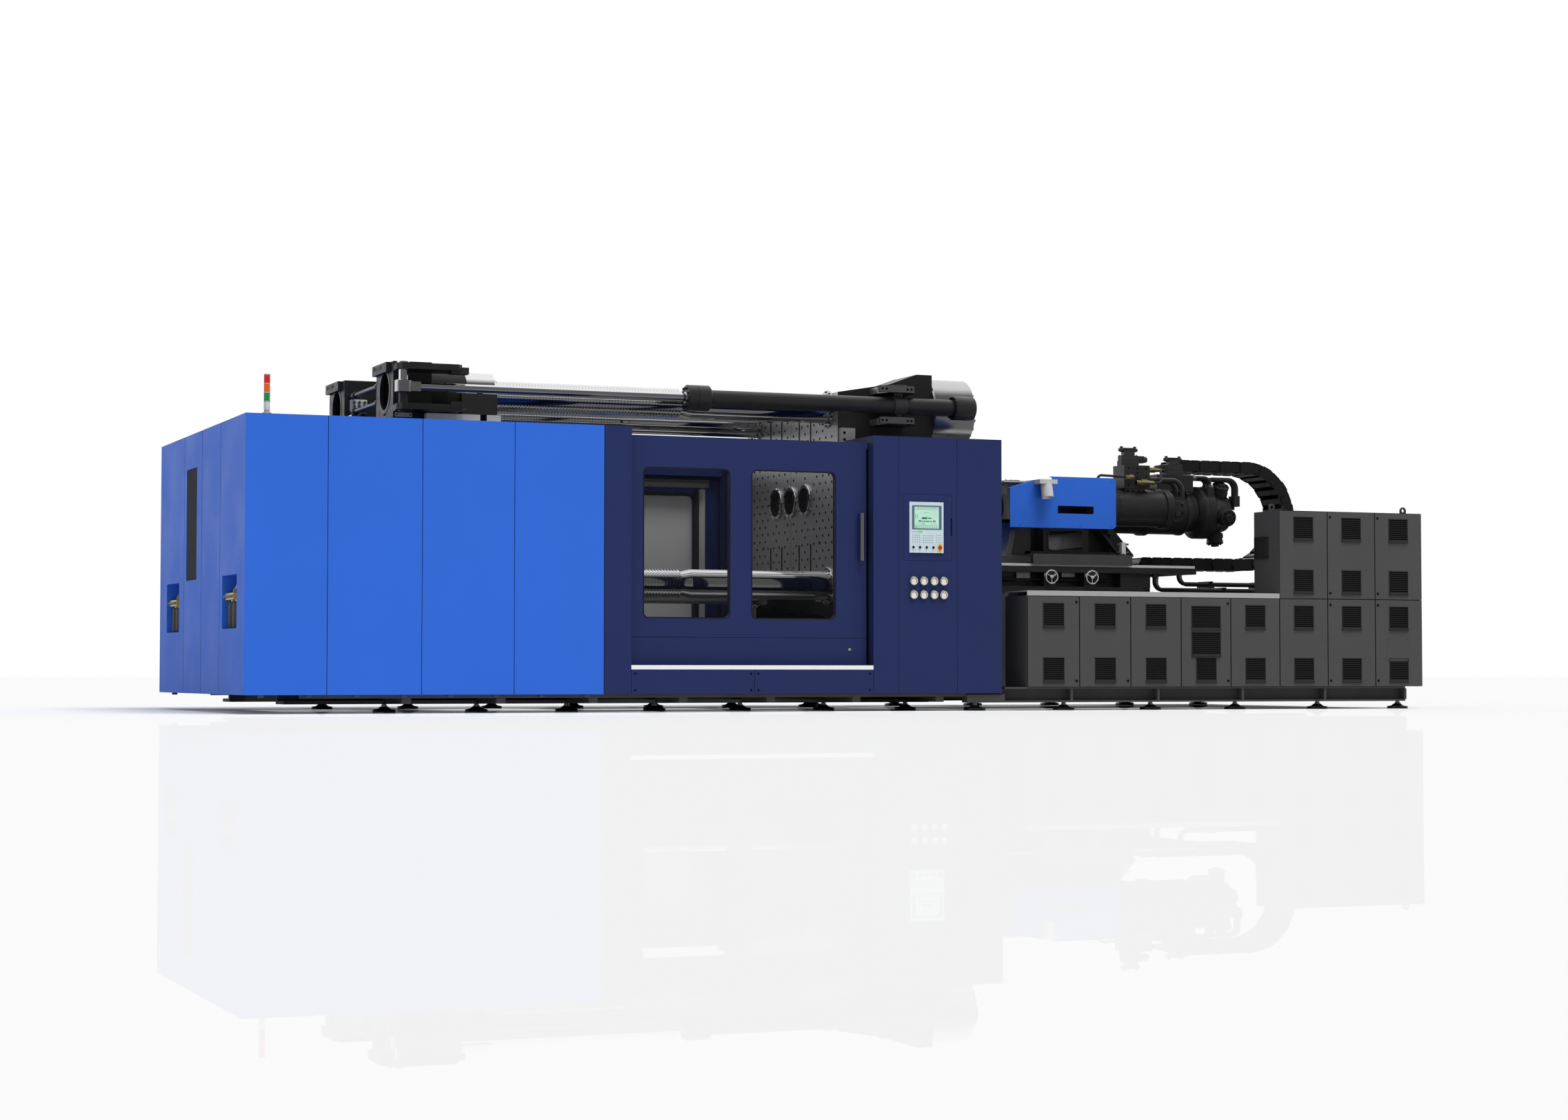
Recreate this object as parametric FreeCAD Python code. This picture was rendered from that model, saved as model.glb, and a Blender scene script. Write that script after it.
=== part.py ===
import FreeCAD, Part
import math
import os

# Two-platen injection moulding machine, in millimetres.
# +X runs from the clamp end to the injection end, -Y is the operator side, +Z is up.
# The origin is on the floor, under the middle of the machine's length and width.

# ---------------------------------------------------------------- enclosure
COVER_WIDTHS = (702.0, 822.0, 823.0, 820.0)  # light-blue panels along each side
POST_WIDTH = 254.0                           # dark panel beside the doorway
DOORWAY_LENGTH = 2335.0
COLUMN_LENGTH = 1310.0
CABINET_GAP = 266.0
CABINET_WIDTH = 549.0
CABINET_COUNT = 8
TALL_BAY_FROM = 5                            # bays 0-4 are low, the rest carry a second storey
HALF_WIDTH = 1977.5
COVER_BOTTOM = 160.0
COVER_TOP = 2525.0
SHEET = 25.0                                 # folded cover panels
PANEL_SEAM = 0.8                             # between two panels of a side
FLANGE = 60.0                                # folded edge of a panel

LENGTH = sum(COVER_WIDTHS) + POST_WIDTH + DOORWAY_LENGTH + COLUMN_LENGTH
LENGTH += CABINET_GAP + CABINET_COUNT * CABINET_WIDTH
X_LEFT = -LENGTH / 2
X_POST = X_LEFT + sum(COVER_WIDTHS)
X_DOORWAY = X_POST + POST_WIDTH
X_COLUMN = X_DOORWAY + DOORWAY_LENGTH
X_COLUMN_END = X_COLUMN + COLUMN_LENGTH
X_CABINET = X_COLUMN_END + CABINET_GAP
X_RIGHT = X_CABINET + CABINET_COUNT * CABINET_WIDTH
X_TALL = X_CABINET + TALL_BAY_FROM * CABINET_WIDTH
INNER_WIDTH = HALF_WIDTH - SHEET

# ---------------------------------------------------------------- clamp
AXIS_Z = 2012.0                              # machine axis above the floor
BAR_Y = 905.0                                # tie bars, from the machine axis
BAR_Z = 840.0
BAR_R = 140.0
GROOVE_R = 135.0                             # outside of the locking grooves
NECK_R = 118.0
BAR_CLEARANCE = 2.0
FIT = 0.05                                   # radial clearance of a close fit
SLIDE_GAP = 0.5                              # between a slide and its track
MOULD_OPENING = 3331.0                       # between the mould faces, fully open
CLAMP_STROKE = 2300.0
PLATEN_HALF_Y = 1150.0
FIXED_PLATEN_T = 530.0
FIXED_PLATEN_HALF_Z = 830.0
MOVING_PLATEN_T = 330.0
MOVING_PLATEN_HALF_Z = 900.0
SLEEVE_R = 200.0                             # boss around each bar on the moving platen
SLEEVE_LENGTH = 620.0
EAR_TOP = 1178.0                             # corner boss above the axis
EAR_DEPTH = 450.0
LOCATING_R = 122.5
LOCATING_RING_R = 156.0
LOCATING_PITCH = 361.0
LOCATING_RING_T = 20.0
LOCATING_DEPTH = 60.0
NOZZLE_HOLE_R = 110.0
BARREL_RECESS_R = 260.0
MOULD_BOLT_R = 16.0
MOULD_BOLT_Y = 700.0
MOULD_BOLT_Z = 420.0
MOULD_BOLT_DEPTH = 70.0
CLAMP_CYLINDER_R = 320.0
CLAMP_CYLINDER_LENGTH = 430.0

X_FIXED = X_COLUMN + 6.0                     # mould face of the fixed platen
X_FIXED_BACK = X_FIXED + FIXED_PLATEN_T
X_EAR_BACK = X_FIXED_BACK + EAR_DEPTH
X_MOVING = X_FIXED - MOULD_OPENING           # mould face of the moving platen
X_SLEEVE = X_MOVING - SLEEVE_LENGTH
NUT_LENGTH = 350.0
X_NUT = X_SLEEVE - NUT_LENGTH                # left face of the half-nut housings
NUT_HALF = 300.0                             # housings, half width and half height
NUT_HALF_Z = 248.0
NUT_WALL = 30.0
NUT_R = GROOVE_R + BAR_CLEARANCE
NUT_MOUTH_R = 165.0
NUT_STROKE = 59.5
NUT_BLOCK = 195.0                            # a half nut across the machine
NUT_BLOCK_HALF_Z = 190.0
X_BAR_END = X_MOVING - 269.0
X_GROOVE_END = X_FIXED - 1520.0
X_CONE_END = X_GROOVE_END + 110.0

# mould-moving cylinders, one at the front top and one diagonally opposite
PULL_Y = -1400.0
PULL_Z = 845.0                               # above the axis
PULL_ROD_R = 40.0
PULL_BARREL_R = 78.0
PULL_HEAD_R = 117.0
PULL_CLEARANCE = 1.0
X_PULL_HEAD = X_FIXED - 1625.0
X_PULL_BARREL = X_PULL_HEAD + 230.0
X_PULL_CAP = X_FIXED + 1072.0
X_PULL_END = X_PULL_CAP + 211.0
X_TRUNNION = X_FIXED + 510.0
TRUNNION_R = 45.0
TRUNNION_RING_R = 95.0
BRACKET_GAP = 235.0                          # between the two plates of a bracket
BRACKET_T = 60.0
EYE_R = 75.0
EYE_T = 110.0
PIN_R = 40.0
X_EYE = X_NUT + 39.0
X_ROD_TIP = X_PULL_HEAD + 320.0

# ---------------------------------------------------------------- clamp base
BASE_TOP = 810.0
BASE_LEFT = X_LEFT + 481.0
BASE_RIGHT = X_FIXED_BACK + 330.0
BEAM_OUT = 1320.0
BEAM_IN = 1000.0
BEAM_FLANGE = 30.0
BEAM_WEB = 60.0
CROSS_BEAMS = 5                              # under each base
CLAMP_CROSS = 160.0
CLAMP_CROSS_Z = (150.0, 440.0)
SILL_Y = (1900.0, 1940.0)                    # carries the columns and the post
SILL_BOTTOM = 130.0
CHUTE_TOP = 810.0                            # from the beams down to the conveyor's gap
CHUTE_END_Y = 360.0
CHUTE_END_Z = 460.0
FOOT_TOP = 74.0
FOOT_R = 110.0
OUTER_FEET_Y = 1910.0
TRACK_T = 20.0
TRACK = (1010.0, 1150.0)
CLAMP_FEET_Y = 1180.0
CLAMP_FEET = 7
CLAMP_FEET_PITCH = 840.0
X_CLAMP_FOOT = X_FIXED - 4360.0

# ---------------------------------------------------------------- end cover
RECESS_Z = (725.0, 1184.0)                   # trays of the lubrication units
RECESS_DEPTH = 420.0
RECESS_FRONT = (-1653.0, -1035.0)
RECESS_REAR = (990.0, 1620.0)
TRAY_SHEET = 6.0
END_WINDOW_Y = (152.0, 651.0)
END_WINDOW_Z = (1190.0, 2211.0)
END_SEAM_Y = -95.0

# ---------------------------------------------------------------- sliding doors
DOOR_Y = 1877.5                              # outer face
DOOR_T = 60.0
DOOR_BOTTOM = 414.5
DOOR_TOP = 2459.0
DOOR_OVERLAP = 119.0                         # behind the post panel
DOOR_STROKE = 2220.0
WINDOW_Z = (841.0, 2173.0)
WINDOW_X = ((148.0, 966.0), (1181.0, 2001.0))  # from the doorway's left edge
WINDOW_CORNER = 45.0
PANE_T = 10.0
DOOR_SHEET_T = 6.0
DOOR_RIM = 24.0                              # folded edges and window frames
SILL_Z = (377.0, 414.0)
KICK_SEAM_AT = 1170.0

# ---------------------------------------------------------------- operator panel
COLUMN_DEPTH = 647.5
REAR_COLUMN_DEPTH = 300.0                    # clears the rear mould-moving cylinder
COLUMN_WALL = 12.0
HMI_X = (306.0, 798.0)                       # from the column's left edge
HMI_Z = (1380.0, 1993.0)
HMI_BAY_DEPTH = 300.0
PANEL_X = (360.0, 704.0)
PANEL_Z = (1452.0, 1920.0)
PANEL_T = 12.0
DOOR_SHEET = 20.0
DOOR_GAP = 2.0                               # around a hinged door
SELECTOR_X = (397.0, 464.0, 532.0, 600.0)
SELECTOR_R = 11.0
SHAFT_R = 6.0                                # shaft behind a selector
STOP_X = 666.0
STOP_R = 20.0
STEM_R = 10.0
STOP_TRAVEL = 6.0
BUTTON_Z = 1502.0
GAUGE_X = (402.0, 503.0, 608.0, 706.0)
GAUGE_Z = (1067.0, 1193.0)
GAUGE_R = 42.5
GAUGE_T = 23.0

# ---------------------------------------------------------------- cabinets
CABINET_DEPTH = 455.0
CABINET_BOTTOM = 218.0
CABINET_TOP = 1073.0
TALL_TOP = 1931.0
CABINET_WALL = 20.0
FRAME_GAP = 0.5                              # between a cabinet's frame and its doors
VENT_W = 213.0
VENT_WIDE = 312.0
VENT_H = 210.0
VENT_BLADES = 4
BLADE_T = 5.0
WALKWAY_TOP = 1120.0
LIFTING_R = 17.0

# ---------------------------------------------------------------- injection unit
RAIL_Y = 700.0
RAIL_TOP = 1425.0
RAIL_HALF = 30.0
RAIL_T = 25.0
RAIL_BEAM_Z = 1340.0                         # underside of the beams below the rails
LEDGE_TOP = 1200.0
BED_GAP = 20.0                               # behind the clamp cylinders
X_BED = X_EAR_BACK + CLAMP_CYLINDER_LENGTH + BED_GAP
X_RAIL = (X_BED + 4.0, X_COLUMN + 4116.0)
X_TANK = X_RAIL[1] + 180.0                   # between the bed and the oil tank
CARRIAGE_X = (X_COLUMN + 2255.0, X_COLUMN + 3391.0)
CARRIAGE_Z = (1440.0, 1524.0)
CARRIAGE_HALF_Y = 740.0
PEDESTAL_Y = 520.0
PEDESTAL_TOP = 1797.0
BARREL_R = 150.0
HEATER_R = 165.0
SCREW_R = 60.0
NOZZLE_R = 45.0
X_NOZZLE = X_FIXED + 150.0
X_BARREL = X_FIXED + 430.0
X_FEED = X_COLUMN + 2256.0                   # front of the feed block
FEED_LENGTH = 350.0
X_THROAT = X_FEED + FEED_LENGTH / 2
THROAT_R = 60.0
X_HOUSING = X_COLUMN + 3196.0                # plate that carries the cylinders
HOUSING_T = 60.0
CYLINDER_Y = 450.0
CYLINDER_R = 185.0
CYLINDER_LENGTH = 690.0
PORT_SIZE = 240.0
PORT_LENGTH = 130.0
THRUST_R = 232.0
THRUST_LENGTH = 1230.0
DRIVE_ROD_R = 120.0
MOTOR_FLANGE_R = 270.0
MOTOR_CYLINDERS = 5
MOTOR_REACH = 350.0
COVER_Y = 660.0
COVER_X = (X_COLUMN + 2069.0, X_COLUMN + 3254.0)
COVER_Z = (1785.0, 2295.0)
COVER_LOW_Z = 2175.0                         # at the cover's sloping corner
COVER_SLOPE = 420.0
COVER_SHEET = 6.0
SLIDE_PLATE_T = 16.0
SLIDE_PLATE_Z = 2240.0
SLIDE_HALF_X = 92.0
SLIDE_HALF_Y = 190.0
ARM_HALF = 97.0                              # arm that leads the slide to the drain spout
ARM_T = 44.0
SPOUT_R = 55.0
COVER_WAY = 6.0                              # around the arm, in the front cover
HOPPER_STROKE = 728.0                        # until the throat is over the spout
HOPPER_BOLT_X = 72.0                         # half pitches of the hopper's bolts
HOPPER_BOLT_Y = 150.0
HOPPER_BOLT_R = 9.0
HANDWHEEL_X = (X_COLUMN + 2505.0, X_COLUMN + 2957.0)
HANDWHEEL_Y = -790.0
HANDWHEEL_Z = 1294.0
HANDWHEEL_R = 71.0
WHEEL_SHAFT_R = 12.0

HOSE_Y = (-190.0, -110.0)                     # hoses to the motor
HOSE_R = 24.0
HOSE_PORT = 280.0                            # top of the motor's ports above the axis

# energy chain between the bed and the injection unit
CHAIN_Y = (-100.0, 300.0)
CHAIN_LINK = 130.0
CHAIN_BEND_R = 507.0
CHAIN_BEND_LINKS = 12
CHAIN_LOW_Z = 1476.0
X_CHAIN_TOP = X_COLUMN + 4326.0
X_CHAIN_BEND = X_COLUMN + 5124.0
X_CHAIN_LOW = X_COLUMN + 3866.0

PIPE_R = 20.0

# ---------------------------------------------------------------- injection base
SIDE_BEAM = (1850.0, 1960.0)
SPINE_Y = (-180.0, -20.0)
BED_CROSS = 120.0
BED_CROSS_BOTTOM = 100.0
BED_HALF_Y = 900.0
BED_WALL = 40.0
TANK_HALF_Y = 1350.0                         # oil tank behind the cabinets
TANK_TOP = 1000.0
TANK_WALL = 12.0

# flats on rounds over 100 mm in radius, over 50 mm, and smaller
LARGE_FLATS = 14
MEDIUM_FLATS = 10
SMALL_FLATS = 8

V = FreeCAD.Vector
ALONG = V(1, 0, 0)
ACROSS = V(0, 1, 0)
UP = V(0, 0, 1)
ORIGIN = V(0, 0, 0)


# ---------------------------------------------------------------- helpers
def box(x, y, z):
    """A box between the (low, high) pairs x, y and z."""
    return Part.makeBox(x[1] - x[0], y[1] - y[0], z[1] - z[0], V(x[0], y[0], z[0]))


def sides_for(radius):
    """Flats on a round that fits nothing outside the machine; nested rounds agree."""
    return LARGE_FLATS if radius > 100 else MEDIUM_FLATS if radius > 50 else SMALL_FLATS


def many_sided(centre, radius, axis, length, sides=None):
    """A prism with many flats about an axis, in place of a plain round."""
    count = sides or sides_for(radius)
    across = ACROSS if axis == ALONG else ALONG
    other = axis.cross(across)
    corners = []
    for k in range(count + 1):
        angle = 2 * math.pi * (k + 0.5) / count
        corners.append(centre + across * (radius * math.cos(angle))
                       + other * (radius * math.sin(angle)))
    corners[-1] = corners[0]
    return Part.Face(Part.makePolygon(corners)).extrude(axis * length)


def turning_bore(radius):
    """Corner radius of a many-sided bore whose flats clear a round that turns in it."""
    return (radius + FIT) / math.cos(math.pi / sides_for(radius))


def rod_x(x, y, z, radius):
    return many_sided(V(x[0], y, z), radius, ALONG, x[1] - x[0])


def rod_y(x, y, z, radius):
    return many_sided(V(x, y[0], z), radius, ACROSS, y[1] - y[0])


def rod_z(x, y, z, radius):
    return many_sided(V(x, y, z[0]), radius, UP, z[1] - z[0])


def round_x(x, y, z, radius):
    """A true round, for mounts and for pieces that turn."""
    return Part.makeCylinder(radius, x[1] - x[0], V(x[0], y, z), ALONG)


def round_y(x, y, z, radius):
    return Part.makeCylinder(radius, y[1] - y[0], V(x, y[0], z), ACROSS)


def round_z(x, y, z, radius):
    return Part.makeCylinder(radius, z[1] - z[0], V(x, y, z[0]), UP)


def turned(profile, place, sides):
    """A many-sided solid of revolution; place(t, radius, angle) gives a corner."""
    angles = [2 * math.pi * (k + 0.5) / sides for k in range(sides)]
    rings = [[place(t, r, a) for a in angles] for t, r in profile]
    faces = []
    for near, far in zip(rings, rings[1:] + rings[:1]):
        for k in range(sides):
            corners = [near[k - 1], near[k], far[k], far[k - 1]]
            corners = [c for i, c in enumerate(corners) if not c.isEqual(corners[i - 1], 1e-6)]
            if len(corners) > 2:
                faces.append(Part.Face(Part.makePolygon(corners + corners[:1])))
    solid = Part.makeSolid(Part.makeShell(faces)).removeSplitter()
    return solid if solid.Volume > 0 else solid.reversed()


def turned_x(profile, y, z, sides=LARGE_FLATS):
    """Turned about a line along X, from (x, radius) corners."""
    def place(t, r, a):
        return V(t, y + r * math.cos(a), z + r * math.sin(a))
    return turned(profile, place, sides)


def turned_z(profile, x, y, sides=MEDIUM_FLATS):
    """Turned about a line along Z, from (z, radius) corners."""
    def place(t, r, a):
        return V(x + r * math.cos(a), y + r * math.sin(a), t)
    return turned(profile, place, sides)


def swept(path, radius, sides=8):
    """A many-sided pipe along a line of points."""
    start = path[1] - path[0]
    axis = UP if abs(start.z) > abs(start.x) else ALONG
    ring = many_sided(path[0], radius, axis, 1, sides).Faces
    ring = [f for f in ring if len(f.Edges) == sides and f.CenterOfMass.isEqual(path[0], 1e-3)][0]
    wire = Part.makePolygon(path)
    return wire.makePipeShell([ring.OuterWire], True, False, 1)


def bend(start, corner, end, radius, steps=3):
    """Points along the arc that rounds a square corner between two straight runs."""
    into = (start - corner).normalize() * radius
    out = (end - corner).normalize() * radius
    centre = corner + into + out
    points = []
    for k in range(steps + 1):
        angle = math.pi / 2 * k / steps
        points.append(centre - out * math.cos(angle) - into * math.sin(angle))
    return points


def prism_y(corners, y):
    """An outline of (x, z) corners, between the two y values."""
    wire = Part.makePolygon([V(a, y[0], b) for a, b in corners + corners[:1]])
    return Part.Face(wire).extrude(V(0, y[1] - y[0], 0))


def prism_x(corners, x):
    """An outline of (y, z) corners, between the two x values."""
    wire = Part.makePolygon([V(x[0], a, b) for a, b in corners + corners[:1]])
    return Part.Face(wire).extrude(V(x[1] - x[0], 0, 0))


def prism_z(corners, z):
    """An outline of (x, y) corners, between the two z values."""
    wire = Part.makePolygon([V(a, b, z[0]) for a, b in corners + corners[:1]])
    return Part.Face(wire).extrude(V(0, 0, z[1] - z[0]))


def fused(shapes):
    whole = shapes[0].fuse(shapes[1:]) if len(shapes) > 1 else shapes[0]
    return whole.removeSplitter()


def cut(body, tools):
    return body.cut(Part.makeCompound(tools))


def group(shapes):
    return Part.makeCompound(shapes)


def moved(shape, x=0.0, y=0.0, z=0.0):
    return shape.translated(V(x, y, z))


def other_side(shape):
    """The same piece on the far side of the machine."""
    return shape.mirror(ORIGIN, ACROSS)


def both_sides(shapes):
    return shapes + [other_side(s) for s in shapes]


def half_turn(shape):
    """The diagonally opposite piece, about the machine axis."""
    return shape.rotated(V(0, 0, AXIS_Z), ALONG, 180)


def four_corners(shape):
    """A front-top piece repeated at the four tie bars."""
    below = shape.mirror(V(0, 0, AXIS_Z), UP)
    return both_sides([shape, below])


def rounded_hole(x, y, z, radius):
    """A cutter through y with rounded corners in the XZ plane."""
    points = []
    centres = ((x[1] - radius, z[1] - radius), (x[0] + radius, z[1] - radius),
               (x[0] + radius, z[0] + radius), (x[1] - radius, z[0] + radius))
    for quarter, (cx, cz) in enumerate(centres):
        for k in range(3):
            angle = math.pi / 2 * (quarter + k / 2)
            points.append((cx + radius * math.cos(angle), cz + radius * math.sin(angle)))
    return prism_y(points, y)


def housing(x, y, z, wall):
    """A closed box of sheet or plate."""
    inside = box((x[0] + wall, x[1] - wall), (y[0] + wall, y[1] - wall), (z[0] + wall, z[1] - wall))
    return box(x, y, z).cut(inside)


# ---------------------------------------------------------------- bases and feet
def foot(x, y):
    """A levelling foot: a round pad that tapers up to its screw."""
    return turned_z([(0, 0), (0, FOOT_R), (22, FOOT_R), (FOOT_TOP, 30), (FOOT_TOP, 0)], x, y, SMALL_FLATS)


def clamp_foot_places():
    return [X_CLAMP_FOOT + CLAMP_FEET_PITCH * i for i in range(CLAMP_FEET)]


def injection_foot_places():
    return [X_CABINET - 519 + (X_RIGHT - X_CABINET + 267) / 5 * i for i in range(6)]


def levelling_feet():
    feet = []
    for x in clamp_foot_places():
        feet += [foot(x, -CLAMP_FEET_Y), foot(x, CLAMP_FEET_Y)]
    for x in injection_foot_places():
        feet += [foot(x, -OUTER_FEET_Y), foot(x, OUTER_FEET_Y)]
    return group(feet)


def channel_beam(x, inner, outer, z, web, flange):
    """A channel along X, open on its outer (-Y) side."""
    section = [(-outer, z[0]), (-inner, z[0]), (-inner, z[1]), (-outer, z[1]),
               (-outer, z[1] - flange), (-inner - web, z[1] - flange),
               (-inner - web, z[0] + flange), (-outer, z[0] + flange)]
    return prism_x(section, x)


def clamp_base_frame():
    """Beams, stiffeners, sills on brackets, chutes and cross beams, welded face to face."""
    span = (BASE_LEFT, BASE_RIGHT)
    side = [channel_beam(span, BEAM_IN, BEAM_OUT, (FOOT_TOP, BASE_TOP), BEAM_WEB, BEAM_FLANGE)]
    side.append(box((BASE_LEFT + 600, X_FIXED - 60), (-TRACK[1], -TRACK[0]),
                    (BASE_TOP, BASE_TOP + TRACK_T)))
    for x in clamp_foot_places():
        side.append(box((x - 15, x + 15), (-BEAM_OUT, -BEAM_IN - BEAM_WEB),
                        (FOOT_TOP + BEAM_FLANGE, BASE_TOP - BEAM_FLANGE)))
        side.append(box((x - 40, x + 40), (-SILL_Y[1], -BEAM_OUT), (FOOT_TOP + 8, SILL_BOTTOM)))
    sill_end = injection_foot_places()[0] - 100
    side.append(box((BASE_LEFT, sill_end), (-SILL_Y[1], -SILL_Y[0]), (SILL_BOTTOM, COVER_BOTTOM)))
    chute = [(-BEAM_IN, CHUTE_TOP - 10), (-BEAM_IN, CHUTE_TOP),
             (-CHUTE_END_Y, CHUTE_END_Z + 10), (-CHUTE_END_Y, CHUTE_END_Z)]
    side.append(prism_x(chute, (X_FIXED - 2300, X_FIXED - 20)))
    pieces = both_sides(side)
    for x in cross_places(span, CLAMP_CROSS):
        pieces.append(box((x, x + CLAMP_CROSS), (-BEAM_IN, BEAM_IN), CLAMP_CROSS_Z))
    return group(pieces)


def cross_places(span, width):
    """Left faces of the cross beams, evenly spaced over a base."""
    pitch = (span[1] - span[0] - width) / (CROSS_BEAMS - 1)
    return [span[0] + pitch * i for i in range(CROSS_BEAMS)]


def injection_base_frame():
    """Outer channels, spine and cross beams below the bed, the oil tank and the chain's post."""
    span = (X_COLUMN_END + 36, injection_foot_places()[-1] + 60)
    side = [channel_beam(span, SIDE_BEAM[0], SIDE_BEAM[1], (FOOT_TOP, CABINET_BOTTOM), 20, 18)]
    side.append(box((injection_foot_places()[0] - 100, span[0]), (-SIDE_BEAM[1], -SIDE_BEAM[0]),
                    (FOOT_TOP, 150)))
    for x in injection_foot_places()[1:]:
        side.append(box((x + 50, x + 74), (-SIDE_BEAM[1], -SIDE_BEAM[0] - 20),
                        (FOOT_TOP + 18, CABINET_BOTTOM - 18)))
    pieces = both_sides(side)
    pieces.append(box(span, SPINE_Y, (FOOT_TOP, CABINET_BOTTOM)))
    for x in cross_places(span, BED_CROSS):
        for y in ((-SIDE_BEAM[0], SPINE_Y[0]), (SPINE_Y[1], SIDE_BEAM[0])):
            pieces.append(box((x, x + BED_CROSS), y, (BED_CROSS_BOTTOM, CABINET_BOTTOM)))
    bed = housing((X_BED, X_TANK), (-BED_HALF_Y, BED_HALF_Y), (CABINET_BOTTOM, WALKWAY_TOP),
                  BED_WALL)
    tank = housing((X_TANK, X_RIGHT - 160), (-TANK_HALF_Y, TANK_HALF_Y),
                   (CABINET_BOTTOM, TANK_TOP), TANK_WALL)
    post = box((X_CHAIN_LOW + 10, X_CHAIN_LOW + 110), (CHAIN_Y[0] + 30, CHAIN_Y[1] - 30),
               (WALKWAY_TOP, CHAIN_LOW_Z - CHAIN_LINK / 2))
    return group(pieces + [bed, tank, post])


# ---------------------------------------------------------------- covers
def side_panels():
    """The four light-blue panels of the operator side."""
    panels = []
    x = X_LEFT
    for width in COVER_WIDTHS:
        left = x if x == X_LEFT else x + PANEL_SEAM / 2
        right = x + width - PANEL_SEAM / 2
        panels.append(box((left, right), (-HALF_WIDTH, -INNER_WIDTH), (COVER_BOTTOM, COVER_TOP)))
        x += width
    return panels


def cover_panels_blue():
    roof = box((X_LEFT + SHEET, X_NUT - 380), (-INNER_WIDTH, INNER_WIDTH),
               (COVER_TOP - SHEET, COVER_TOP))
    return group(both_sides(side_panels()) + [roof])


def recess_tray(y):
    """The folded tray behind an opening in the end cover."""
    outside = box((X_LEFT + SHEET, X_LEFT + RECESS_DEPTH), (y[0] - TRAY_SHEET, y[1] + TRAY_SHEET),
                  (RECESS_Z[0] - TRAY_SHEET, RECESS_Z[1] + TRAY_SHEET))
    return outside.cut(box((X_LEFT, X_LEFT + RECESS_DEPTH - TRAY_SHEET), y, RECESS_Z))


def end_panels():
    x = (X_LEFT, X_LEFT + SHEET)
    z = (COVER_BOTTOM, COVER_TOP - SHEET)
    front = box(x, (-INNER_WIDTH, END_SEAM_Y - PANEL_SEAM / 2), z)
    rear = box(x, (END_SEAM_Y + PANEL_SEAM / 2, INNER_WIDTH), z)
    top = box(x, (-INNER_WIDTH, INNER_WIDTH), (COVER_TOP - SHEET, COVER_TOP))
    front = cut(front, [box(x, RECESS_FRONT, RECESS_Z)])
    rear = cut(rear, [box(x, RECESS_REAR, RECESS_Z), box(x, END_WINDOW_Y, END_WINDOW_Z)])
    return group([fused([front, recess_tray(RECESS_FRONT)]),
                  fused([rear, recess_tray(RECESS_REAR)]), top])


def end_window():
    return box((X_LEFT + 6, X_LEFT + 6 + PANE_T), END_WINDOW_Y, END_WINDOW_Z)


def dark_side():
    """Post panel and kick panels of the operator side."""
    y = (-HALF_WIDTH, -INNER_WIDTH)
    post = fused([box((X_POST + PANEL_SEAM / 2, X_DOORWAY), y, (COVER_BOTTOM, COVER_TOP)),
                  box((X_DOORWAY - 8, X_DOORWAY), (-INNER_WIDTH, -1890),
                      (COVER_BOTTOM, COVER_TOP))])
    seam = X_DOORWAY + KICK_SEAM_AT
    kick_z = (COVER_BOTTOM, SILL_Z[0])
    kicks = [box((X_DOORWAY, seam - PANEL_SEAM / 2), y, kick_z),
             box((seam + PANEL_SEAM / 2, X_COLUMN), y, kick_z)]
    return [post] + kicks


def cover_panels_dark():
    rear_column = housing((X_COLUMN, X_COLUMN_END), (HALF_WIDTH - REAR_COLUMN_DEPTH, HALF_WIDTH),
                             (COVER_BOTTOM, COVER_TOP - 6), COLUMN_WALL)
    return group(both_sides(dark_side()) + [rear_column])


def door_rails():
    step = box((X_DOORWAY, X_COLUMN), (-HALF_WIDTH, -1800), SILL_Z)
    hidden = box((X_DOORWAY - DOOR_OVERLAP - DOOR_STROKE - 60, X_DOORWAY), (-1885, -1800), SILL_Z)
    guide_y = -DOOR_Y + DOOR_T + SLIDE_GAP
    guide = box((X_DOORWAY - DOOR_STROKE - 100, X_COLUMN), (guide_y, guide_y + 24), (2380, 2440))
    return group(both_sides([fused([step, hidden]), guide]))


def signal_tower():
    """Post and four stacked lamps on the roof's front corner."""
    x = X_LEFT + 192
    y = -1900
    z = COVER_TOP + 34
    stack = [turned_z([(COVER_TOP, 0), (COVER_TOP, 40), (COVER_TOP + 14, 40), (COVER_TOP + 14, 24),
                       (z, 24), (z, 0)], x, y)]
    for i in range(4):
        stack.append(turned_z([(z, 0), (z, 27), (z + 66, 27), (z + 66, 23), (z + 76, 23),
                               (z + 76, 0)], x, y))
        z += 76
    return group(stack)


# ---------------------------------------------------------------- sliding doors
def door_x():
    return (X_DOORWAY - DOOR_OVERLAP, X_COLUMN - 10)


def window_places():
    return [(X_DOORWAY + a, X_DOORWAY + b) for a, b in WINDOW_X]


def door_pan():
    """A folded pan with two window frames, open on the machine's side."""
    y = (-DOOR_Y, -DOOR_Y + DOOR_T)
    slab = box(door_x(), y, (DOOR_BOTTOM, DOOR_TOP))
    x = door_x()
    inside = box((x[0] + DOOR_RIM, x[1] - DOOR_RIM), (y[0] + DOOR_SHEET_T, y[1]),
                 (DOOR_BOTTOM + DOOR_RIM, DOOR_TOP - DOOR_RIM))
    rim = DOOR_RIM + WINDOW_CORNER / 4
    frames = [box((a - rim, b + rim), y, (WINDOW_Z[0] - rim, WINDOW_Z[1] + rim))
              for a, b in window_places()]
    pan = slab.cut(cut(inside, frames))
    return cut(pan, [rounded_hole(w, y, WINDOW_Z, WINDOW_CORNER) for w in window_places()])


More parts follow.
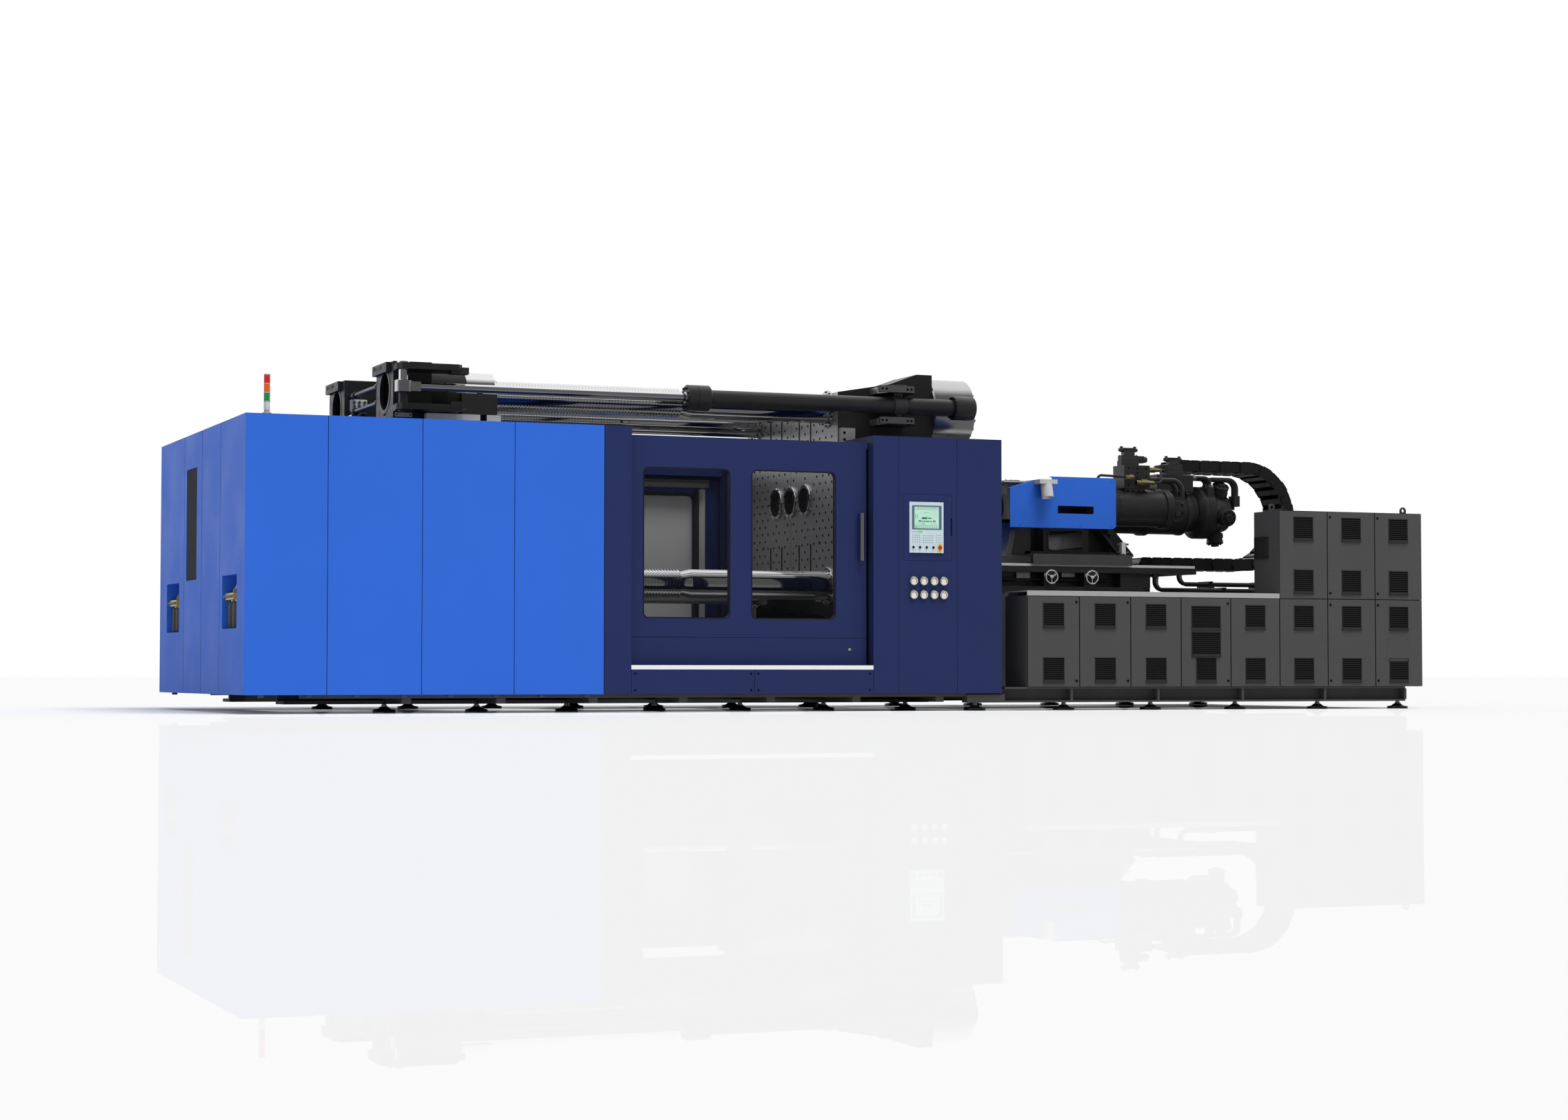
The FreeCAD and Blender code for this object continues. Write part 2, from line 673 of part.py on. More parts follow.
def front_door():
    """A sliding door with two windows and a bar handle."""
    slab = door_pan()
    handle_x = X_COLUMN - 87
    bar = box((handle_x - 14, handle_x + 14), (-DOOR_Y - 46, -DOOR_Y - 26), (1382, 1798))
    ends = [box((handle_x - 10, handle_x + 10), (-DOOR_Y - 30, -DOOR_Y), (z, z + 24))
            for z in (1400, 1756)]
    return fused([slab, bar] + ends)


def rear_door():
    return other_side(door_pan())


def front_windows():
    y = (-DOOR_Y + 20, -DOOR_Y + 20 + PANE_T)
    return group([rounded_hole(x, y, WINDOW_Z, WINDOW_CORNER) for x in window_places()])


def rear_windows():
    return other_side(front_windows())


# ---------------------------------------------------------------- operator column
def operator_column():
    """The column beside the door, with a bay behind the panel's door."""
    y = (-HALF_WIDTH, -HALF_WIDTH + COLUMN_DEPTH)
    column = housing((X_COLUMN, X_COLUMN_END), y, (COVER_BOTTOM, COVER_TOP - 6), COLUMN_WALL)
    x = (X_COLUMN + HMI_X[0], X_COLUMN + HMI_X[1])
    case = box((x[0] - 12, x[1] + 12), (y[0] + COLUMN_WALL, y[0] + HMI_BAY_DEPTH + COLUMN_WALL),
               (HMI_Z[0] - 12, HMI_Z[1] + 12))
    column = fused([column, case])
    recess = box(x, (y[0], y[0] + DOOR_SHEET + FRAME_GAP), HMI_Z)
    bay = box((x[0] + 24, x[1] - 24), (y[0], y[0] + HMI_BAY_DEPTH),
              (HMI_Z[0] + 24, HMI_Z[1] - 24))
    seams = [box((X_COLUMN + s - 2, X_COLUMN + s + 2), (y[0], y[0] + 4),
                 (COVER_BOTTOM, COVER_TOP)) for s in (257, 848)]
    return cut(column, [recess, bay] + seams)


def hmi_door():
    x = (X_COLUMN + HMI_X[0] + DOOR_GAP, X_COLUMN + HMI_X[1] - DOOR_GAP)
    z = (HMI_Z[0] + DOOR_GAP, HMI_Z[1] - DOOR_GAP)
    sheet = box(x, (-HALF_WIDTH, -HALF_WIDTH + DOOR_SHEET), z)
    pull = box((x[1] - 14, x[1]), (-HALF_WIDTH, -HALF_WIDTH + 14), (1615, 1775))
    return sheet.cut(pull)


def hmi_panel():
    x = (X_COLUMN + PANEL_X[0], X_COLUMN + PANEL_X[1])
    y = (-HALF_WIDTH - PANEL_T, -HALF_WIDTH)
    panel = box(x, y, PANEL_Z)
    places = [X_COLUMN + s for s in SELECTOR_X]
    holes = [rod_y(p, y, BUTTON_Z, turning_bore(SHAFT_R)) for p in places]
    holes.append(rod_y(X_COLUMN + STOP_X, y, BUTTON_Z, turning_bore(STEM_R)))
    screen = box((x[0] + 26, x[1] - 22), (y[0], y[0] + 3), (1668, 1886))
    return cut(panel, holes + [screen])


def selector(index):
    """A rotary selector: shaft, round grip and its bar."""
    x = X_COLUMN + SELECTOR_X[index]
    face = -HALF_WIDTH - PANEL_T - SLIDE_GAP
    shaft = rod_y(x, (face, -HALF_WIDTH - SLIDE_GAP), BUTTON_Z, SHAFT_R)
    grip = rod_y(x, (face - 8, face), BUTTON_Z, SELECTOR_R)
    bar = box((x - 2.5, x + 2.5), (face - 15, face - 8), (BUTTON_Z - 10, BUTTON_Z + 10))
    return fused([shaft, grip, bar])


def stop_button():
    """The mushroom button that stops the machine."""
    x = X_COLUMN + STOP_X
    face = -HALF_WIDTH - PANEL_T - STOP_TRAVEL - 1
    stem = rod_y(x, (face, -HALF_WIDTH - STOP_TRAVEL - SLIDE_GAP), BUTTON_Z, STEM_R)
    cap = rod_y(x, (face - 10, face), BUTTON_Z, STOP_R)
    return fused([stem, cap])


def pressure_gauges():
    gauges = []
    y = (-HALF_WIDTH - GAUGE_T, -HALF_WIDTH)
    for gx in GAUGE_X:
        for z in GAUGE_Z:
            case = rod_y(X_COLUMN + gx, y, z, GAUGE_R)
            dial = rod_y(X_COLUMN + gx, (y[0], y[0] + 4), z, GAUGE_R - 6)
            gauges.append(case.cut(dial))
    return group(gauges)


# ---------------------------------------------------------------- platens and bars
def corner_ear():
    """The boss of the fixed platen around the front-top bar, with its sloping hood."""
    top = AXIS_Z + EAR_TOP
    low = AXIS_Z + BAR_Z - 330
    outline = [(X_FIXED, low), (X_FIXED, AXIS_Z + 983), (X_FIXED_BACK, top - 105),
               (X_FIXED_BACK + 287, top), (X_EAR_BACK, top), (X_EAR_BACK, low)]
    return prism_y(outline, (-PLATEN_HALF_Y, -620))


def trunnion_bracket():
    """Two plates beside the front-top ear that carry a mould-moving cylinder."""
    plan = [(X_TRUNNION - 185, -PLATEN_HALF_Y + 60), (X_TRUNNION - 185, -1330),
            (X_TRUNNION - 110, -1500), (X_TRUNNION + 110, -1500),
            (X_TRUNNION + 170, -1400), (X_TRUNNION + 170, -PLATEN_HALF_Y + 60)]
    mid = AXIS_Z + PULL_Z
    plates = []
    for z in (mid + BRACKET_GAP / 2, mid - BRACKET_GAP / 2 - BRACKET_T):
        plate = prism_z(plan, (z, z + BRACKET_T))
        plates.append(plate.cut(rod_z(X_TRUNNION, PULL_Y, (z, z + BRACKET_T), TRUNNION_R + FIT)))
    return plates


def stationary_platen():
    block = box((X_FIXED, X_FIXED_BACK), (-PLATEN_HALF_Y, PLATEN_HALF_Y),
                (AXIS_Z - FIXED_PLATEN_HALF_Z, AXIS_Z + FIXED_PLATEN_HALF_Z))
    legs = both_sides([box((X_FIXED + 40, X_FIXED_BACK + 300), (-1140, -1010),
                           (BASE_TOP, AXIS_Z - FIXED_PLATEN_HALF_Z))])
    rings = [rod_x((X_FIXED - LOCATING_RING_T, X_FIXED), y, AXIS_Z, LOCATING_RING_R)
             for y in (-LOCATING_PITCH, 0, LOCATING_PITCH)]
    bracket = trunnion_bracket()
    stop = box((X_FIXED + 10, X_FIXED + 150), (-1215, -PLATEN_HALF_Y), (2480, 2650))
    solid = fused([block, stop] + four_corners(corner_ear()) + legs + rings
                  + bracket + [half_turn(b) for b in bracket])
    bars = four_corners(rod_x((X_FIXED, X_EAR_BACK), -BAR_Y, AXIS_Z + BAR_Z, BAR_R + FIT))
    bores = [round_x((X_FIXED - LOCATING_RING_T, X_FIXED + LOCATING_DEPTH), y, AXIS_Z, LOCATING_R)
             for y in (-LOCATING_PITCH, 0, LOCATING_PITCH)]
    bores.append(rod_x((X_FIXED, X_FIXED_BACK), 0, AXIS_Z, NOZZLE_HOLE_R))
    recess = rod_x((X_FIXED + 250, X_FIXED_BACK), 0, AXIS_Z, BARREL_RECESS_R)
    bolts = [round_x((X_FIXED, X_FIXED + MOULD_BOLT_DEPTH), y, AXIS_Z + z, MOULD_BOLT_R)
             for y in (-MOULD_BOLT_Y, MOULD_BOLT_Y) for z in (-MOULD_BOLT_Z, MOULD_BOLT_Z)]
    return cut(solid, bars + bores + [recess] + bolts)


def tie_bars():
    outline = [(X_BAR_END, 0), (X_BAR_END, GROOVE_R), (X_GROOVE_END, GROOVE_R),
               (X_GROOVE_END, NECK_R), (X_GROOVE_END + 30, NECK_R), (X_CONE_END, BAR_R),
               (X_EAR_BACK + 370, BAR_R), (X_EAR_BACK + 370, 0)]
    return group(four_corners(turned_x(outline, -BAR_Y, AXIS_Z + BAR_Z)))


def clamp_cylinders():
    """The four short cylinders that pull the tie bars."""
    x0 = X_EAR_BACK
    x1 = x0 + CLAMP_CYLINDER_LENGTH
    bore = BAR_R + FIT
    r = CLAMP_CYLINDER_R
    outline = [(x0, bore), (x0, r - 20), (x0 + 20, r), (x1 - 20, r), (x1, r - 20), (x1, 0),
               (x0 + 371, 0), (x0 + 371, bore)]
    return group(four_corners(turned_x(outline, -BAR_Y, AXIS_Z + BAR_Z)))


def moving_platen():
    x = (X_MOVING - MOVING_PLATEN_T, X_MOVING)
    plate = box(x, (-PLATEN_HALF_Y, PLATEN_HALF_Y),
                (AXIS_Z - MOVING_PLATEN_HALF_Z, AXIS_Z + MOVING_PLATEN_HALF_Z))
    core = box((X_SLEEVE, x[0]), (-620, 620), (AXIS_Z - 560, AXIS_Z + 560))
    webs = [prism_x([(-SLEEVE_R - BAR_Y + 120, AXIS_Z + 470), (-480, AXIS_Z + 470),
                     (-480, AXIS_Z + BAR_Z + 60), (-BAR_Y, AXIS_Z + BAR_Z + 60)],
                    (X_SLEEVE + 200, x[0]))]
    sleeve = rod_x((X_SLEEVE, X_MOVING), -BAR_Y, AXIS_Z + BAR_Z, SLEEVE_R)
    shoes = both_sides([box((X_SLEEVE + 40, X_MOVING - 10), (-1140, -1020),
                            (BASE_TOP + TRACK_T + SLIDE_GAP, AXIS_Z - BAR_Z))])
    guard = fused([box((X_SLEEVE - 70, X_MOVING - 8), (-1290, -1215), (2500, 2640)),
                   box((x[0] + 40, x[1] - 40), (-1215, -PLATEN_HALF_Y), (2500, 2640))])
    solid = fused([plate, core, guard] + four_corners(sleeve) + four_corners(webs[0]) + shoes)
    bores = four_corners(rod_x((X_SLEEVE, X_MOVING), -BAR_Y, AXIS_Z + BAR_Z,
                               BAR_R + BAR_CLEARANCE))
    bolts = [round_x((X_MOVING - MOULD_BOLT_DEPTH, X_MOVING), y, AXIS_Z + z, MOULD_BOLT_R)
             for y in (-MOULD_BOLT_Y, MOULD_BOLT_Y) for z in (-MOULD_BOLT_Z, MOULD_BOLT_Z)]
    return cut(solid, bores + bolts)


def nut_housing():
    """The front-top housing: a box open inside, with a slotted round mouth."""
    z = AXIS_Z + BAR_Z
    x = (X_NUT, X_SLEEVE)
    outside = box(x, (-BAR_Y - NUT_HALF, -BAR_Y + NUT_HALF), (z - NUT_HALF_Z, z + NUT_HALF_Z))
    cavity = box((x[0] + NUT_WALL, x[1] - NUT_WALL),
                 (-BAR_Y - NUT_HALF + NUT_WALL, -BAR_Y + NUT_HALF - NUT_WALL),
                 (z - NUT_HALF_Z + NUT_WALL, z + NUT_HALF_Z - NUT_WALL))
    mouth = many_sided(V(x[0], -BAR_Y, z), NUT_MOUTH_R, ALONG, NUT_LENGTH)
    slot = box((x[0], x[0] + NUT_WALL), (-BAR_Y - 35, -BAR_Y + 35), (z - 215, z + 215))
    return cut(outside, [cavity, mouth, slot])


def clevis_plates():
    """The two plates that hold the pin of the front-top pull rod."""
    y = -BAR_Y - NUT_HALF
    wide = [(X_NUT, y), (X_NUT - 26, PULL_Y - 10), (X_NUT + 10, PULL_Y - 80),
            (X_NUT + 520, PULL_Y - 80), (X_NUT + 560, PULL_Y - 40), (X_NUT + 560, -PLATEN_HALF_Y),
            (X_SLEEVE, -PLATEN_HALF_Y), (X_SLEEVE, y)]
    plates = []
    mid = AXIS_Z + PULL_Z
    for z in (mid + 150, mid - 205):
        plate = prism_z(wide, (z, z + 55))
        plates.append(plate.cut(rod_z(X_EYE, PULL_Y, (z, z + 55), PIN_R + FIT)))
    return plates


def half_nut_housings():
    front_top = fused([nut_housing()] + clevis_plates())
    plain = nut_housing()
    front_low = plain.mirror(V(0, 0, AXIS_Z), UP)
    return group([front_top, half_turn(front_top), front_low, other_side(plain)])


def half_nut(side):
    """One half nut at the front-top bar; side is -1 or 1 across the machine."""
    z = AXIS_Z + BAR_Z
    x = (X_NUT + NUT_WALL + 10, X_SLEEVE - NUT_WALL - 10)
    centre = -BAR_Y + side * (NUT_STROKE + SLIDE_GAP)
    edges = sorted((centre, centre + side * NUT_BLOCK))
    block = box(x, edges, (z - NUT_BLOCK_HALF_Z, z + NUT_BLOCK_HALF_Z))
    foot_z = (z - NUT_HALF_Z + NUT_WALL + SLIDE_GAP, z - NUT_BLOCK_HALF_Z)
    shoe = box(x, edges, foot_z)
    return fused([block, shoe]).cut(rod_x(x, centre, z, NUT_R))


def half_nuts(side):
    nut = half_nut(side)
    return group([moved(nut, y=dy, z=dz) for dy in (0, 2 * BAR_Y) for dz in (0, -2 * BAR_Z)])


def half_nuts_left():
    return half_nuts(-1)


def half_nuts_right():
    return half_nuts(1)


def pull_rod():
    """The front-top rod with its eye and the pin through the clevis."""
    z = AXIS_Z + PULL_Z
    eye = rod_z(X_EYE, PULL_Y, (z - EYE_T / 2, z + EYE_T / 2), EYE_R)
    neck = rod_x((X_EYE + 40, X_EYE + 150), PULL_Y, z, 50)
    rod = rod_x((X_EYE + 40, X_ROD_TIP), PULL_Y, z, PULL_ROD_R)
    rod = fused([eye, neck, rod])
    rod = rod.cut(rod_z(X_EYE, PULL_Y, (z - EYE_T, z + EYE_T), PIN_R + FIT))
    pin = fused([rod_z(X_EYE, PULL_Y, (z - 225, z + 205), PIN_R),
                 rod_z(X_EYE, PULL_Y, (z + 205, z + 222), 54)])
    return [rod, pin]


def platen_rods():
    front = pull_rod()
    between = (-BAR_Y + NUT_HALF, BAR_Y - NUT_HALF)
    links = [rod_y(X_NUT + 60, between, AXIS_Z + s * (BAR_Z + dz), 22)
             for s in (-1, 1) for dz in (-60, 90)]
    valve = box((X_NUT + 20, X_NUT + 110), (BAR_Y - NUT_HALF - 190, BAR_Y - NUT_HALF),
                (AXIS_Z + BAR_Z - 170, AXIS_Z + BAR_Z - 90))
    return group(front + [half_turn(s) for s in front] + links + [valve])


def mould_cylinder():
    """The front-top cylinder that opens and closes the mould."""
    z = AXIS_Z + PULL_Z
    bore = (PULL_ROD_R + PULL_CLEARANCE) / math.cos(math.pi / MEDIUM_FLATS)
    outline = [(X_PULL_HEAD, bore), (X_PULL_HEAD, PULL_HEAD_R), (X_PULL_BARREL, PULL_HEAD_R),
               (X_PULL_BARREL, PULL_BARREL_R), (X_TRUNNION - 65, PULL_BARREL_R),
               (X_TRUNNION - 65, TRUNNION_RING_R), (X_TRUNNION + 65, TRUNNION_RING_R),
               (X_TRUNNION + 65, PULL_BARREL_R), (X_PULL_CAP, PULL_BARREL_R),
               (X_PULL_CAP, PULL_HEAD_R - 3), (X_PULL_END, PULL_HEAD_R - 3), (X_PULL_END, 0),
               (X_ROD_TIP + CLAMP_STROKE + 30, 0), (X_ROD_TIP + CLAMP_STROKE + 30, bore)]
    reach = BRACKET_GAP / 2 + BRACKET_T
    pins = [rod_z(X_TRUNNION, PULL_Y, (z + 60, z + reach), TRUNNION_R),
            rod_z(X_TRUNNION, PULL_Y, (z - reach, z - 60), TRUNNION_R)]
    return fused([turned_x(outline, PULL_Y, z, MEDIUM_FLATS)] + pins)


def mould_cylinders():
    front = mould_cylinder()
    return group([front, half_turn(front)])


# ---------------------------------------------------------------- lubrication units
def lubrication_unit(y):
    """Two filter canisters under one head, on the tray's floor."""
    x = X_LEFT + 190
    z = RECESS_Z[0]
    mid = (y[0] + y[1]) / 2 + 60
    canisters = [rod_z(x, mid + dy, (z, z + 250), 62) for dy in (-90, 90)]
    head = box((x - 75, x + 75), (mid - 170, mid + 170), (z + 250, z + 310))
    valve = box((x - 30, x + 30), (mid - 30, mid + 30), (z + 310, z + 380))
    return fused(canisters + [head, valve])


def lubrication_units():
    return group([lubrication_unit(RECESS_FRONT), lubrication_unit(RECESS_REAR)])


# ---------------------------------------------------------------- cabinets
def cabinet_shell(first, last, z):
    """A row of open-fronted bays from bay number first up to last."""
    front = -HALF_WIDTH + DOOR_SHEET + FRAME_GAP
    back = -HALF_WIDTH + CABINET_DEPTH
    x0 = X_CABINET + first * CABINET_WIDTH
    shell = box((x0, X_CABINET + last * CABINET_WIDTH), (front, back), z)
    bays = []
    for i in range(first, last):
        x = X_CABINET + i * CABINET_WIDTH
        bays.append(box((x + CABINET_WALL, x + CABINET_WIDTH - CABINET_WALL),
                        (front, back - CABINET_WALL), (z[0] + CABINET_WALL, z[1] - CABINET_WALL)))
    return cut(shell, bays)


def low_cabinet():
    rear = housing((X_CABINET, X_RIGHT), (HALF_WIDTH - CABINET_DEPTH, HALF_WIDTH),
                      (CABINET_BOTTOM, CABINET_TOP), CABINET_WALL)
    return group([cabinet_shell(0, CABINET_COUNT, (CABINET_BOTTOM, CABINET_TOP)), rear])


def lifting_eye(x):
    """A plate eye on the tall cabinet's roof."""
    y = (-HALF_WIDTH + CABINET_DEPTH / 2 - 8, -HALF_WIDTH + CABINET_DEPTH / 2 + 8)
    plate = fused([box((x - 34, x + 34), y, (TALL_TOP, TALL_TOP + 40)),
                   rod_y(x, y, TALL_TOP + 40, 34)])
    return plate.cut(round_y(x, y, TALL_TOP + 40, LIFTING_R))


def tall_cabinet():
    shell = cabinet_shell(TALL_BAY_FROM, CABINET_COUNT, (CABINET_TOP, TALL_TOP))
    eyes = [lifting_eye(X_TALL + 60), lifting_eye(X_RIGHT - 60)]
    return fused([shell] + eyes)


def walkway_plate():
    y = (-HALF_WIDTH, -HALF_WIDTH + CABINET_DEPTH)
    tread = box((X_CABINET, X_TALL), y, (WALKWAY_TOP - 12, WALKWAY_TOP))
    lip = box((X_CABINET, X_TALL), (y[0], y[0] + 12), (CABINET_TOP, WALKWAY_TOP))
    back = box((X_CABINET, X_TALL), (y[1] - 12, y[1]), (CABINET_TOP, WALKWAY_TOP))
    return fused([tread, lip, back])


def louvre(x, z):
    """An opening's frame and its sloping blades, and the opening itself."""
    y = (-HALF_WIDTH, -HALF_WIDTH + DOOR_SHEET)
    opening = box(x, y, z)
    pitch = (z[1] - z[0]) / VENT_BLADES
    blades = []
    for i in range(VENT_BLADES):
        low = z[0] + pitch * i
        outline = [(y[0], low), (y[0], low + BLADE_T), (y[1], low + pitch - 2),
                   (y[1], low + pitch - 2 - BLADE_T)]
        blades.append(prism_x(outline, x))
    return opening, blades


def cabinet_door(bay, z, vents):
    """A hinged door with louvres given as (width, low z) pairs."""
    x = (X_CABINET + bay * CABINET_WIDTH + DOOR_GAP,
         X_CABINET + (bay + 1) * CABINET_WIDTH - DOOR_GAP)
    door = box(x, (-HALF_WIDTH, -HALF_WIDTH + DOOR_SHEET), (z[0] + DOOR_GAP, z[1] - DOOR_GAP))
    mid = (x[0] + x[1]) / 2
    blades = []
    openings = []
    for width, low in vents:
        opening, slats = louvre((mid - width / 2, mid + width / 2), (low, low + VENT_H))
        openings.append(opening)
        blades += slats
    return fused([cut(door, openings)] + blades)


LOW_VENTS = [(VENT_W, 279.0), (VENT_W, 789.0)]
FAN_VENTS = [(VENT_W, 279.0), (VENT_WIDE, 524.0), (VENT_WIDE, 776.0)]
HIGH_VENTS = [(VENT_W, 1140.0), (VENT_W, 1656.0)]


def low_door(bay):
    vents = FAN_VENTS if bay == 3 else LOW_VENTS
    return cabinet_door(bay, (CABINET_BOTTOM, CABINET_TOP), vents)


def high_door(bay):
    return cabinet_door(bay, (CABINET_TOP, TALL_TOP), HIGH_VENTS)


# ---------------------------------------------------------------- injection unit
def carriage_rails():
    """Rails, their frame and the blocks that carry it above the bed."""
    side = [box(X_RAIL, (-RAIL_Y - RAIL_HALF, -RAIL_Y + RAIL_HALF), (RAIL_TOP - RAIL_T, RAIL_TOP)),
            box(X_RAIL, (-RAIL_Y - 60, -RAIL_Y + 60), (RAIL_BEAM_Z, RAIL_TOP - RAIL_T))]
    for x in HANDWHEEL_X:
        side.append(box((x - 110, x + 20), (-RAIL_Y - 50, -RAIL_Y + 70), (LEDGE_TOP, RAIL_BEAM_Z)))
    for x in ((X_RAIL[0] + 60, X_RAIL[0] + 240), (HANDWHEEL_X[1] + 300, X_RAIL[1] - 520)):
        side.append(box(x, (-RAIL_Y - 40, -RAIL_Y + 60), (LEDGE_TOP, RAIL_BEAM_Z)))
    side.append(box((X_RAIL[0], HANDWHEEL_X[1] + 540), (-RAIL_Y - 60, -RAIL_Y + 160),
                    (WALKWAY_TOP, LEDGE_TOP)))
    shafts = [rod_y(x, (HANDWHEEL_Y, -RAIL_Y), HANDWHEEL_Z, turning_bore(WHEEL_SHAFT_R))
              for x in wheel_centres()]
    pieces = both_sides(side)
    for x in (X_RAIL[0] + 20, X_RAIL[1] - 120):
        pieces.append(box((x, x + 100), (-RAIL_Y + 60, RAIL_Y - 60), (RAIL_BEAM_Z, 1395)))
    return group([cut(piece, shafts) for piece in pieces])


def wheel_centres():
    return [x - 45 for x in HANDWHEEL_X]


def handwheel(x):
    """A three-spoke wheel with a rim knob, on its shaft."""
    y = HANDWHEEL_Y
    rim = many_sided(V(x, y - 6, HANDWHEEL_Z), HANDWHEEL_R, ACROSS, 12, LARGE_FLATS)
    rim = rim.cut(many_sided(V(x, y - 6, HANDWHEEL_Z), HANDWHEEL_R - 12, ACROSS, 12, LARGE_FLATS))
    hub = rod_y(x, (y - 9, y + 14), HANDWHEEL_Z, 18)
    shaft = rod_y(x, (y, -RAIL_Y - 2), HANDWHEEL_Z, WHEEL_SHAFT_R)
    spoke = box((x - 5, x + 5), (y - 4, y + 4), (HANDWHEEL_Z + 10, HANDWHEEL_Z + HANDWHEEL_R - 6))
    spokes = [spoke.rotated(V(x, y, HANDWHEEL_Z), ACROSS, a) for a in (60, 180, 300)]
    knob = rod_y(x + 42, (y - 30, y - 6), HANDWHEEL_Z - 48, 7)
    return fused([rim, hub, shaft, knob] + spokes)


def handwheel_left():
    return handwheel(wheel_centres()[0])


def handwheel_right():
    return handwheel(wheel_centres()[1])


def carriage():
    """Carriage plate with the pedestal casting that carries the barrel."""
    deck = box(CARRIAGE_X, (-CARRIAGE_HALF_Y, CARRIAGE_HALF_Y), CARRIAGE_Z)
    shoes = both_sides([box((x, x + 200), (-RAIL_Y - RAIL_HALF, -RAIL_Y + RAIL_HALF),
                            (RAIL_TOP + SLIDE_GAP, CARRIAGE_Z[0]))
                        for x in (CARRIAGE_X[0] + 20, CARRIAGE_X[1] - 220)])
    z0 = CARRIAGE_Z[1]
    x = CARRIAGE_X[0]
    outline = [(x + 40, z0), (x + 190, PEDESTAL_TOP), (x + 930, PEDESTAL_TOP), (x + 1110, z0 + 30),
               (x + 1110, z0)]
    casting = prism_y(outline, (-PEDESTAL_Y, PEDESTAL_Y))
    window = rounded_hole((x + 310, x + 690), (-PEDESTAL_Y, PEDESTAL_Y), (1575, 1765), 30)
    sides = both_sides([prism_y([(x - 20, z0 + 34), (x + 160, PEDESTAL_TOP + 10),
                                 (x + 255, PEDESTAL_TOP + 10), (x + 255, z0 + 34)],
                                (-PEDESTAL_Y, -PEDESTAL_Y + 190)),
                        prism_y([(x + 760, z0 + 34), (x + 760, PEDESTAL_TOP + 10),
                                 (x + 860, PEDESTAL_TOP + 10), (x + 1080, z0 + 34)],
                                (-PEDESTAL_Y, -PEDESTAL_Y + 190))])
    casting = cut(casting, [window] + sides)
    seat = rod_x((x, X_HOUSING + HOUSING_T), 0, AXIS_Z, BARREL_R + FIT)
    saddle = box((x + 190, x + 930), (-300, 300), (PEDESTAL_TOP, AXIS_Z - 120)).cut(seat)
    plate = box((X_HOUSING, X_HOUSING + HOUSING_T), (-COVER_Y + FLANGE, COVER_Y - FLANGE),
                (PEDESTAL_TOP - 60, AXIS_Z + 250))
    return group([deck, casting, saddle, cut(plate, [casting, seat])] + shoes)


def feed_block():
    """Block around the barrel's inlet, with the hopper's slide base and drain spout."""
    x = (X_FEED, X_FEED + FEED_LENGTH)
    top = SLIDE_PLATE_Z + SLIDE_PLATE_T
    block = box(x, (-230, 230), (AXIS_Z - 120, SLIDE_PLATE_Z))
    base = box((X_FEED - 164, X_FEED + 426), (-480, 290), (SLIDE_PLATE_Z, top))
    arm = box((X_THROAT - ARM_HALF, X_THROAT + ARM_HALF), (-COVER_Y - 130, -480), (top - ARM_T, top))
    lean = V(0, 0.22, 1).normalize()
    foot_at = V(X_THROAT, -HOPPER_STROKE - 30, top - 180)
    spout = many_sided(foot_at, SPOUT_R, lean, 160)
    spout = spout.cut(many_sided(foot_at - lean * 10, SPOUT_R - 5, lean, 180, MEDIUM_FLATS))
    spout = spout.cut(box((X_THROAT - 200, X_THROAT + 200), (-1000, 0), (top - ARM_T, top + 60)))
    throat = rod_z(X_THROAT, 0, (AXIS_Z, top), THROAT_R)
    drain = rod_z(X_THROAT, -HOPPER_STROKE, (top - ARM_T, top), SPOUT_R - 5)
    seat = rod_x(x, 0, AXIS_Z, BARREL_R + FIT)
    return group([cut(block, [throat, seat]), base.cut(throat), arm.cut(drain), spout])


def hopper_slide():
    """The sliding plate that a hopper is bolted to."""
    z = SLIDE_PLATE_Z + SLIDE_PLATE_T + SLIDE_GAP
    plate = box((X_THROAT - SLIDE_HALF_X, X_THROAT + SLIDE_HALF_X), (-SLIDE_HALF_Y, SLIDE_HALF_Y),
                (z, z + 22))
    collar = rod_z(X_THROAT, 0, (z + 22, z + 40), THROAT_R + 20)
    bolts = [round_z(X_THROAT + sx * HOPPER_BOLT_X, sy * HOPPER_BOLT_Y, (z, z + 22), HOPPER_BOLT_R)
             for sx in (-1, 1) for sy in (-1, 1)]
    throat = rod_z(X_THROAT, 0, (z, z + 40), THROAT_R)
    return group([cut(plate, bolts + [throat]), collar.cut(throat)])


def feed_cover():
    """The two folded blue covers beside the feed section."""
    x0, x1 = COVER_X
    z0, z1 = COVER_Z
    outline = [(x0, z0), (x0, COVER_LOW_Z), (x0 + COVER_SLOPE, z1), (x1 - 36, z1), (x1, z1 - 20),
               (x1, z0 + 24), (x1 - 36, z0)]
    inner = [(x0 - 20, z0 + COVER_SHEET), (x0 - 20, COVER_LOW_Z - COVER_SHEET - 6),
             (x0 + COVER_SLOPE, z1 - COVER_SHEET), (x1 - 38, z1 - COVER_SHEET),
             (x1 - COVER_SHEET, z1 - 24), (x1 - COVER_SHEET, z0 + 28), (x1 - 38, z0 + COVER_SHEET)]
    shell = prism_y(outline, (-COVER_Y, -COVER_Y + FLANGE))
    shell = shell.cut(prism_y(inner, (-COVER_Y + COVER_SHEET, -COVER_Y + FLANGE)))
    slot = rounded_hole((x0 + 529, x0 + 932), (-COVER_Y, -COVER_Y + 10), (1930, 2006), 8)
    front = shell.cut(slot)
    way = ARM_HALF + COVER_WAY
    notch = box((X_THROAT - way, X_THROAT + way), (-COVER_Y, -COVER_Y + FLANGE),
                (SLIDE_PLATE_Z + SLIDE_PLATE_T - ARM_T - COVER_WAY, z1))
    return group([front.cut(notch), other_side(front)])


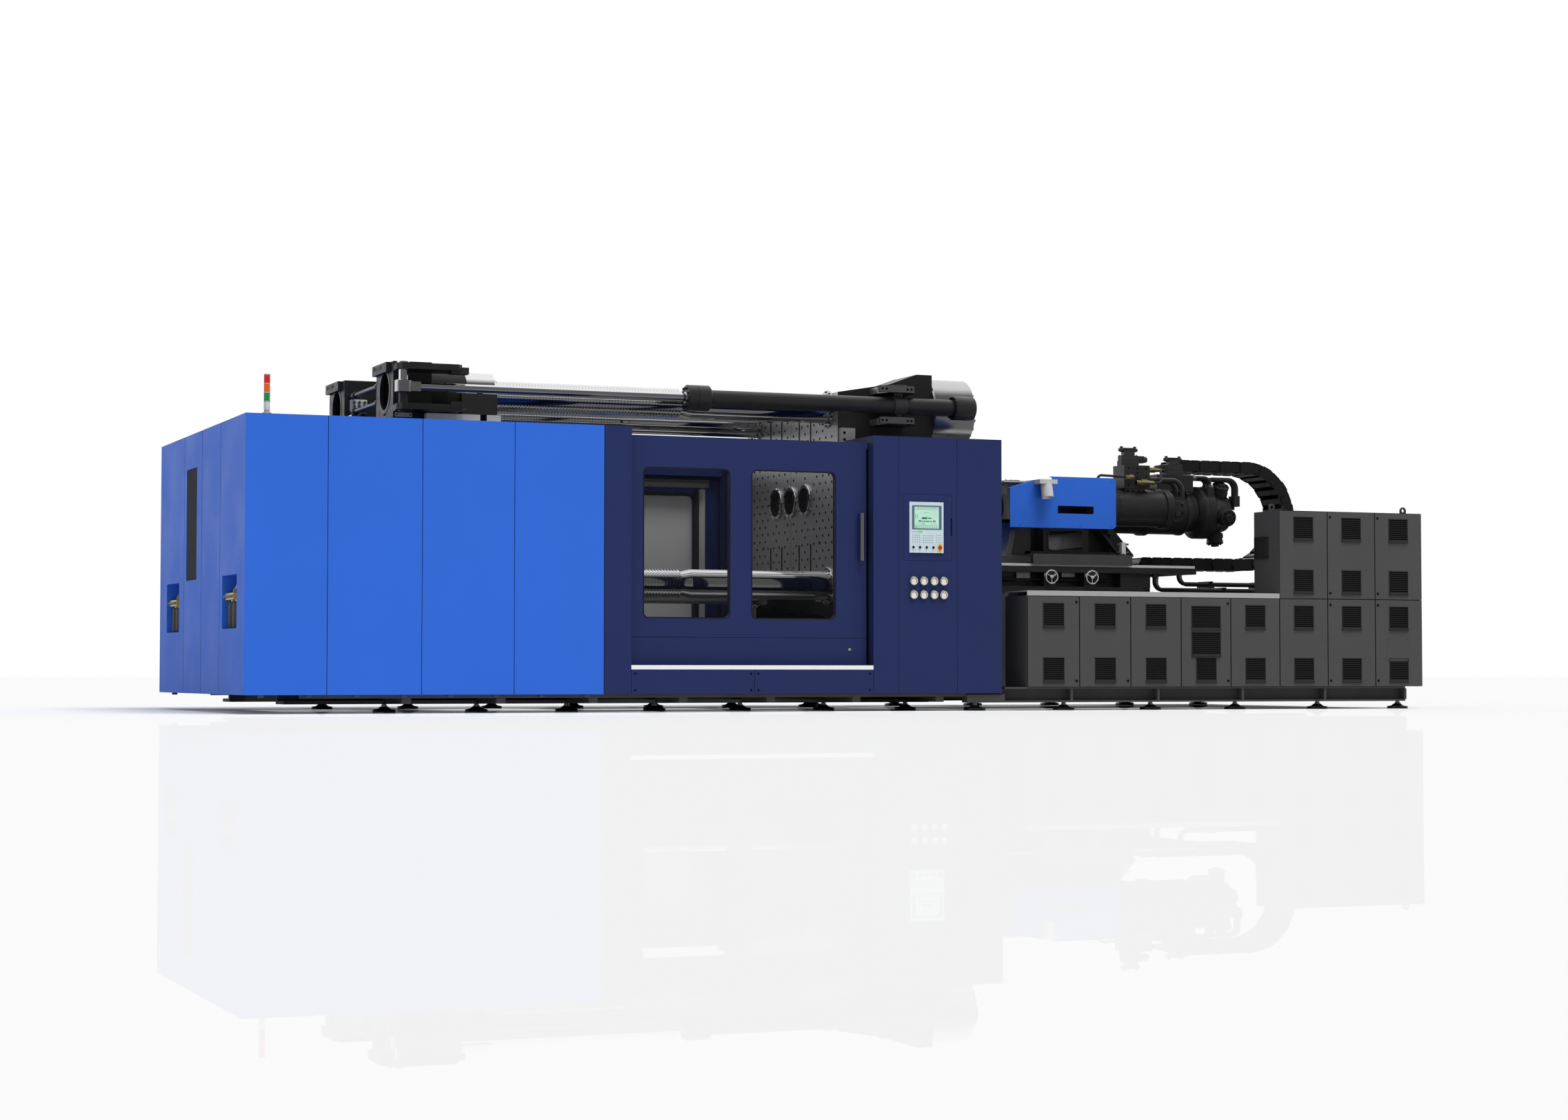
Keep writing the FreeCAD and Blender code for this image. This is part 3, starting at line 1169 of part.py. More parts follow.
def barrel():
    """Barrel with its heater bands, end cap and nozzle."""
    x1 = X_HOUSING + HOUSING_T
    tip = X_NOZZLE
    outline = [(tip, 0), (tip, 18), (tip + 14, NOZZLE_R), (tip + 140, NOZZLE_R),
               (X_BARREL, 110), (X_BARREL, HEATER_R), (X_FEED - 20, HEATER_R),
               (X_FEED - 20, BARREL_R), (x1, BARREL_R), (x1, 0)]
    whole = turned_x(outline, 0, AXIS_Z)
    whole = cut(whole, [rod_x((tip, X_BARREL + 60), 0, AXIS_Z, 6),
                        rod_x((X_BARREL + 60, x1), 0, AXIS_Z, turning_bore(SCREW_R))])
    return whole.cut(rod_z(X_THROAT, 0, (AXIS_Z, AXIS_Z + BARREL_R + 5), THROAT_R))


def screw():
    """The plasticising screw, fixed to the rod behind it."""
    end = X_HOUSING + HOUSING_T + 60
    return turned_x([(X_BARREL + 80, 0), (X_BARREL + 80, 8), (X_BARREL + 150, 45),
                     (X_BARREL + 150, SCREW_R), (end, SCREW_R), (end, 0)], 0, AXIS_Z)


def injection_cylinder():
    """One of the two cylinders beside the thrust housing, with its port block."""
    x0 = X_HOUSING + HOUSING_T
    x1 = x0 + CYLINDER_LENGTH
    r = CYLINDER_R
    outline = [(x0, 0), (x0, r), (x1 - 80, r), (x1 - 80, r + 18), (x1, r + 18), (x1, 0)]
    block = box((x1, x1 + PORT_LENGTH), (-CYLINDER_Y - PORT_SIZE / 2, -CYLINDER_Y + PORT_SIZE / 2),
                (AXIS_Z - PORT_SIZE / 2, AXIS_Z + PORT_SIZE / 2))
    return fused([turned_x(outline, -CYLINDER_Y, AXIS_Z), block])


def thrust_housing():
    """The central cylinder that the screw drive slides out of."""
    x0 = X_HOUSING + HOUSING_T
    x1 = x0 + THRUST_LENGTH
    bore = DRIVE_ROD_R + SLIDE_GAP
    outline = [(x0, SCREW_R + 10), (x0, THRUST_R), (x1 - 120, THRUST_R), (x1 - 60, 200),
               (x1, 200), (x1, bore), (x0 + 40, bore), (x0 + 40, SCREW_R + 10)]
    return turned_x(outline, 0, AXIS_Z)


def valve_stack(x, y, z):
    """A directional valve with its pilot standing on a block."""
    base = box((x - 50, x + 50), (y - 42, y + 42), (z, z + 105))
    coils = many_sided(V(x - 115, y, z + 75), 30, ALONG, 230, SMALL_FLATS)
    pilot = box((x - 36, x + 36), (y - 36, y + 36), (z + 105, z + 160))
    return [base, coils, pilot]


def manifolds():
    """Valve blocks on the front cylinder and on the thrust housing."""
    x0 = X_HOUSING + HOUSING_T
    first = box((x0 + 86, x0 + 440), (-540, -360), (AXIS_Z + 150, AXIS_Z + 413))
    second = box((x0 + 720, x0 + 1145), (-225, -20), (AXIS_Z + 200, AXIS_Z + 373))
    stacks = valve_stack(x0 + 190, -450, AXIS_Z + 413) + valve_stack(x0 + 360, -450, AXIS_Z + 413)
    stacks += valve_stack(x0 + 830, -145, AXIS_Z + 373) + valve_stack(x0 + 985, -145, AXIS_Z + 373)
    return [first, second] + stacks


def chain_bracket():
    x0 = X_CHAIN_TOP
    top = CHAIN_LOW_Z + 2 * CHAIN_BEND_R - CHAIN_LINK / 2
    return box((x0 - 40, x0 + 60), (CHAIN_Y[0] + 90, CHAIN_Y[1] - 20), (AXIS_Z + 190, top))


def injection_cylinders():
    blocks = manifolds()
    solid = fused(both_sides([injection_cylinder()]) + [thrust_housing()] + blocks
                  + [chain_bracket()])
    x0 = X_HOUSING + HOUSING_T
    bore = rod_x((x0 + 40, x0 + THRUST_LENGTH), 0, AXIS_Z, DRIVE_ROD_R + SLIDE_GAP)
    return solid.cut(bore)


def drive_unit():
    """Radial-piston motor on the rod that pushes the screw."""
    x0 = X_HOUSING + HOUSING_T
    x1 = x0 + THRUST_LENGTH + SLIDE_GAP
    rod = rod_x((x0 + 60, x1), 0, AXIS_Z, DRIVE_ROD_R)
    outline = [(x1, 0), (x1, 190), (x1 + 60, 190), (x1 + 60, MOTOR_FLANGE_R),
               (x1 + 190, MOTOR_FLANGE_R), (x1 + 215, 235), (x1 + 400, 190), (x1 + 400, 70),
               (x1 + 484, 60), (x1 + 484, 0)]
    body = turned_x(outline, 0, AXIS_Z)
    pistons = []
    for i in range(MOTOR_CYLINDERS):
        reach = AXIS_Z + MOTOR_REACH
        arm = turned_z([(AXIS_Z + 120, 0), (AXIS_Z + 120, 72), (reach - 60, 72), (reach - 60, 88),
                        (reach, 88), (reach, 0)], x1 + 300, 0)
        pistons.append(arm.rotated(V(x1 + 300, 0, AXIS_Z), ALONG, 360 / MOTOR_CYLINDERS * i + 12))
    ports = box((x1 + 85, x1 + 165), (HOSE_Y[0] - 35, HOSE_Y[1] + 35),
                (AXIS_Z + 150, AXIS_Z + HOSE_PORT))
    return fused([rod, body, ports] + pistons)


def motor_hoses():
    """Two hoses from the rear manifold to the motor."""
    x0 = X_HOUSING + HOUSING_T + 1145
    x1 = X_HOUSING + HOUSING_T + THRUST_LENGTH + SLIDE_GAP + 125
    z = AXIS_Z + 346
    hoses = []
    for y in HOSE_Y:
        start, corner, end = V(x0, y, z), V(x1, y, z), V(x1, y, AXIS_Z + HOSE_PORT + SLIDE_GAP)
        hoses.append(swept([start] + bend(start, corner, end, 60) + [end], HOSE_R))
    return group(hoses)


def energy_chain():
    """The cable chain: upper run, bend and lower run as one band."""
    centre = CHAIN_LOW_Z + CHAIN_BEND_R
    outline = []
    for radius, steps in ((CHAIN_BEND_R + CHAIN_LINK / 2, range(CHAIN_BEND_LINKS + 1)),
                          (CHAIN_BEND_R - CHAIN_LINK / 2, range(CHAIN_BEND_LINKS, -1, -1))):
        arc = []
        for k in steps:
            angle = math.pi * k / CHAIN_BEND_LINKS - math.pi / 2
            arc.append((X_CHAIN_BEND + radius * math.cos(angle), centre + radius * math.sin(angle)))
        outline += arc
        if radius > CHAIN_BEND_R:
            outline += [(X_CHAIN_TOP, centre + CHAIN_BEND_R + CHAIN_LINK / 2),
                        (X_CHAIN_TOP, centre + CHAIN_BEND_R - CHAIN_LINK / 2)]
    outline += [(X_CHAIN_LOW, CHAIN_LOW_Z + CHAIN_LINK / 2), (X_CHAIN_LOW, CHAIN_LOW_Z - CHAIN_LINK / 2)]
    return prism_y(outline, CHAIN_Y)


def pipe(x, y, z_top, z_low):
    """A pipe that drops beside the rails and turns towards the cabinets."""
    start, corner, end = V(x, y, z_top), V(x, y, z_low), V(X_TALL + 900, y, z_low)
    return swept([start] + bend(start, corner, end, 80, 2) + [end], PIPE_R, 6)


def hydraulic_pipes():
    """Two rows of rigid pipes behind the walkway, on bars across the tank."""
    pipes = []
    for y, x, z_top, z_low in ((-560, X_RAIL[1] - 260, 1340, 1190), (-300, X_RAIL[1] + 180, 1400, 1260)):
        for i in range(4):
            pipes.append(pipe(x + 42 * i, y + 60 * i, z_top, z_low))
        under = z_low - PIPE_R * math.cos(math.pi / 6)
        for x_bar in (X_TANK + 225, X_TALL + 820):
            pipes.append(box((x_bar, x_bar + 60), (y - 35, y + 215), (TANK_TOP, under)))
    return group(pipes)


# ---------------------------------------------------------------- nodes
NODES = {
    "clamp_base_frame": clamp_base_frame,
    "levelling_feet": levelling_feet,
    "injection_base_frame": injection_base_frame,
    "cover_panels_blue": cover_panels_blue,
    "end_panels": end_panels,
    "end_window": end_window,
    "cover_panels_dark": cover_panels_dark,
    "door_rails": door_rails,
    "signal_tower": signal_tower,
    "operator_column": operator_column,
    "pressure_gauges": pressure_gauges,
    "stationary_platen": stationary_platen,
    "tie_bars": tie_bars,
    "clamp_cylinders": clamp_cylinders,
    "mould_cylinders": mould_cylinders,
    "lubrication_units": lubrication_units,
    "low_cabinet": low_cabinet,
    "tall_cabinet": tall_cabinet,
    "walkway_plate": walkway_plate,
    "carriage_rails": carriage_rails,
    "hydraulic_pipes": hydraulic_pipes,
    "front_door": front_door,
    "front_windows": front_windows,
    "rear_door": rear_door,
    "rear_windows": rear_windows,
    "hmi_door": hmi_door,
    "hmi_panel": hmi_panel,
    "stop_button": stop_button,
    "moving_platen": moving_platen,
    "half_nut_housings": half_nut_housings,
    "platen_rods": platen_rods,
    "half_nuts_left": half_nuts_left,
    "half_nuts_right": half_nuts_right,
    "carriage": carriage,
    "feed_block": feed_block,
    "feed_cover": feed_cover,
    "barrel": barrel,
    "injection_cylinders": injection_cylinders,
    "drive_unit": drive_unit,
    "screw": screw,
    "motor_hoses": motor_hoses,
    "hopper_slide": hopper_slide,
    "handwheel_left": handwheel_left,
    "handwheel_right": handwheel_right,
    "energy_chain": energy_chain,
}


def all_nodes():
    shapes = {name: make() for name, make in NODES.items()}
    for i in range(len(SELECTOR_X)):
        shapes["selector_%d" % (i + 1)] = selector(i)
    for bay in range(CABINET_COUNT):
        shapes["low_door_%d" % (bay + 1)] = low_door(bay)
    for bay in range(TALL_BAY_FROM, CABINET_COUNT):
        shapes["high_door_%d" % (bay - TALL_BAY_FROM + 1)] = high_door(bay)
    return shapes


os.makedirs("parts", exist_ok=True)
for name, shape in all_nodes().items():
    shape.exportStep("parts/%s.step" % name)
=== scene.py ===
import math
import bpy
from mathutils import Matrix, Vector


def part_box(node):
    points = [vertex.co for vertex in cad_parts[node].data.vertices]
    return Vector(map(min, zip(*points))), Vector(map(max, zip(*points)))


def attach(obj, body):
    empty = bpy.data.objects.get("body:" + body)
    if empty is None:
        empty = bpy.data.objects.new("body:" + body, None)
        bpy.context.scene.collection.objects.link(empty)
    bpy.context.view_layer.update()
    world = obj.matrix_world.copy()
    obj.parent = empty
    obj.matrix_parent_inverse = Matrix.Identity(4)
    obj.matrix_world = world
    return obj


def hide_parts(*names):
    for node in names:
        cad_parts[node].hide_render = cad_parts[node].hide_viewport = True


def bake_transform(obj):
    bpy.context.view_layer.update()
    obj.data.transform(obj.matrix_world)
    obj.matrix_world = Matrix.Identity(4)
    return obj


bl_info = {
    "name": "Injection moulding machine finish",
    "version": (1, 0, 0),
    "blender": (4, 5, 0),
    "location": "View3D > Sidebar > Moulding machine",
    "description": "Finishes and fine pieces of a two-platen injection moulding machine",
    "category": "Add Mesh",
}

import bmesh
import bpy
from bpy.props import FloatProperty, FloatVectorProperty, IntProperty, PointerProperty
from mathutils import Matrix, Vector

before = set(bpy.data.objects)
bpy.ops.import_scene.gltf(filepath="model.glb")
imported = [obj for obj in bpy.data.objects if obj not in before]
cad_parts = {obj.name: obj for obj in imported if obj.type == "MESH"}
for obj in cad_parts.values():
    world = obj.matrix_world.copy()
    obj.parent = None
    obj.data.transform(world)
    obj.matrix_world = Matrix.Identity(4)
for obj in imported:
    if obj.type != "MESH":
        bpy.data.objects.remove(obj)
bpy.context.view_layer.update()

# ---------------------------------------------------------------- places, in metres
# +X runs to the injection end, -Y is the operator side, +Z is up.
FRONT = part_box("low_door_1")[0].y               # front plane of covers and cabinets
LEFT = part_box("end_panels")[0].x
COLUMN_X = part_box("operator_column")[0].x
POST_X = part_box("cover_panels_blue")[1].x
CABINET_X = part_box("low_cabinet")[0].x
CABINET_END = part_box("low_cabinet")[1].x
TALL_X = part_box("tall_cabinet")[0].x
AXIS_Z = 2.012
BAR_Y, BAR_Z = 0.905, 0.840                     # tie bars, from the machine axis
BAR_R, GROOVE_R, NECK_R = 0.140, 0.135, 0.118
FIXED_X = COLUMN_X + 0.006                      # mould face of the fixed platen
MOVING_X = FIXED_X - 3.331
SLEEVE_X = MOVING_X - 0.620
NUT_X = SLEEVE_X - 0.350
EAR_BACK_X = FIXED_X + 0.980
PULL_Y, PULL_Z = 1.400, 0.845                   # mould-moving cylinders, from the axis
TRUNNION_X = FIXED_X + 0.510
EYE_X = NUT_X + 0.039
THROAT_X = COLUMN_X + 2.431
HOUSING_X = COLUMN_X + 3.256                    # right face of the plate behind the barrel
MOTOR_X = HOUSING_X + 1.2305
RAIL_X = (COLUMN_X + 1.440, COLUMN_X + 4.116)
BARS = [(sy * BAR_Y, AXIS_Z + sz * BAR_Z) for sy in (-1, 1) for sz in (1, -1)]
MARK, SEAM = 0.0006, 0.0005                     # how far flat marks and joints stand out
CHAIN_X, CHAIN_BEND_X = COLUMN_X + 4.326, COLUMN_X + 5.124
CHAIN_LOW, CHAIN_R = 1.476, 0.507               # lower run and bend of the energy chain
CHAIN_LENGTH = 0.798 + math.pi * CHAIN_R + (5.124 - 3.866)
WHEEL_PLACES = {"left": 2.505, "right": 2.957}  # gearboxes, from the column
WHEEL_Z = 1.294
STOP_X, SWITCH_Z = COLUMN_X + 0.666, 1.502
SILL_X = POST_X + 0.254                         # left end of the front sill
DECK_Z = 1.524                                  # top of the carriage deck
COLUMN_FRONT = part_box("operator_column")[0].y
PANEL_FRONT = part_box("hmi_panel")[0].y


# ---------------------------------------------------------------- settings
def colour(name, value, text):
    return FloatVectorProperty(name=name, description=text, subtype="COLOR", size=3, min=0.0,
        max=1.0, default=value)


def length(name, value, text):
    return FloatProperty(name=name, description=text, default=value, unit="LENGTH", min=0.0)


def number(name, value, text):
    return IntProperty(name=name, description=text, default=value, min=1)


class MachinePaint(bpy.types.PropertyGroup):
    """Colours of the machine's paints."""
    cover: colour("Cover blue", (0.034, 0.156, 0.715), "Paint of the clamp covers and feed cover")
    door: colour("Door blue", (0.0225, 0.0340, 0.120), "Paint of the doors, post and column")
    cabinet: colour("Cabinet grey", (0.080, 0.080, 0.081), "Textured paint of the cabinets")
    base: colour("Base grey", (0.070, 0.070, 0.071), "Paint of the base frames")
    casting: colour("Casting grey", (0.030, 0.030, 0.031), "Paint of the platens")
    machine: colour("Machine black", (0.024, 0.024, 0.0245), "Gloss paint of cylinders and motor")
    panel: colour("Panel grey", (0.62, 0.74, 0.80), "Face of the operator panel")


class MachineSizes(bpy.types.PropertyGroup):
    """Sizes and counts of the fine pieces."""
    groove_pitch: length("Groove pitch", 0.030, "Pitch of the locking grooves on the tie bars")
    louvres: number("Louvres", 11, "Blades in each ventilation grille")
    heaters: number("Heater bands", 5, "Heater bands ahead of the feed block")
    chain_links: number("Chain links", 30, "Links in the energy chain")
    motor_arms: number("Motor cylinders", 5, "Radial cylinders of the hydraulic motor")


class MachineStage(bpy.types.PropertyGroup):
    """Light and floor of the studio."""
    key: FloatProperty(name="Key lamp", description="Strength of the lamp above", default=2.6,
        min=0.0)
    side: FloatProperty(name="Side lamp", description="Strength of the lamp at the clamp end",
        default=0.10, min=0.0)
    fill: FloatProperty(name="Surroundings", description="Light from the pale surroundings",
        default=0.33, min=0.0)
    mirror: FloatProperty(name="Floor mirror", description="How much the floor reflects",
        default=0.08, min=0.0, max=1.0, subtype="FACTOR")


def paint():
    return bpy.context.scene.moulding_paint


def sizes():
    return bpy.context.scene.moulding_sizes


# ---------------------------------------------------------------- finishes
class Finish:
    """One procedural surface: its shader, and the noise that varies it."""

    def __init__(self, name, base, metallic=0.0, roughness=0.4, **sockets):
        self.material = bpy.data.materials.new(name)
        self.material.use_nodes = True
        self.material.diffuse_color = (*base, 1.0)
        self.nodes = self.material.node_tree.nodes
        self.links = self.material.node_tree.links
        self.shader = self.nodes["Principled BSDF"]
        self.base = base
        self.normal = None
        self.set("Base Color", (*base, 1.0))
        self.set("Metallic", metallic)
        self.set("Roughness", roughness)
        for socket, value in sockets.items():
            self.set(socket.replace("_", " "), value)

    def set(self, socket, value):
        self.shader.inputs[socket].default_value = value

    def noise(self, scale, detail=4.0, stretch=(1, 1, 1)):
        """Noise in the machine's own space, stretched along its axes."""
        place = self.nodes.new("ShaderNodeTexCoord")
        mapping = self.nodes.new("ShaderNodeMapping")
        mapping.inputs["Scale"].default_value = stretch
        texture = self.nodes.new("ShaderNodeTexNoise")
        texture.inputs["Scale"].default_value = scale
        texture.inputs["Detail"].default_value = detail
        self.links.new(place.outputs["Object"], mapping.inputs["Vector"])
        self.links.new(mapping.outputs["Vector"], texture.inputs["Vector"])
        return texture.outputs["Fac"]

    def between(self, source, low, high, start=0.3, end=0.7):
        """Map a 0 to 1 value to a range."""
        node = self.nodes.new("ShaderNodeMapRange")
        for socket, value in (("From Min", start), ("From Max", end), ("To Min", low),
                ("To Max", high)):
            node.inputs[socket].default_value = value
        self.links.new(source, node.inputs["Value"])
        return node.outputs["Result"]

    def mottle(self, scale, amount):
        """Vary the colour between a darker and a lighter tone."""
        mix = self.nodes.new("ShaderNodeMix")
        mix.data_type = "RGBA"
        light = [min(1.0, c * (1 + amount) + amount * 0.004) for c in self.base]
        mix.inputs[6].default_value = (*[c * (1 - amount) for c in self.base], 1.0)
        mix.inputs[7].default_value = (*light, 1.0)
        self.links.new(self.between(self.noise(scale), 0.0, 1.0), mix.inputs["Factor"])
        self.links.new(mix.outputs[2], self.shader.inputs["Base Color"])
        return self

    def smudge(self, scale, low, high, stretch=(1, 1, 1)):
        """Vary the gloss."""
        value = self.between(self.noise(scale, 3.0, stretch), low, high)
        self.links.new(value, self.shader.inputs["Roughness"])
        return self

    def soften(self, radius):
        """Round the look of hard edges."""
        node = self.nodes.new("ShaderNodeBevel")
        node.samples = 4
        node.inputs["Radius"].default_value = radius
        self.normal = node.outputs["Normal"]
        self.links.new(self.normal, self.shader.inputs["Normal"])
        return self

    def grain(self, scale, height, strength=0.4, stretch=(1, 1, 1), detail=4.0):
        """Raise a fine grain or brushed lines."""
        return self.raised(self.noise(scale, detail, stretch), height, strength)

    def raised(self, source, height, strength):
        node = self.nodes.new("ShaderNodeBump")
        node.inputs["Strength"].default_value = strength
        node.inputs["Distance"].default_value = height
        self.links.new(source, node.inputs["Height"])
        if self.normal:
            self.links.new(self.normal, node.inputs["Normal"])
        self.normal = node.outputs["Normal"]
        self.links.new(self.normal, self.shader.inputs["Normal"])
        return self


def powder_coat(name, base, roughness=0.48, orange_peel=0.0004, specular=0.14):
    coat = Finish(name, base, 0.0, roughness, Specular_IOR_Level=specular)
    coat.mottle(1.3, 0.02).smudge(2.5, roughness - 0.04, roughness + 0.05)
    return coat.soften(0.003).grain(350.0, orange_peel, 0.10).material


def machine_paint(name, base, roughness=0.36, specular=0.50):
    coat = Finish(name, base, 0.0, roughness, Specular_IOR_Level=specular)
    coat.mottle(5.0, 0.08).smudge(7.0, roughness - 0.04, roughness + 0.06)
    return coat.soften(0.004).grain(160.0, 0.0005, 0.10).material


def textured_paint(name, base, roughness=0.60):
    coat = Finish(name, base, 0.0, roughness, Specular_IOR_Level=0.15)
    coat.mottle(1.6, 0.03).smudge(3.0, roughness - 0.06, roughness + 0.05)
    return coat.soften(0.003).grain(420.0, 0.0012, 0.25, detail=2.0).material


def cast_iron(name, base, roughness=0.42, metallic=0.35):
    iron = Finish(name, base, metallic, roughness, Specular_IOR_Level=0.4)
    iron.mottle(4.0, 0.10).smudge(11.0, roughness - 0.06, roughness + 0.08)
    return iron.soften(0.004).grain(130.0, 0.0008, 0.15).material


def faced_casting(name, base):
    """Painted casting, bright where it is machined across the bars."""
    iron = Finish(name, base, 0.35, 0.42, Specular_IOR_Level=0.4)
    iron.mottle(4.0, 0.10)
    place = iron.nodes.new("ShaderNodeTexCoord")
    parts = iron.nodes.new("ShaderNodeSeparateXYZ")
    iron.links.new(place.outputs["Normal"], parts.inputs[0])
    facing = iron.between(parts.outputs["X"], 1.0, 0.0, -0.98, -0.85)
    mix = iron.nodes.new("ShaderNodeMix")
    mix.data_type = "RGBA"
    painted = iron.shader.inputs["Base Color"].links[0].from_socket
    mix.inputs[7].default_value = (0.44, 0.43, 0.42, 1.0)
    iron.links.new(painted, mix.inputs[6])
    iron.links.new(facing, mix.inputs["Factor"])
    iron.links.new(mix.outputs[2], iron.shader.inputs["Base Color"])
    iron.links.new(iron.between(facing, 0.35, 0.85, 0.0, 1.0), iron.shader.inputs["Metallic"])
    iron.links.new(iron.between(iron.noise(14.0, 3.0, (1, 1, 6)), 0.28, 0.42),
        iron.shader.inputs["Roughness"])
    return iron.grain(130.0, 0.0008, 0.10).material


def bright_metal(name, base, roughness=0.08, stretch=(1, 1, 1), scale=40.0):
    metal = Finish(name, base, 1.0, roughness)
    metal.mottle(3.0, 0.03).smudge(scale, roughness * 0.85, roughness * 1.2, stretch)
    return metal.grain(scale * 6, 0.0001, 0.02, stretch).material


def moulded(name, base, roughness=0.45, specular=0.4):
    plastic = Finish(name, base, 0.0, roughness, Specular_IOR_Level=specular)
    plastic.mottle(8.0, 0.05).smudge(20.0, roughness - 0.05, roughness + 0.08)
    return plastic.grain(600.0, 0.0004, 0.2).material


def tinted_glass(name, base, cover=0.16):
    glass = Finish(name, base, 0.0, 0.02, IOR=1.45, Alpha=cover, Specular_IOR_Level=0.12)
    glass.smudge(3.0, 0.01, 0.04)
    glass.material.surface_render_method = "BLENDED"
    return glass.material


def checker_plate(name, base):
    """Tread plate: rows of crossed lozenges, raised."""
    plate = Finish(name, base, 0.35, 0.40)
    place = plate.nodes.new("ShaderNodeTexCoord")
    waves = []
    for turn in (45, -45):
        mapping = plate.nodes.new("ShaderNodeMapping")
        mapping.inputs["Rotation"].default_value = (0, 0, math.radians(turn))
        mapping.inputs["Scale"].default_value = (14, 45, 1)
        wave = plate.nodes.new("ShaderNodeTexWave")
        wave.inputs["Scale"].default_value = 1.0
        plate.links.new(place.outputs["Object"], mapping.inputs["Vector"])
        plate.links.new(mapping.outputs["Vector"], wave.inputs["Vector"])
        waves.append(wave.outputs["Fac"])
    join = plate.nodes.new("ShaderNodeMath")
    join.operation = "MULTIPLY"
    plate.links.new(waves[0], join.inputs[0])
    plate.links.new(waves[1], join.inputs[1])
    plate.smudge(8.0, 0.28, 0.42)
    return plate.raised(join.outputs[0], 0.003, 0.6).material


FINISHES = {}


def make_finishes():
    """Every surface of the machine, by the name its pieces use."""
    p = paint()
    FINISHES.update({"cover blue": powder_coat("cover_blue", tuple(p.cover)),
        "door blue": powder_coat("door_blue", tuple(p.door), 0.46),
        "cabinet grey": textured_paint("cabinet_grey", tuple(p.cabinet)),
        "grille black": textured_paint("grille_black", (0.028, 0.028, 0.029), 0.5),
        "base grey": machine_paint("base_grey", tuple(p.base), 0.46, 0.2),
        "casting": cast_iron("casting_grey", tuple(p.casting)),
        "machine black": machine_paint("machine_black", tuple(p.machine)),
        "satin black": powder_coat("satin_black", (0.035, 0.035, 0.036), 0.40, specular=0.5),
        "pale grey": powder_coat("pale_grey", (0.42, 0.41, 0.40), 0.45, specular=0.3),
        "sill white": powder_coat("sill_white", (0.93, 0.94, 0.95), 0.40, specular=0.4),
        "satin silver": powder_coat("satin_silver", (0.62, 0.62, 0.62), 0.34, specular=0.6),
        "platen": faced_casting("platen_casting", tuple(p.casting)),
        "chrome": bright_metal("hard_chrome", (0.80, 0.80, 0.81), 0.07, (1, 8, 8), 30.0),
        "steel": bright_metal("ground_steel", (0.60, 0.60, 0.61), 0.22, (1, 1, 1), 10.0),
        "dark steel": bright_metal("blackened_steel", (0.10, 0.10, 0.105), 0.34),
        "bolt": bright_metal("black_bolts", (0.045, 0.045, 0.048), 0.36),
        "zinc": bright_metal("zinc_plate", (0.45, 0.45, 0.46), 0.3),
        "brass": bright_metal("brass", (0.80, 0.68, 0.34), 0.22),
        "heater": bright_metal("heater_band", (0.30, 0.29, 0.28), 0.30, (1, 6, 6), 20.0),
        "tread": checker_plate("tread_plate", (0.56, 0.56, 0.565)),
        "glass": tinted_glass("window_glass", (0.020, 0.021, 0.022), 0.10),
        # Rear windows: the pale grey, nearly opaque sheet is painted light of the bright studio
        # seen through them, not the tint of the glass.
        "rear glass painted light": tinted_glass("rear_window_painted_light", (0.52, 0.52, 0.525), 0.86),
        # End window: an opaque dark sheet without reflection. Its darkness is partly the smoked
        # tint and partly painted shade of the interior behind the glass.
        "smoked glass and shade": powder_coat("smoked_window_and_shade", (0.060, 0.062, 0.070), 0.50, specular=0.0),
        "dial glass": tinted_glass("dial_glass", (0.9, 0.9, 0.9)),
        "rubber": moulded("hose_rubber", (0.014, 0.014, 0.014), 0.42),
        "chain plastic": moulded("chain_plastic", (0.013, 0.013, 0.014), 0.38),
        "hole": moulded("bore_shadow", (0.004, 0.004, 0.004), 0.8, 0.1),
        "panel": moulded("panel_face", tuple(p.panel), 0.36), "bezel": moulded("screen_bezel",
        (0.10, 0.16, 0.22), 0.3), "screen": moulded("screen_pale", (0.55, 0.86, 0.72), 0.2),
        "screen ink": moulded("screen_dark", (0.05, 0.09, 0.08), 0.25),
        "screen green": moulded("screen_green", (0.08, 0.62, 0.16), 0.25),
        "key": moulded("key_grey", (0.30, 0.38, 0.42), 0.4), "label green": moulded("label_green",
        (0.14, 0.80, 0.10), 0.4), "button black": moulded("button_black", (0.010, 0.010, 0.010),
        0.35), "button red": moulded("button_red", (0.70, 0.018, 0.015), 0.28),
        "button yellow": moulded("button_yellow", (0.78, 0.68, 0.02), 0.4),
        "dial white": moulded("dial_white", (0.93, 0.93, 0.88), 0.5),
        "dial red": moulded("dial_red", (0.52, 0.06, 0.05), 0.5),
        "dial green": moulded("dial_green", (0.05, 0.28, 0.11), 0.5),
        "dial yellow": moulded("dial_yellow", (0.75, 0.55, 0.04), 0.5),
        "lamp red": moulded("lamp_red", (0.75, 0.010, 0.010), 0.2),
        "lamp orange": moulded("lamp_orange", (0.80, 0.14, 0.010), 0.2),
        "lamp green": moulded("lamp_green", (0.010, 0.30, 0.060), 0.2),
        "lamp white": moulded("lamp_white", (0.68, 0.68, 0.66), 0.2),
        "filter yellow": machine_paint("filter_yellow", (0.62, 0.46, 0.05), 0.35)})


def dress(node, finish):
    """Give a packed node one of the finishes."""
    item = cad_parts[node]
    if not item.data.materials:
        item.data.materials.append(FINISHES[finish])
    for holder in item.material_slots:
        holder.material = FINISHES[finish]


# ---------------------------------------------------------------- shapes
def along(axis, t, u, v):
    """A point from its place along an axis and the two across it, in order."""
    order = {"X": (t, u, v), "Y": (u, t, v), "Z": (u, v, t)}[axis]
    return Vector(order)


def span(middle, half):
    """The two ends of a length about its middle."""
    return middle - half, middle + half


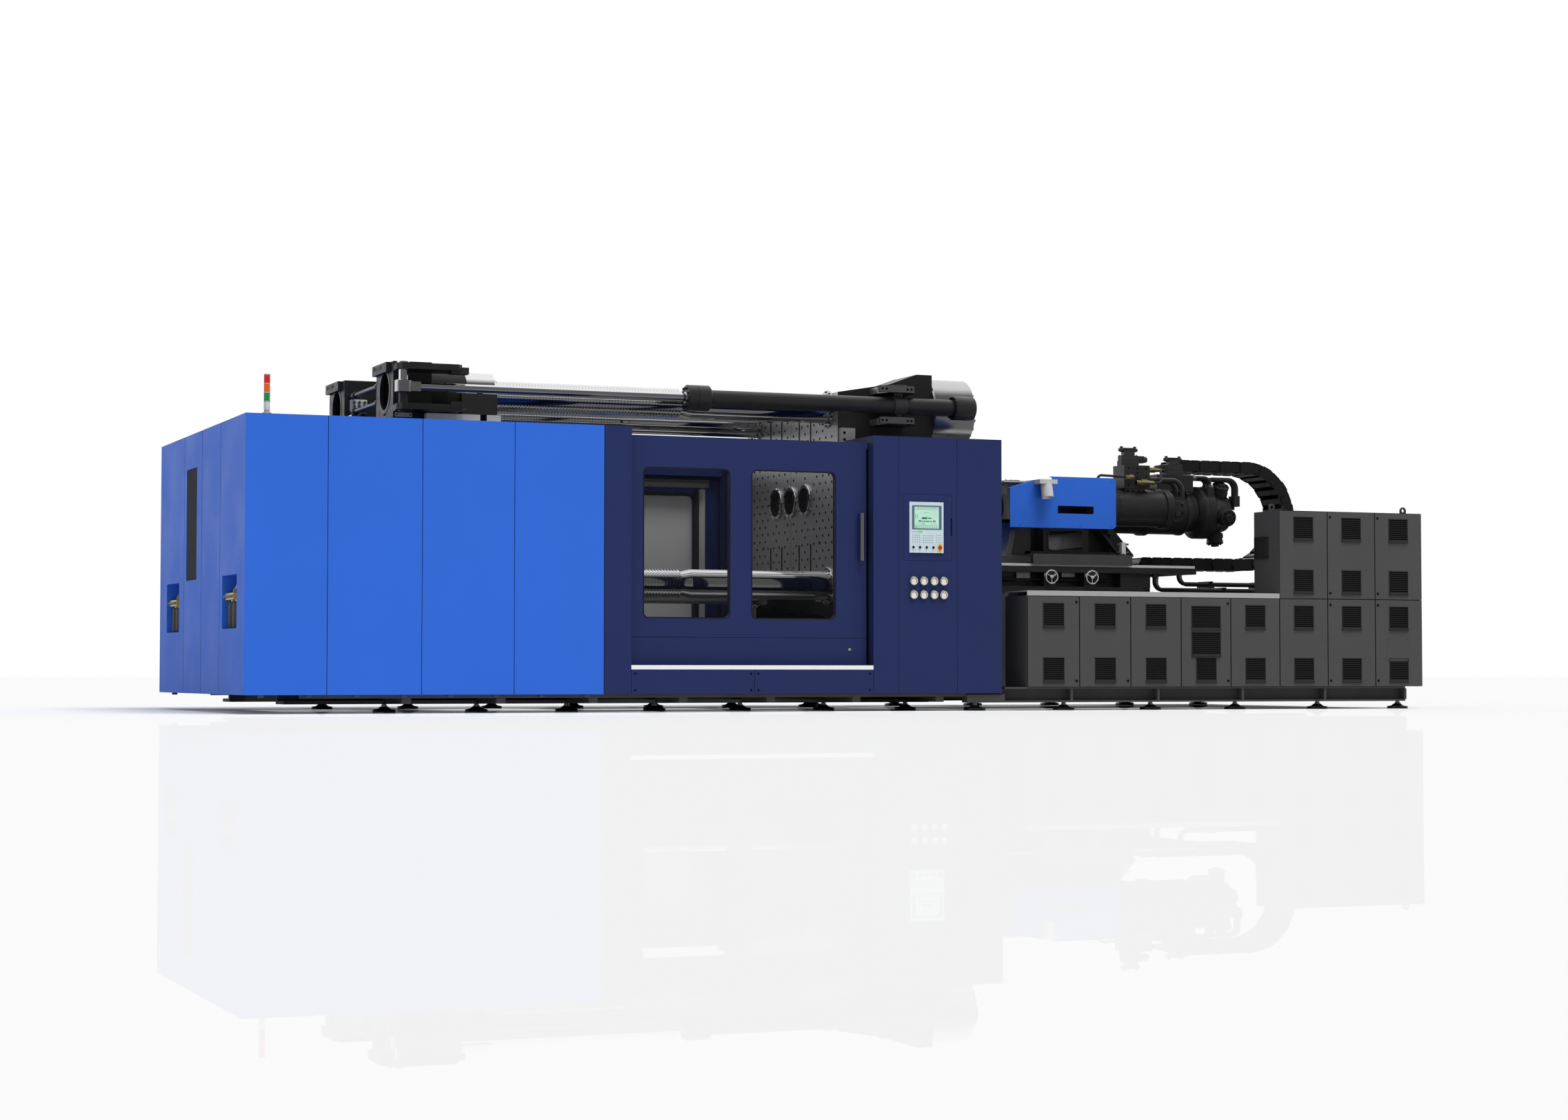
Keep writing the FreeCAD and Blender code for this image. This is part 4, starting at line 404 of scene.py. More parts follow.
class Shape:
    """A mesh being built from boxes, prisms and turned forms, in metres."""

    def __init__(self, *finishes):
        self.mesh = bmesh.new()
        self.finishes = finishes
        self.at = Matrix.Identity(4)
        self.mat = 0

    def use(self, finish):
        self.mat = self.finishes.index(finish)
        return self

    def vert(self, place):
        return self.mesh.verts.new(self.at @ Vector(place))

    def face(self, verts):
        made = self.mesh.faces.new(verts)
        made.material_index = self.mat
        return made

    def prism(self, outline, axis, low, high):
        """An outline of (u, v) corners, run from low to high along an axis."""
        ends = [[self.vert(along(axis, t, u, v)) for u, v in outline] for t in (low, high)]
        self.face(ends[0][::-1])
        self.face(ends[1])
        count = len(outline)
        for i in range(count):
            j = (i + 1) % count
            self.face([ends[0][i], ends[0][j], ends[1][j], ends[1][i]])

    def box(self, x, y, z):
        self.prism([(x[0], y[0]), (x[1], y[0]), (x[1], y[1]), (x[0], y[1])], "Z", z[0], z[1])

    def turned(self, profile, centre, axis="X", start=0.0, sign=1, sides=48):
        """Revolve (distance, radius) corners about a line along an axis."""
        rings = []
        for t, r in profile:
            if r < 1e-6:
                rings.append([self.vert(along(axis, start + sign * t, *centre))])
                continue
            ring = []
            for k in range(sides):
                a = 2 * math.pi * k / sides
                ring.append(self.vert(along(axis, start + sign * t, centre[0] + r * math.cos(a),
                    centre[1] + r * math.sin(a))))
            rings.append(ring)
        for near, far in zip(rings, rings[1:]):
            for k in range(sides):
                j = (k + 1) % sides
                if len(near) == 1 and len(far) == 1:
                    continue
                if len(near) == 1:
                    self.face([near[0], far[j], far[k]])
                elif len(far) == 1:
                    self.face([near[k], near[j], far[0]])
                else:
                    self.face([near[k], near[j], far[j], far[k]])

    def disc(self, radius, height, *place):
        """A plain disc on a face."""
        self.turned([(0, radius), (height, radius), (height, 0)], *place)

    def boss(self, radius, side, height, top, *place):
        """A disc whose straight side ends in a bevel, up to a smaller top."""
        self.turned([(0, radius), (side, radius), (height, top), (height, 0)], *place)

    def rod(self, centre, axis, low, high, radius, chamfer=0.0, sides=32):
        """A plain round bar with broken ends."""
        c = min(chamfer, radius * 0.5)
        profile = [(low, 0), (low, radius - c), (low + c, radius), (high - c, radius),
            (high, radius - c), (high, 0)]
        self.turned(profile, centre, axis, sides=sides)

    def tube(self, path, radius, sides=16):
        """A round tube along close points."""
        points = [Vector(p) for p in path]
        turn = None
        rings = []
        for i, point in enumerate(points):
            ahead = points[min(i + 1, len(points) - 1)] - points[max(i - 1, 0)]
            ahead.normalize()
            if turn is None:
                turn = ahead.orthogonal().normalized()
            turn = (turn - ahead * turn.dot(ahead)).normalized()
            side = ahead.cross(turn)
            rings.append([self.vert(point + turn * (radius * math.cos(2 * math.pi * k / sides))
                + side * (radius * math.sin(2 * math.pi * k / sides))) for k in range(sides)])
        for near, far in zip(rings, rings[1:]):
            for k in range(sides):
                j = (k + 1) % sides
                self.face([near[k], near[j], far[j], far[k]])
        self.face(rings[0][::-1])
        self.face(rings[-1])

    def bolt(self, centre, axis, face, sign=-1, radius=0.012, sides=12):
        """A socket-head bolt that stands out of a face."""
        r = radius
        profile = [(0, r), (r * 1.1, r), (r * 1.3, r * 0.86), (r * 1.3, r * 0.5),
            (r * 0.7, r * 0.46), (r * 0.7, 0)]
        self.turned(profile, centre, axis, face, sign, sides)

    def bolt_ring(self, centre, axis, face, sign, ring, count, radius=0.012, first=0.0):
        for i in range(count):
            a = first + 2 * math.pi * i / count
            self.bolt((centre[0] + ring * math.cos(a), centre[1] + ring * math.sin(a)), axis, face,
                sign, radius)

    def flip(self, y=False, z=False):
        """Mirror what follows across the machine, or about its axis."""
        self.at = Matrix.Translation((0, 0, AXIS_Z))
        self.at @= Matrix.Diagonal((1, -1 if y else 1, -1 if z else 1, 1))
        self.at @= Matrix.Translation((0, 0, -AXIS_Z))
        return self

    def piece(self, name, body, replaces=(), edge=0.0, crease=35, stretch=()):
        """Finish the mesh as a named piece that rides on a body, or stretches to another."""
        bmesh.ops.recalc_face_normals(self.mesh, faces=self.mesh.faces)
        data = bpy.data.meshes.new(name)
        self.mesh.to_mesh(data)
        self.mesh.free()
        for finish in self.finishes:
            data.materials.append(FINISHES[finish])
        data.polygons.foreach_set("use_smooth", [True] * len(data.polygons))
        data.set_sharp_from_angle(angle=math.radians(crease))
        item = bpy.data.objects.new(name, data)
        bpy.context.scene.collection.objects.link(item)
        if edge:
            broken = item.modifiers.new("broken edges", "BEVEL")
            broken.width = edge
            broken.segments = 2
            broken.limit_method = "ANGLE"
            broken.angle_limit = math.radians(40)
            broken.use_clamp_overlap = True
        if stretch:
            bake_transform(item)
        else:
            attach(item, body)
        if replaces:
            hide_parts(*replaces)
        return item


def rounded_path(points, radius, steps=6):
    """Straight runs of rigid pipe joined by arcs."""
    points = [Vector(p) for p in points]
    path = [points[0]]
    for before, corner, after in zip(points, points[1:], points[2:]):
        into = (before - corner).normalized()
        out = (after - corner).normalized()
        half = into.angle(out) / 2
        reach = radius / math.tan(half)
        centre = corner + (into + out).normalized() * (radius / math.sin(half))
        first = corner + into * reach - centre
        last = corner + out * reach - centre
        for k in range(steps + 1):
            path.append(centre + first.slerp(last, k / steps).normalized() * radius)
    path.append(points[-1])
    return path


def rounded_outline(low, high, radius, steps=5):
    """A rectangle with round corners, as (u, v) points."""
    points = []
    corners = ((high[0] - radius, high[1] - radius), (low[0] + radius, high[1] - radius),
        (low[0] + radius, low[1] + radius), (high[0] - radius, low[1] + radius))
    for quarter, (u, v) in enumerate(corners):
        for k in range(steps + 1):
            a = math.pi / 2 * (quarter + k / steps)
            points.append((u + radius * math.cos(a), v + radius * math.sin(a)))
    return points


# ---------------------------------------------------------------- clamp pieces
def tie_bar_profile():
    """Grooved end, neck, cone and plain bar, from the free end."""
    pitch = sizes().groove_pitch
    start, end = MOVING_X - 0.269, FIXED_X - 1.520
    profile = [(start, 0), (start, GROOVE_R - 0.012), (start + 0.012, GROOVE_R)]
    x, depth = start + 0.060, 0.009
    while x + pitch < end:
        profile += [(x, GROOVE_R), (x + pitch * 0.12, GROOVE_R - depth),
            (x + pitch * 0.50, GROOVE_R - depth), (x + pitch * 0.62, GROOVE_R)]
        x += pitch
    profile += [(end - 0.004, GROOVE_R), (end, GROOVE_R - 0.004), (end, NECK_R),
        (end + 0.030, NECK_R), (end + 0.105, BAR_R - 0.0048), (end + 0.112, BAR_R - 0.0030),
        (EAR_BACK_X + 0.370, BAR_R - 0.0030), (EAR_BACK_X + 0.370, 0)]
    return profile


def make_tie_bars():
    bars = Shape("chrome")
    for centre in BARS:
        bars.turned(tie_bar_profile(), centre, sides=40)
    bars.piece("tie_bars_ground", "frame", ["tie_bars"], crease=24)


def make_clamp_cylinders():
    caps = Shape("steel", "bolt")
    start, r = EAR_BACK_X, 0.320
    for centre in BARS:
        caps.use("steel").turned([(0, BAR_R), (0, r - 0.012), (0.012, r), (0.418, r),
            (0.430, r - 0.012), (0.430, 0.120), (0.418, 0.115), (0.418, 0)], centre, start=start,
            sides=72)
        caps.use("bolt").bolt_ring(centre, "X", start + 0.430, 1, 0.268, 20, 0.017)
        caps.bolt_ring(centre, "X", start + 0.430, 1, 0.160, 12, 0.011)
    caps.piece("clamp_cylinders_turned", "frame", ["clamp_cylinders"])


def cylinder_parts(shape):
    """One mould-moving cylinder at the front top: barrel, head, cap and trunnion."""
    centre = (-PULL_Y, AXIS_Z + PULL_Z)
    head, cap = FIXED_X - 1.625, FIXED_X + 1.072
    shape.use("machine black")
    shape.turned([(head, 0.052), (head, 0.105), (head + 0.012, 0.117), (head + 0.095, 0.117),
        (head + 0.099, 0.112), (head + 0.103, 0.117), (head + 0.218, 0.117), (head + 0.230, 0.105),
        (head + 0.230, 0.078), (cap, 0.078), (cap, 0.106), (cap + 0.008, 0.114),
        (cap + 0.199, 0.114), (cap + 0.211, 0.106), (cap + 0.211, 0)], centre, sides=56)
    shape.use("satin black").turned([(-0.065, 0.078), (-0.065, 0.090), (-0.060, 0.095),
        (0.060, 0.095), (0.065, 0.090), (0.065, 0.078)], centre, start=TRUNNION_X, sides=56)
    shape.use("bolt")
    shape.bolt_ring(centre, "X", head, -1, 0.088, 8, 0.011, math.pi / 8)
    shape.bolt_ring(centre, "X", cap, -1, 0.097, 16, 0.010, math.pi / 16)
    shape.use("chrome")
    shape.turned([(head - 0.004, 0.041), (head - 0.004, 0.050), (head + 0.002, 0.053),
        (head + 0.002, 0.041)], centre, sides=40)
    middle = centre[1]
    for sign in (-1, 1):
        shape.use("machine black").turned([(0.060, 0), (0.060, 0.045), (0.1775, 0.045),
            (0.1775, 0.030), (0.1775, 0)], (TRUNNION_X, -PULL_Y), "Z", middle, sign, 32)
    for x in (head + 0.165, cap + 0.140):
        shape.use("machine black").box(span(x, 0.035), (-PULL_Y + 0.05, -PULL_Y + 0.135),
            span(middle, 0.03))
        shape.use("zinc").turned([(0, 0), (0, 0.020), (0.025, 0.020), (0.025, 0.014),
            (0.05, 0.014), (0.05, 0)], (x, middle), "Y", -PULL_Y + 0.135, 1, 6)


def diagonal(shape, make):
    """Make something at the front top, and again turned half round the axis."""
    shape.at = Matrix.Identity(4)
    make(shape)
    shape.flip(y=True, z=True)
    make(shape)
    shape.at = Matrix.Identity(4)


def make_mould_cylinders():
    cylinders = Shape("machine black", "bolt", "chrome", "satin black", "zinc")
    diagonal(cylinders, cylinder_parts)
    cylinders.piece("mould_cylinders_turned", "frame", ["mould_cylinders"])


def rod_parts(shape):
    """The front-top pull rod: eye, neck, rod and the pin through the clevis."""
    z = AXIS_Z + PULL_Z
    centre = (-PULL_Y, z)
    shape.use("steel")
    shape.turned([(-0.055, 0.0405), (-0.055, 0.069), (-0.049, 0.075), (0.049, 0.075),
        (0.055, 0.069), (0.055, 0.0405)], (EYE_X, -PULL_Y), "Z", z, 1, 48)
    shape.box((EYE_X + 0.055, EYE_X + 0.150), (-PULL_Y - 0.043, -PULL_Y + 0.043), span(z, 0.043))
    shape.use("chrome")
    shape.turned([(EYE_X + 0.15, 0), (EYE_X + 0.15, 0.037), (EYE_X + 0.153, 0.040),
        (FIXED_X - 1.305, 0.040), (FIXED_X - 1.305, 0)], centre, sides=40)
    shape.turned([(0.049, 0.040), (0.205, 0.040), (0.205, 0.054), (0.217, 0.054), (0.222, 0.049),
        (0.222, 0)], (EYE_X, -PULL_Y), "Z", z, 1, 40)
    shape.use("machine black").turned([(-0.225, 0), (-0.225, 0.036), (-0.221, 0.040),
        (-0.049, 0.040)], (EYE_X, -PULL_Y), "Z", z, 1, 40)


def make_platen_rods():
    rods = Shape("steel", "chrome", "machine black", "zinc", "dark steel", "satin silver")
    diagonal(rods, rod_parts)
    inner = BAR_Y - 0.300
    for s in (-1, 1):
        for dz in (-0.06, 0.09):
            rods.use("dark steel").rod((NUT_X + 0.060, AXIS_Z + s * (BAR_Z + dz)), "Y", -inner,
                inner, 0.022, 0.002)
            for y in (-0.46, 0.40):
                rods.use("machine black").rod((NUT_X + 0.060, AXIS_Z + s * (BAR_Z + dz)), "Y", y,
                    y + 0.06, 0.034, 0.004)
    valve_z = AXIS_Z + BAR_Z - 0.13
    y1 = inner
    rods.use("steel").box((NUT_X + 0.022, NUT_X + 0.108), (y1 - 0.188, y1), span(valve_z, 0.04))
    for i in range(3):
        y = y1 - 0.03 - 0.06 * i
        rods.use("zinc").turned([(0, 0), (0, 0.020), (0.016, 0.020), (0.02, 0.014), (0.0215, 0)],
            (y, valve_z), "X", NUT_X + 0.022, -1, 6)
    rods.use("satin silver").box((NUT_X + 0.050, NUT_X + 0.200), (y1 - 0.070, y1), (2.785, 2.915))
    for x in (NUT_X + 0.075, NUT_X + 0.125, NUT_X + 0.175):
        for z in (2.812, 2.850, 2.888):
            rods.use("zinc").bolt((x, z), "Y", y1 - 0.070, -1, 0.015)
    rods.use("machine black").box((NUT_X + 0.090, NUT_X + 0.215), (y1 - 0.090, y1 - 0.070),
        (2.800, 2.830))
    rods.piece("platen_rods_turned", "moving_platen", ["platen_rods"], edge=0.002)


def make_platen_trim():
    """Sleeves, covers and bolts on the moving platen and its locking housings."""
    trim = Shape("chrome", "bolt", "machine black", "hole", "casting", "satin silver",
        "sill white", "grille black")
    for centre in BARS:
        trim.use("grille black").turned([(0.008, BAR_R + 0.003), (0.008, 0.192), (0.016, 0.2006),
            (0.356, 0.2006)], centre, start=SLEEVE_X, sides=64)
        trim.use("chrome").turned([(0.356, 0.2006), (0.616, 0.2006), (0.620, 0.197),
            (0.620, BAR_R + 0.003)], centre, start=SLEEVE_X, sides=64)
        trim.use("bolt").bolt_ring(centre, "X", MOVING_X, 1, 0.172, 16, 0.009)
        for s in (-1, 1):
            trim.use("hole").box((NUT_X - MARK, NUT_X), span(centre[0], 0.034),
                sorted((centre[1] + s * 0.160, centre[1] + s * 0.215)))
        if centre[1] > AXIS_Z:
            edge = -0.605 if centre[0] < 0 else 1.205
            trim.use("casting").box((NUT_X - 0.040, NUT_X), (edge - 0.500, edge), (3.012, 3.0998))
            for start in (0.060, 0.245):
                for k in range(3):
                    y = edge - start - 0.040 * k
                    trim.use("hole").box((NUT_X - 0.0406, NUT_X - 0.040), (y - 0.012, y + 0.004),
                        (3.048, 3.082))
        trim.use("machine black").turned([(-0.004, 0.166), (-0.004, 0.196), (0.0, 0.200),
            (0.0005, 0.166)], centre, start=NUT_X, sides=48)
    for z in span(AXIS_Z, 0.42):
        for i in range(9):
            y = -0.98 + 0.245 * i
            trim.use("hole").disc(0.015, MARK, (y, z), "X", MOVING_X, 1, 16)
    x0, x1 = SLEEVE_X - 0.07, MOVING_X - 0.008
    trim.use("sill white").box((x0 - 0.001, x1 + 0.001), (-1.2915, -1.2135), (2.562, 2.6415))
    trim.use("hole").box((x1 - 0.19, x1 - 0.13), (-1.2925, -1.2125), (2.566, 2.6425))
    for z in (2.980, 2.674):
        trim.use("machine black").box((SLEEVE_X + 0.110, SLEEVE_X + 0.271), (-1.450, -1.350),
            (z, z + 0.060))
    trim.use("satin silver").box((NUT_X + 0.015, NUT_X + 0.170), (-1.2120, -1.2050),
        (2.606, 2.645))
    for x in (NUT_X + 0.030, NUT_X + 0.155):
        trim.use("hole").disc(0.008, MARK, (x, 2.626), "Y", -1.2120, -1, 14)
    trim.piece("moving_platen_trim", "moving_platen", edge=0.0015)


def make_mould_face():
    """Tapped holes, T-slots, rings and trunnion seats of the fixed platen."""
    face = Shape("hole", "chrome", "cabinet grey", "steel", "bolt", "pale grey", "machine black")
    rings = (-0.361, 0.0, 0.361)
    pitch_y, pitch_z, proud = 0.1455, 0.0715, 0.0008
    grooves = (0.521, 0.232, -0.212, -0.497)
    for row in range(-11, 12):
        for k in range(-7, 8):
            y, z = pitch_y * (k + 0.5 * (row % 2)) + 0.010, pitch_z * row
            on_ring = any(math.hypot(y - r, z) <= 0.20 for r in rings)
            on_groove = any(abs(y - g) < 0.035 for g in grooves)
            on_bar = math.hypot(abs(y) - BAR_Y, abs(z) - BAR_Z) < 0.20
            if on_ring or on_groove or on_bar or not 0.02 <= abs(y) <= 1.06:
                continue
            face.use("hole").disc(0.0145, proud, (y, AXIS_Z + z), "X", FIXED_X, -1, 14)
    slots = [(y, side * 0.640, (0.014, 0.215)) for side in (-1, 1) for y in grooves]
    for y, z, size in slots:
        face.use("hole").box((FIXED_X - proud * 1.3, FIXED_X), span(y, size[0]),
            span(AXIS_Z + z, size[1]))
    face.use("hole").box((FIXED_X - proud, FIXED_X), (-0.002, 0.002),
        (AXIS_Z + 0.17, AXIS_Z + 0.80))
    face.box((FIXED_X - proud, FIXED_X), (-0.002, 0.002), (AXIS_Z - 0.80, AXIS_Z - 0.17))
    for y in rings:
        face.use("chrome").turned([(0, 0.158), (0.013, 0.158), (0.0205, 0.150), (0.0205, 0.1235),
            (0.010, 0.1228), (-0.055, 0.1228)], (y, AXIS_Z), "X", FIXED_X, -1, 64)
        face.use("bolt").bolt_ring((y, AXIS_Z), "X", FIXED_X - 0.0205, -1, 0.138, 8, 0.006)
    for centre in BARS:
        face.use("steel").turned([(0, BAR_R + 0.001), (0, 0.178), (0.012, 0.178), (0.016, 0.174),
            (0.016, BAR_R + 0.001)], centre, "X", FIXED_X, -1, 56)
        face.use("bolt").bolt_ring(centre, "X", FIXED_X - 0.016, -1, 0.160, 12, 0.008)
    face.use("pale grey").box((FIXED_X + 0.009, FIXED_X + 0.151), (-1.2158, -1.150),
        (2.4795, 2.6505))
    for z in (2.540, 2.605):
        face.use("hole").disc(0.014, MARK, (FIXED_X + 0.040, z), "Y", -1.2158, -1, 20)
    reach = 0.1175 + 0.060
    for sign in (-1, 1):
        face.use("machine black").turned([(0, 0.047), (0, 0.085), (0.010, 0.085), (0.014, 0.080),
            (0.014, 0.047)], (TRUNNION_X, -PULL_Y), "Z", AXIS_Z + PULL_Z + sign * reach, sign, 40)
        z = AXIS_Z + PULL_Z + sign * (reach - 0.030)
        face.use("cabinet grey").box((TRUNNION_X - 0.235, TRUNNION_X + 0.115), (-1.515, -1.470),
            span(z, 0.0305))
        for dx in (-0.211, -0.170, 0.046, 0.0855):
            face.use("hole").disc(0.012, 0.001, (TRUNNION_X + dx, z), "Y", -1.515, -1, 16)
    face.piece("fixed_platen_fittings", "frame", crease=30)


# ---------------------------------------------------------------- covers and doors
def seam(shape, x, z, side=-1):
    """A thin dark joint on the front or rear sheets."""
    face = side * abs(FRONT)
    shape.use("hole").box(x, sorted((face, face + side * SEAM)), z)


def make_cover_trim():
    """Joints, screws, kick panels and tabs of the covers."""
    trim = Shape("bolt", "hole", "base grey", "sill white")
    left, right = SILL_X, COLUMN_X
    for side in (-1, 1):
        for x in (LEFT + 0.702, LEFT + 1.524, LEFT + 2.347, POST_X):
            seam(trim, span(x, 0.0025), (0.162, 2.523), side)
        seam(trim, (left + 1.1655, left + 1.1685), (0.165, 0.376), side)
        for x in (left, right):
            seam(trim, span(x, 0.0015), (0.165, 0.376), side)
        trim.use("sill white").box((left, right), sorted((side * abs(FRONT),
            side * (abs(FRONT) + 0.001))), (0.3785, 0.4165))
    for y in (-0.915, -0.080, 0.755):
        trim.use("hole").box((LEFT - SEAM, LEFT), span(y, 0.0025), (0.162, 2.523))
    screws = []
    for x0, x1 in ((SILL_X, SILL_X + 1.17), (POST_X + 1.424, COLUMN_X)):
        screws += [(x, z) for x in (x0 + 0.035, x1 - 0.035) for z in (0.195, 0.342)]
    for x, z in screws:
        for side in (-1, 1):
            trim.use("hole").boss(0.009, 0.003, 0.005, 0.006, (x, z), "Y", side * abs(FRONT), side,
                16)
    for y in (-1.86, -1.50, -1.12, -0.70, -0.30, 0.10, 0.55, 1.00, 1.42, 1.86):
        for z in (0.215, 0.60, 1.10, 1.60, 2.10, 2.44):
            if 0.70 < z < 1.2 and (-1.66 < y < -1.03 or 0.98 < y < 1.63):
                continue
            if 1.15 < z < 2.25 and 0.14 < y < 0.66:
                continue
            trim.use("bolt").disc(0.006, SEAM, (y, z), "X", LEFT, -1, 10)
    x = LEFT + 0.12
    while x < POST_X + 0.2:
        for side in (-1, 1):
            trim.use("base grey").box((x, x + 0.05), (side * 1.965 - 0.006, side * 1.965 + 0.006),
                (0.136, 0.161))
        x += 0.41
    trim.piece("cover_fixings", "frame")


def make_signal_tower():
    x, y, z = LEFT + 0.192, -1.900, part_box("signal_tower")[0].z
    tower = Shape("pale grey", "lamp red", "lamp orange", "lamp green", "lamp white")
    tower.use("pale grey").turned([(0, 0), (0, 0.040), (0.010, 0.040), (0.014, 0.036),
        (0.014, 0.024), (0.034, 0.024), (0.034, 0)], (x, y), "Z", z, 1, 32)
    z += 0.034
    for lamp in ("lamp white", "lamp green", "lamp orange", "lamp red"):
        ribs = [(0, 0), (0, 0.0262)]
        for k in range(8):
            ribs += [(0.004 + 0.0075 * k, 0.0268), (0.00775 + 0.0075 * k, 0.0250)]
        tower.use(lamp).turned(ribs + [(0.064, 0.0268), (0.066, 0.0262), (0.066, 0.021)], (x, y),
            "Z", z, 1, 40)
        tower.use("pale grey").turned([(0.066, 0.0), (0.066, 0.0268), (0.070, 0.0270),
            (0.074, 0.0268), (0.076, 0.025), (0.076, 0)], (x, y), "Z", z, 1, 40)
        z += 0.076
    tower.piece("signal_tower_lamps", "frame", ["signal_tower"])


def window_xs():
    left = SILL_X
    return [(left + 0.148, left + 0.966), (left + 1.181, left + 2.001)]


def make_door_trim():
    """Rubber seals, bar handle, lock and the far door's strip."""
    y, z = -1.8775, (0.841, 2.173)
    trim = Shape("rubber", "chrome", "pale grey", "bolt", "hole", "door blue")
    for x0, x1 in window_xs():
        outer = rounded_outline((x0 - 0.006, z[0] - 0.006), (x1 + 0.006, z[1] + 0.006), 0.051)
        inner = rounded_outline((x0 + 0.004, z[0] + 0.004), (x1 - 0.004, z[1] - 0.004), 0.041)
        seal_ring(trim.use("rubber"), outer, inner, y - 0.002, y + 0.021)
    x = COLUMN_X - 0.087
    trim.use("chrome").box((x - 0.020, x + 0.012), (y - 0.058, y - 0.046), (1.372, 1.808))
    trim.use("door blue").box((x - 0.0255, x - 0.021), (y - 0.046, y - 0.0005), (1.380, 1.800))
    trim.box((x - 0.021, x + 0.006), (y - 0.046, y - 0.0005), (1.380, 1.800))
    trim.use("hole").box((POST_X + 0.262, COLUMN_X - 0.02), (y - SEAM, y), (0.664, 0.667))
    # A dark band by the column: painted shade of the gap between the door's end and the column.
    trim.box((COLUMN_X - 0.026, COLUMN_X - 0.006), (y - SEAM, y), (0.43, 2.40))
    trim.use("pale grey").boss(0.013, 0.006, 0.008, 0.010, (COLUMN_X - 0.195, 0.560), "Y", y, -1,
        24)
    trim.use("bolt").turned([(0.008, 0.005), (0.0085, 0.005), (0.0085, 0)],
        (COLUMN_X - 0.195, 0.560), "Y", y, -1, 16)
    trim.piece("front_door_trim", "front_door", crease=40)
    far = Shape("rubber")
    for x0, x1 in window_xs():
        outer = rounded_outline((x0 - 0.035, z[0] - 0.035), (x1 + 0.035, z[1] + 0.035), 0.055)
        inner = rounded_outline((x0, z[0]), (x1, z[1]), 0.045)
        seal_ring(far.use("rubber"), outer, inner, 1.811, 1.8175)
    far.piece("rear_door_seals", "rear_door", crease=40)


def seal_ring(shape, outer, inner, y0, y1):
    """A flat seal between two outlines with as many points."""
    loops = [[shape.vert((u, y, v)) for u, v in line] for y in (y0, y1) for line in (outer, inner)]
    front_out, front_in, back_out, back_in = loops
    for i in range(len(outer)):
        j = (i + 1) % len(outer)
        shape.face([front_out[i], front_out[j], front_in[j], front_in[i]])
        shape.face([back_out[i], back_in[i], back_in[j], back_out[j]])
        shape.face([front_out[i], back_out[i], back_out[j], front_out[j]])
        shape.face([front_in[i], front_in[j], back_in[j], back_in[i]])


def make_gauges():
    gauges = Shape("chrome", "dial white", "dial green", "dial yellow", "dial red", "button black")
    glass = Shape("dial glass")
    front = COLUMN_FRONT - 0.023
    for gx in (0.402, 0.503, 0.608, 0.706):
        for z in (1.067, 1.193):
            gauge(gauges, COLUMN_X + gx, z, front)
            glass.turned([(0.0035, 0), (0.0035, 0.0355)], (COLUMN_X + gx, z), "Y", front, 1, 40)
    gauges.piece("gauge_dials", "frame", ["pressure_gauges"])
    glass.piece("gauge_glasses", "frame")


def gauge(shape, x, z, front):
    """One pressure gauge: case and bezel, dial, bands and pointer."""
    centre = (x, z)
    shape.use("chrome").turned([(0.023, 0.036), (0.017, 0.0400), (0.006, 0.0425), (0.002, 0.0425),
        (0, 0.0405), (0, 0.0375), (0.003, 0.0360), (0.007, 0.0355)], centre, "Y", front, 1, 48)
    shape.use("dial white").turned([(0.007, 0.0358), (0.007, 0)], centre, "Y", front, 1, 48)
    shape.turned([(0.0068, 0.006), (0.0052, 0.005), (0.0052, 0)], centre, "Y", front, 1, 20)
    for finish, start, end in (("dial green", 215, 95), ("dial yellow", 95, 62),
            ("dial red", 62, -35)):
        shape.use(finish)
        arc_band(shape, centre, front + 0.0066, 0.0215, 0.0290, start, end)
    shape.use("button black")
    for k in range(11):
        arc_band(shape, centre, front + 0.0064, 0.0295, 0.0335, 215 - 25 * k, 213 - 25 * k)
    arc_band(shape, centre, front + 0.0058, 0.0, 0.022, 62, 54)
    arc_band(shape, centre, front + 0.0058, 0.0, 0.010, 243, 232)


def arc_band(shape, centre, y, inner, outer, start, end):
    """A flat band of a dial between two radii and two angles in degrees."""
    steps = max(1, int(abs(start - end) / 9))
    for k in range(steps):
        a = math.radians(start + (end - start) * k / steps)
        b = math.radians(start + (end - start) * (k + 1) / steps)
        corners = [(inner, a), (outer, a), (outer, b), (inner, b)]
        if inner < 1e-6:
            corners = corners[1:3] + [(0.0, a)]
        shape.face([shape.vert((centre[0] + r * math.cos(t), y, centre[1] + r * math.sin(t)))
            for r, t in corners])


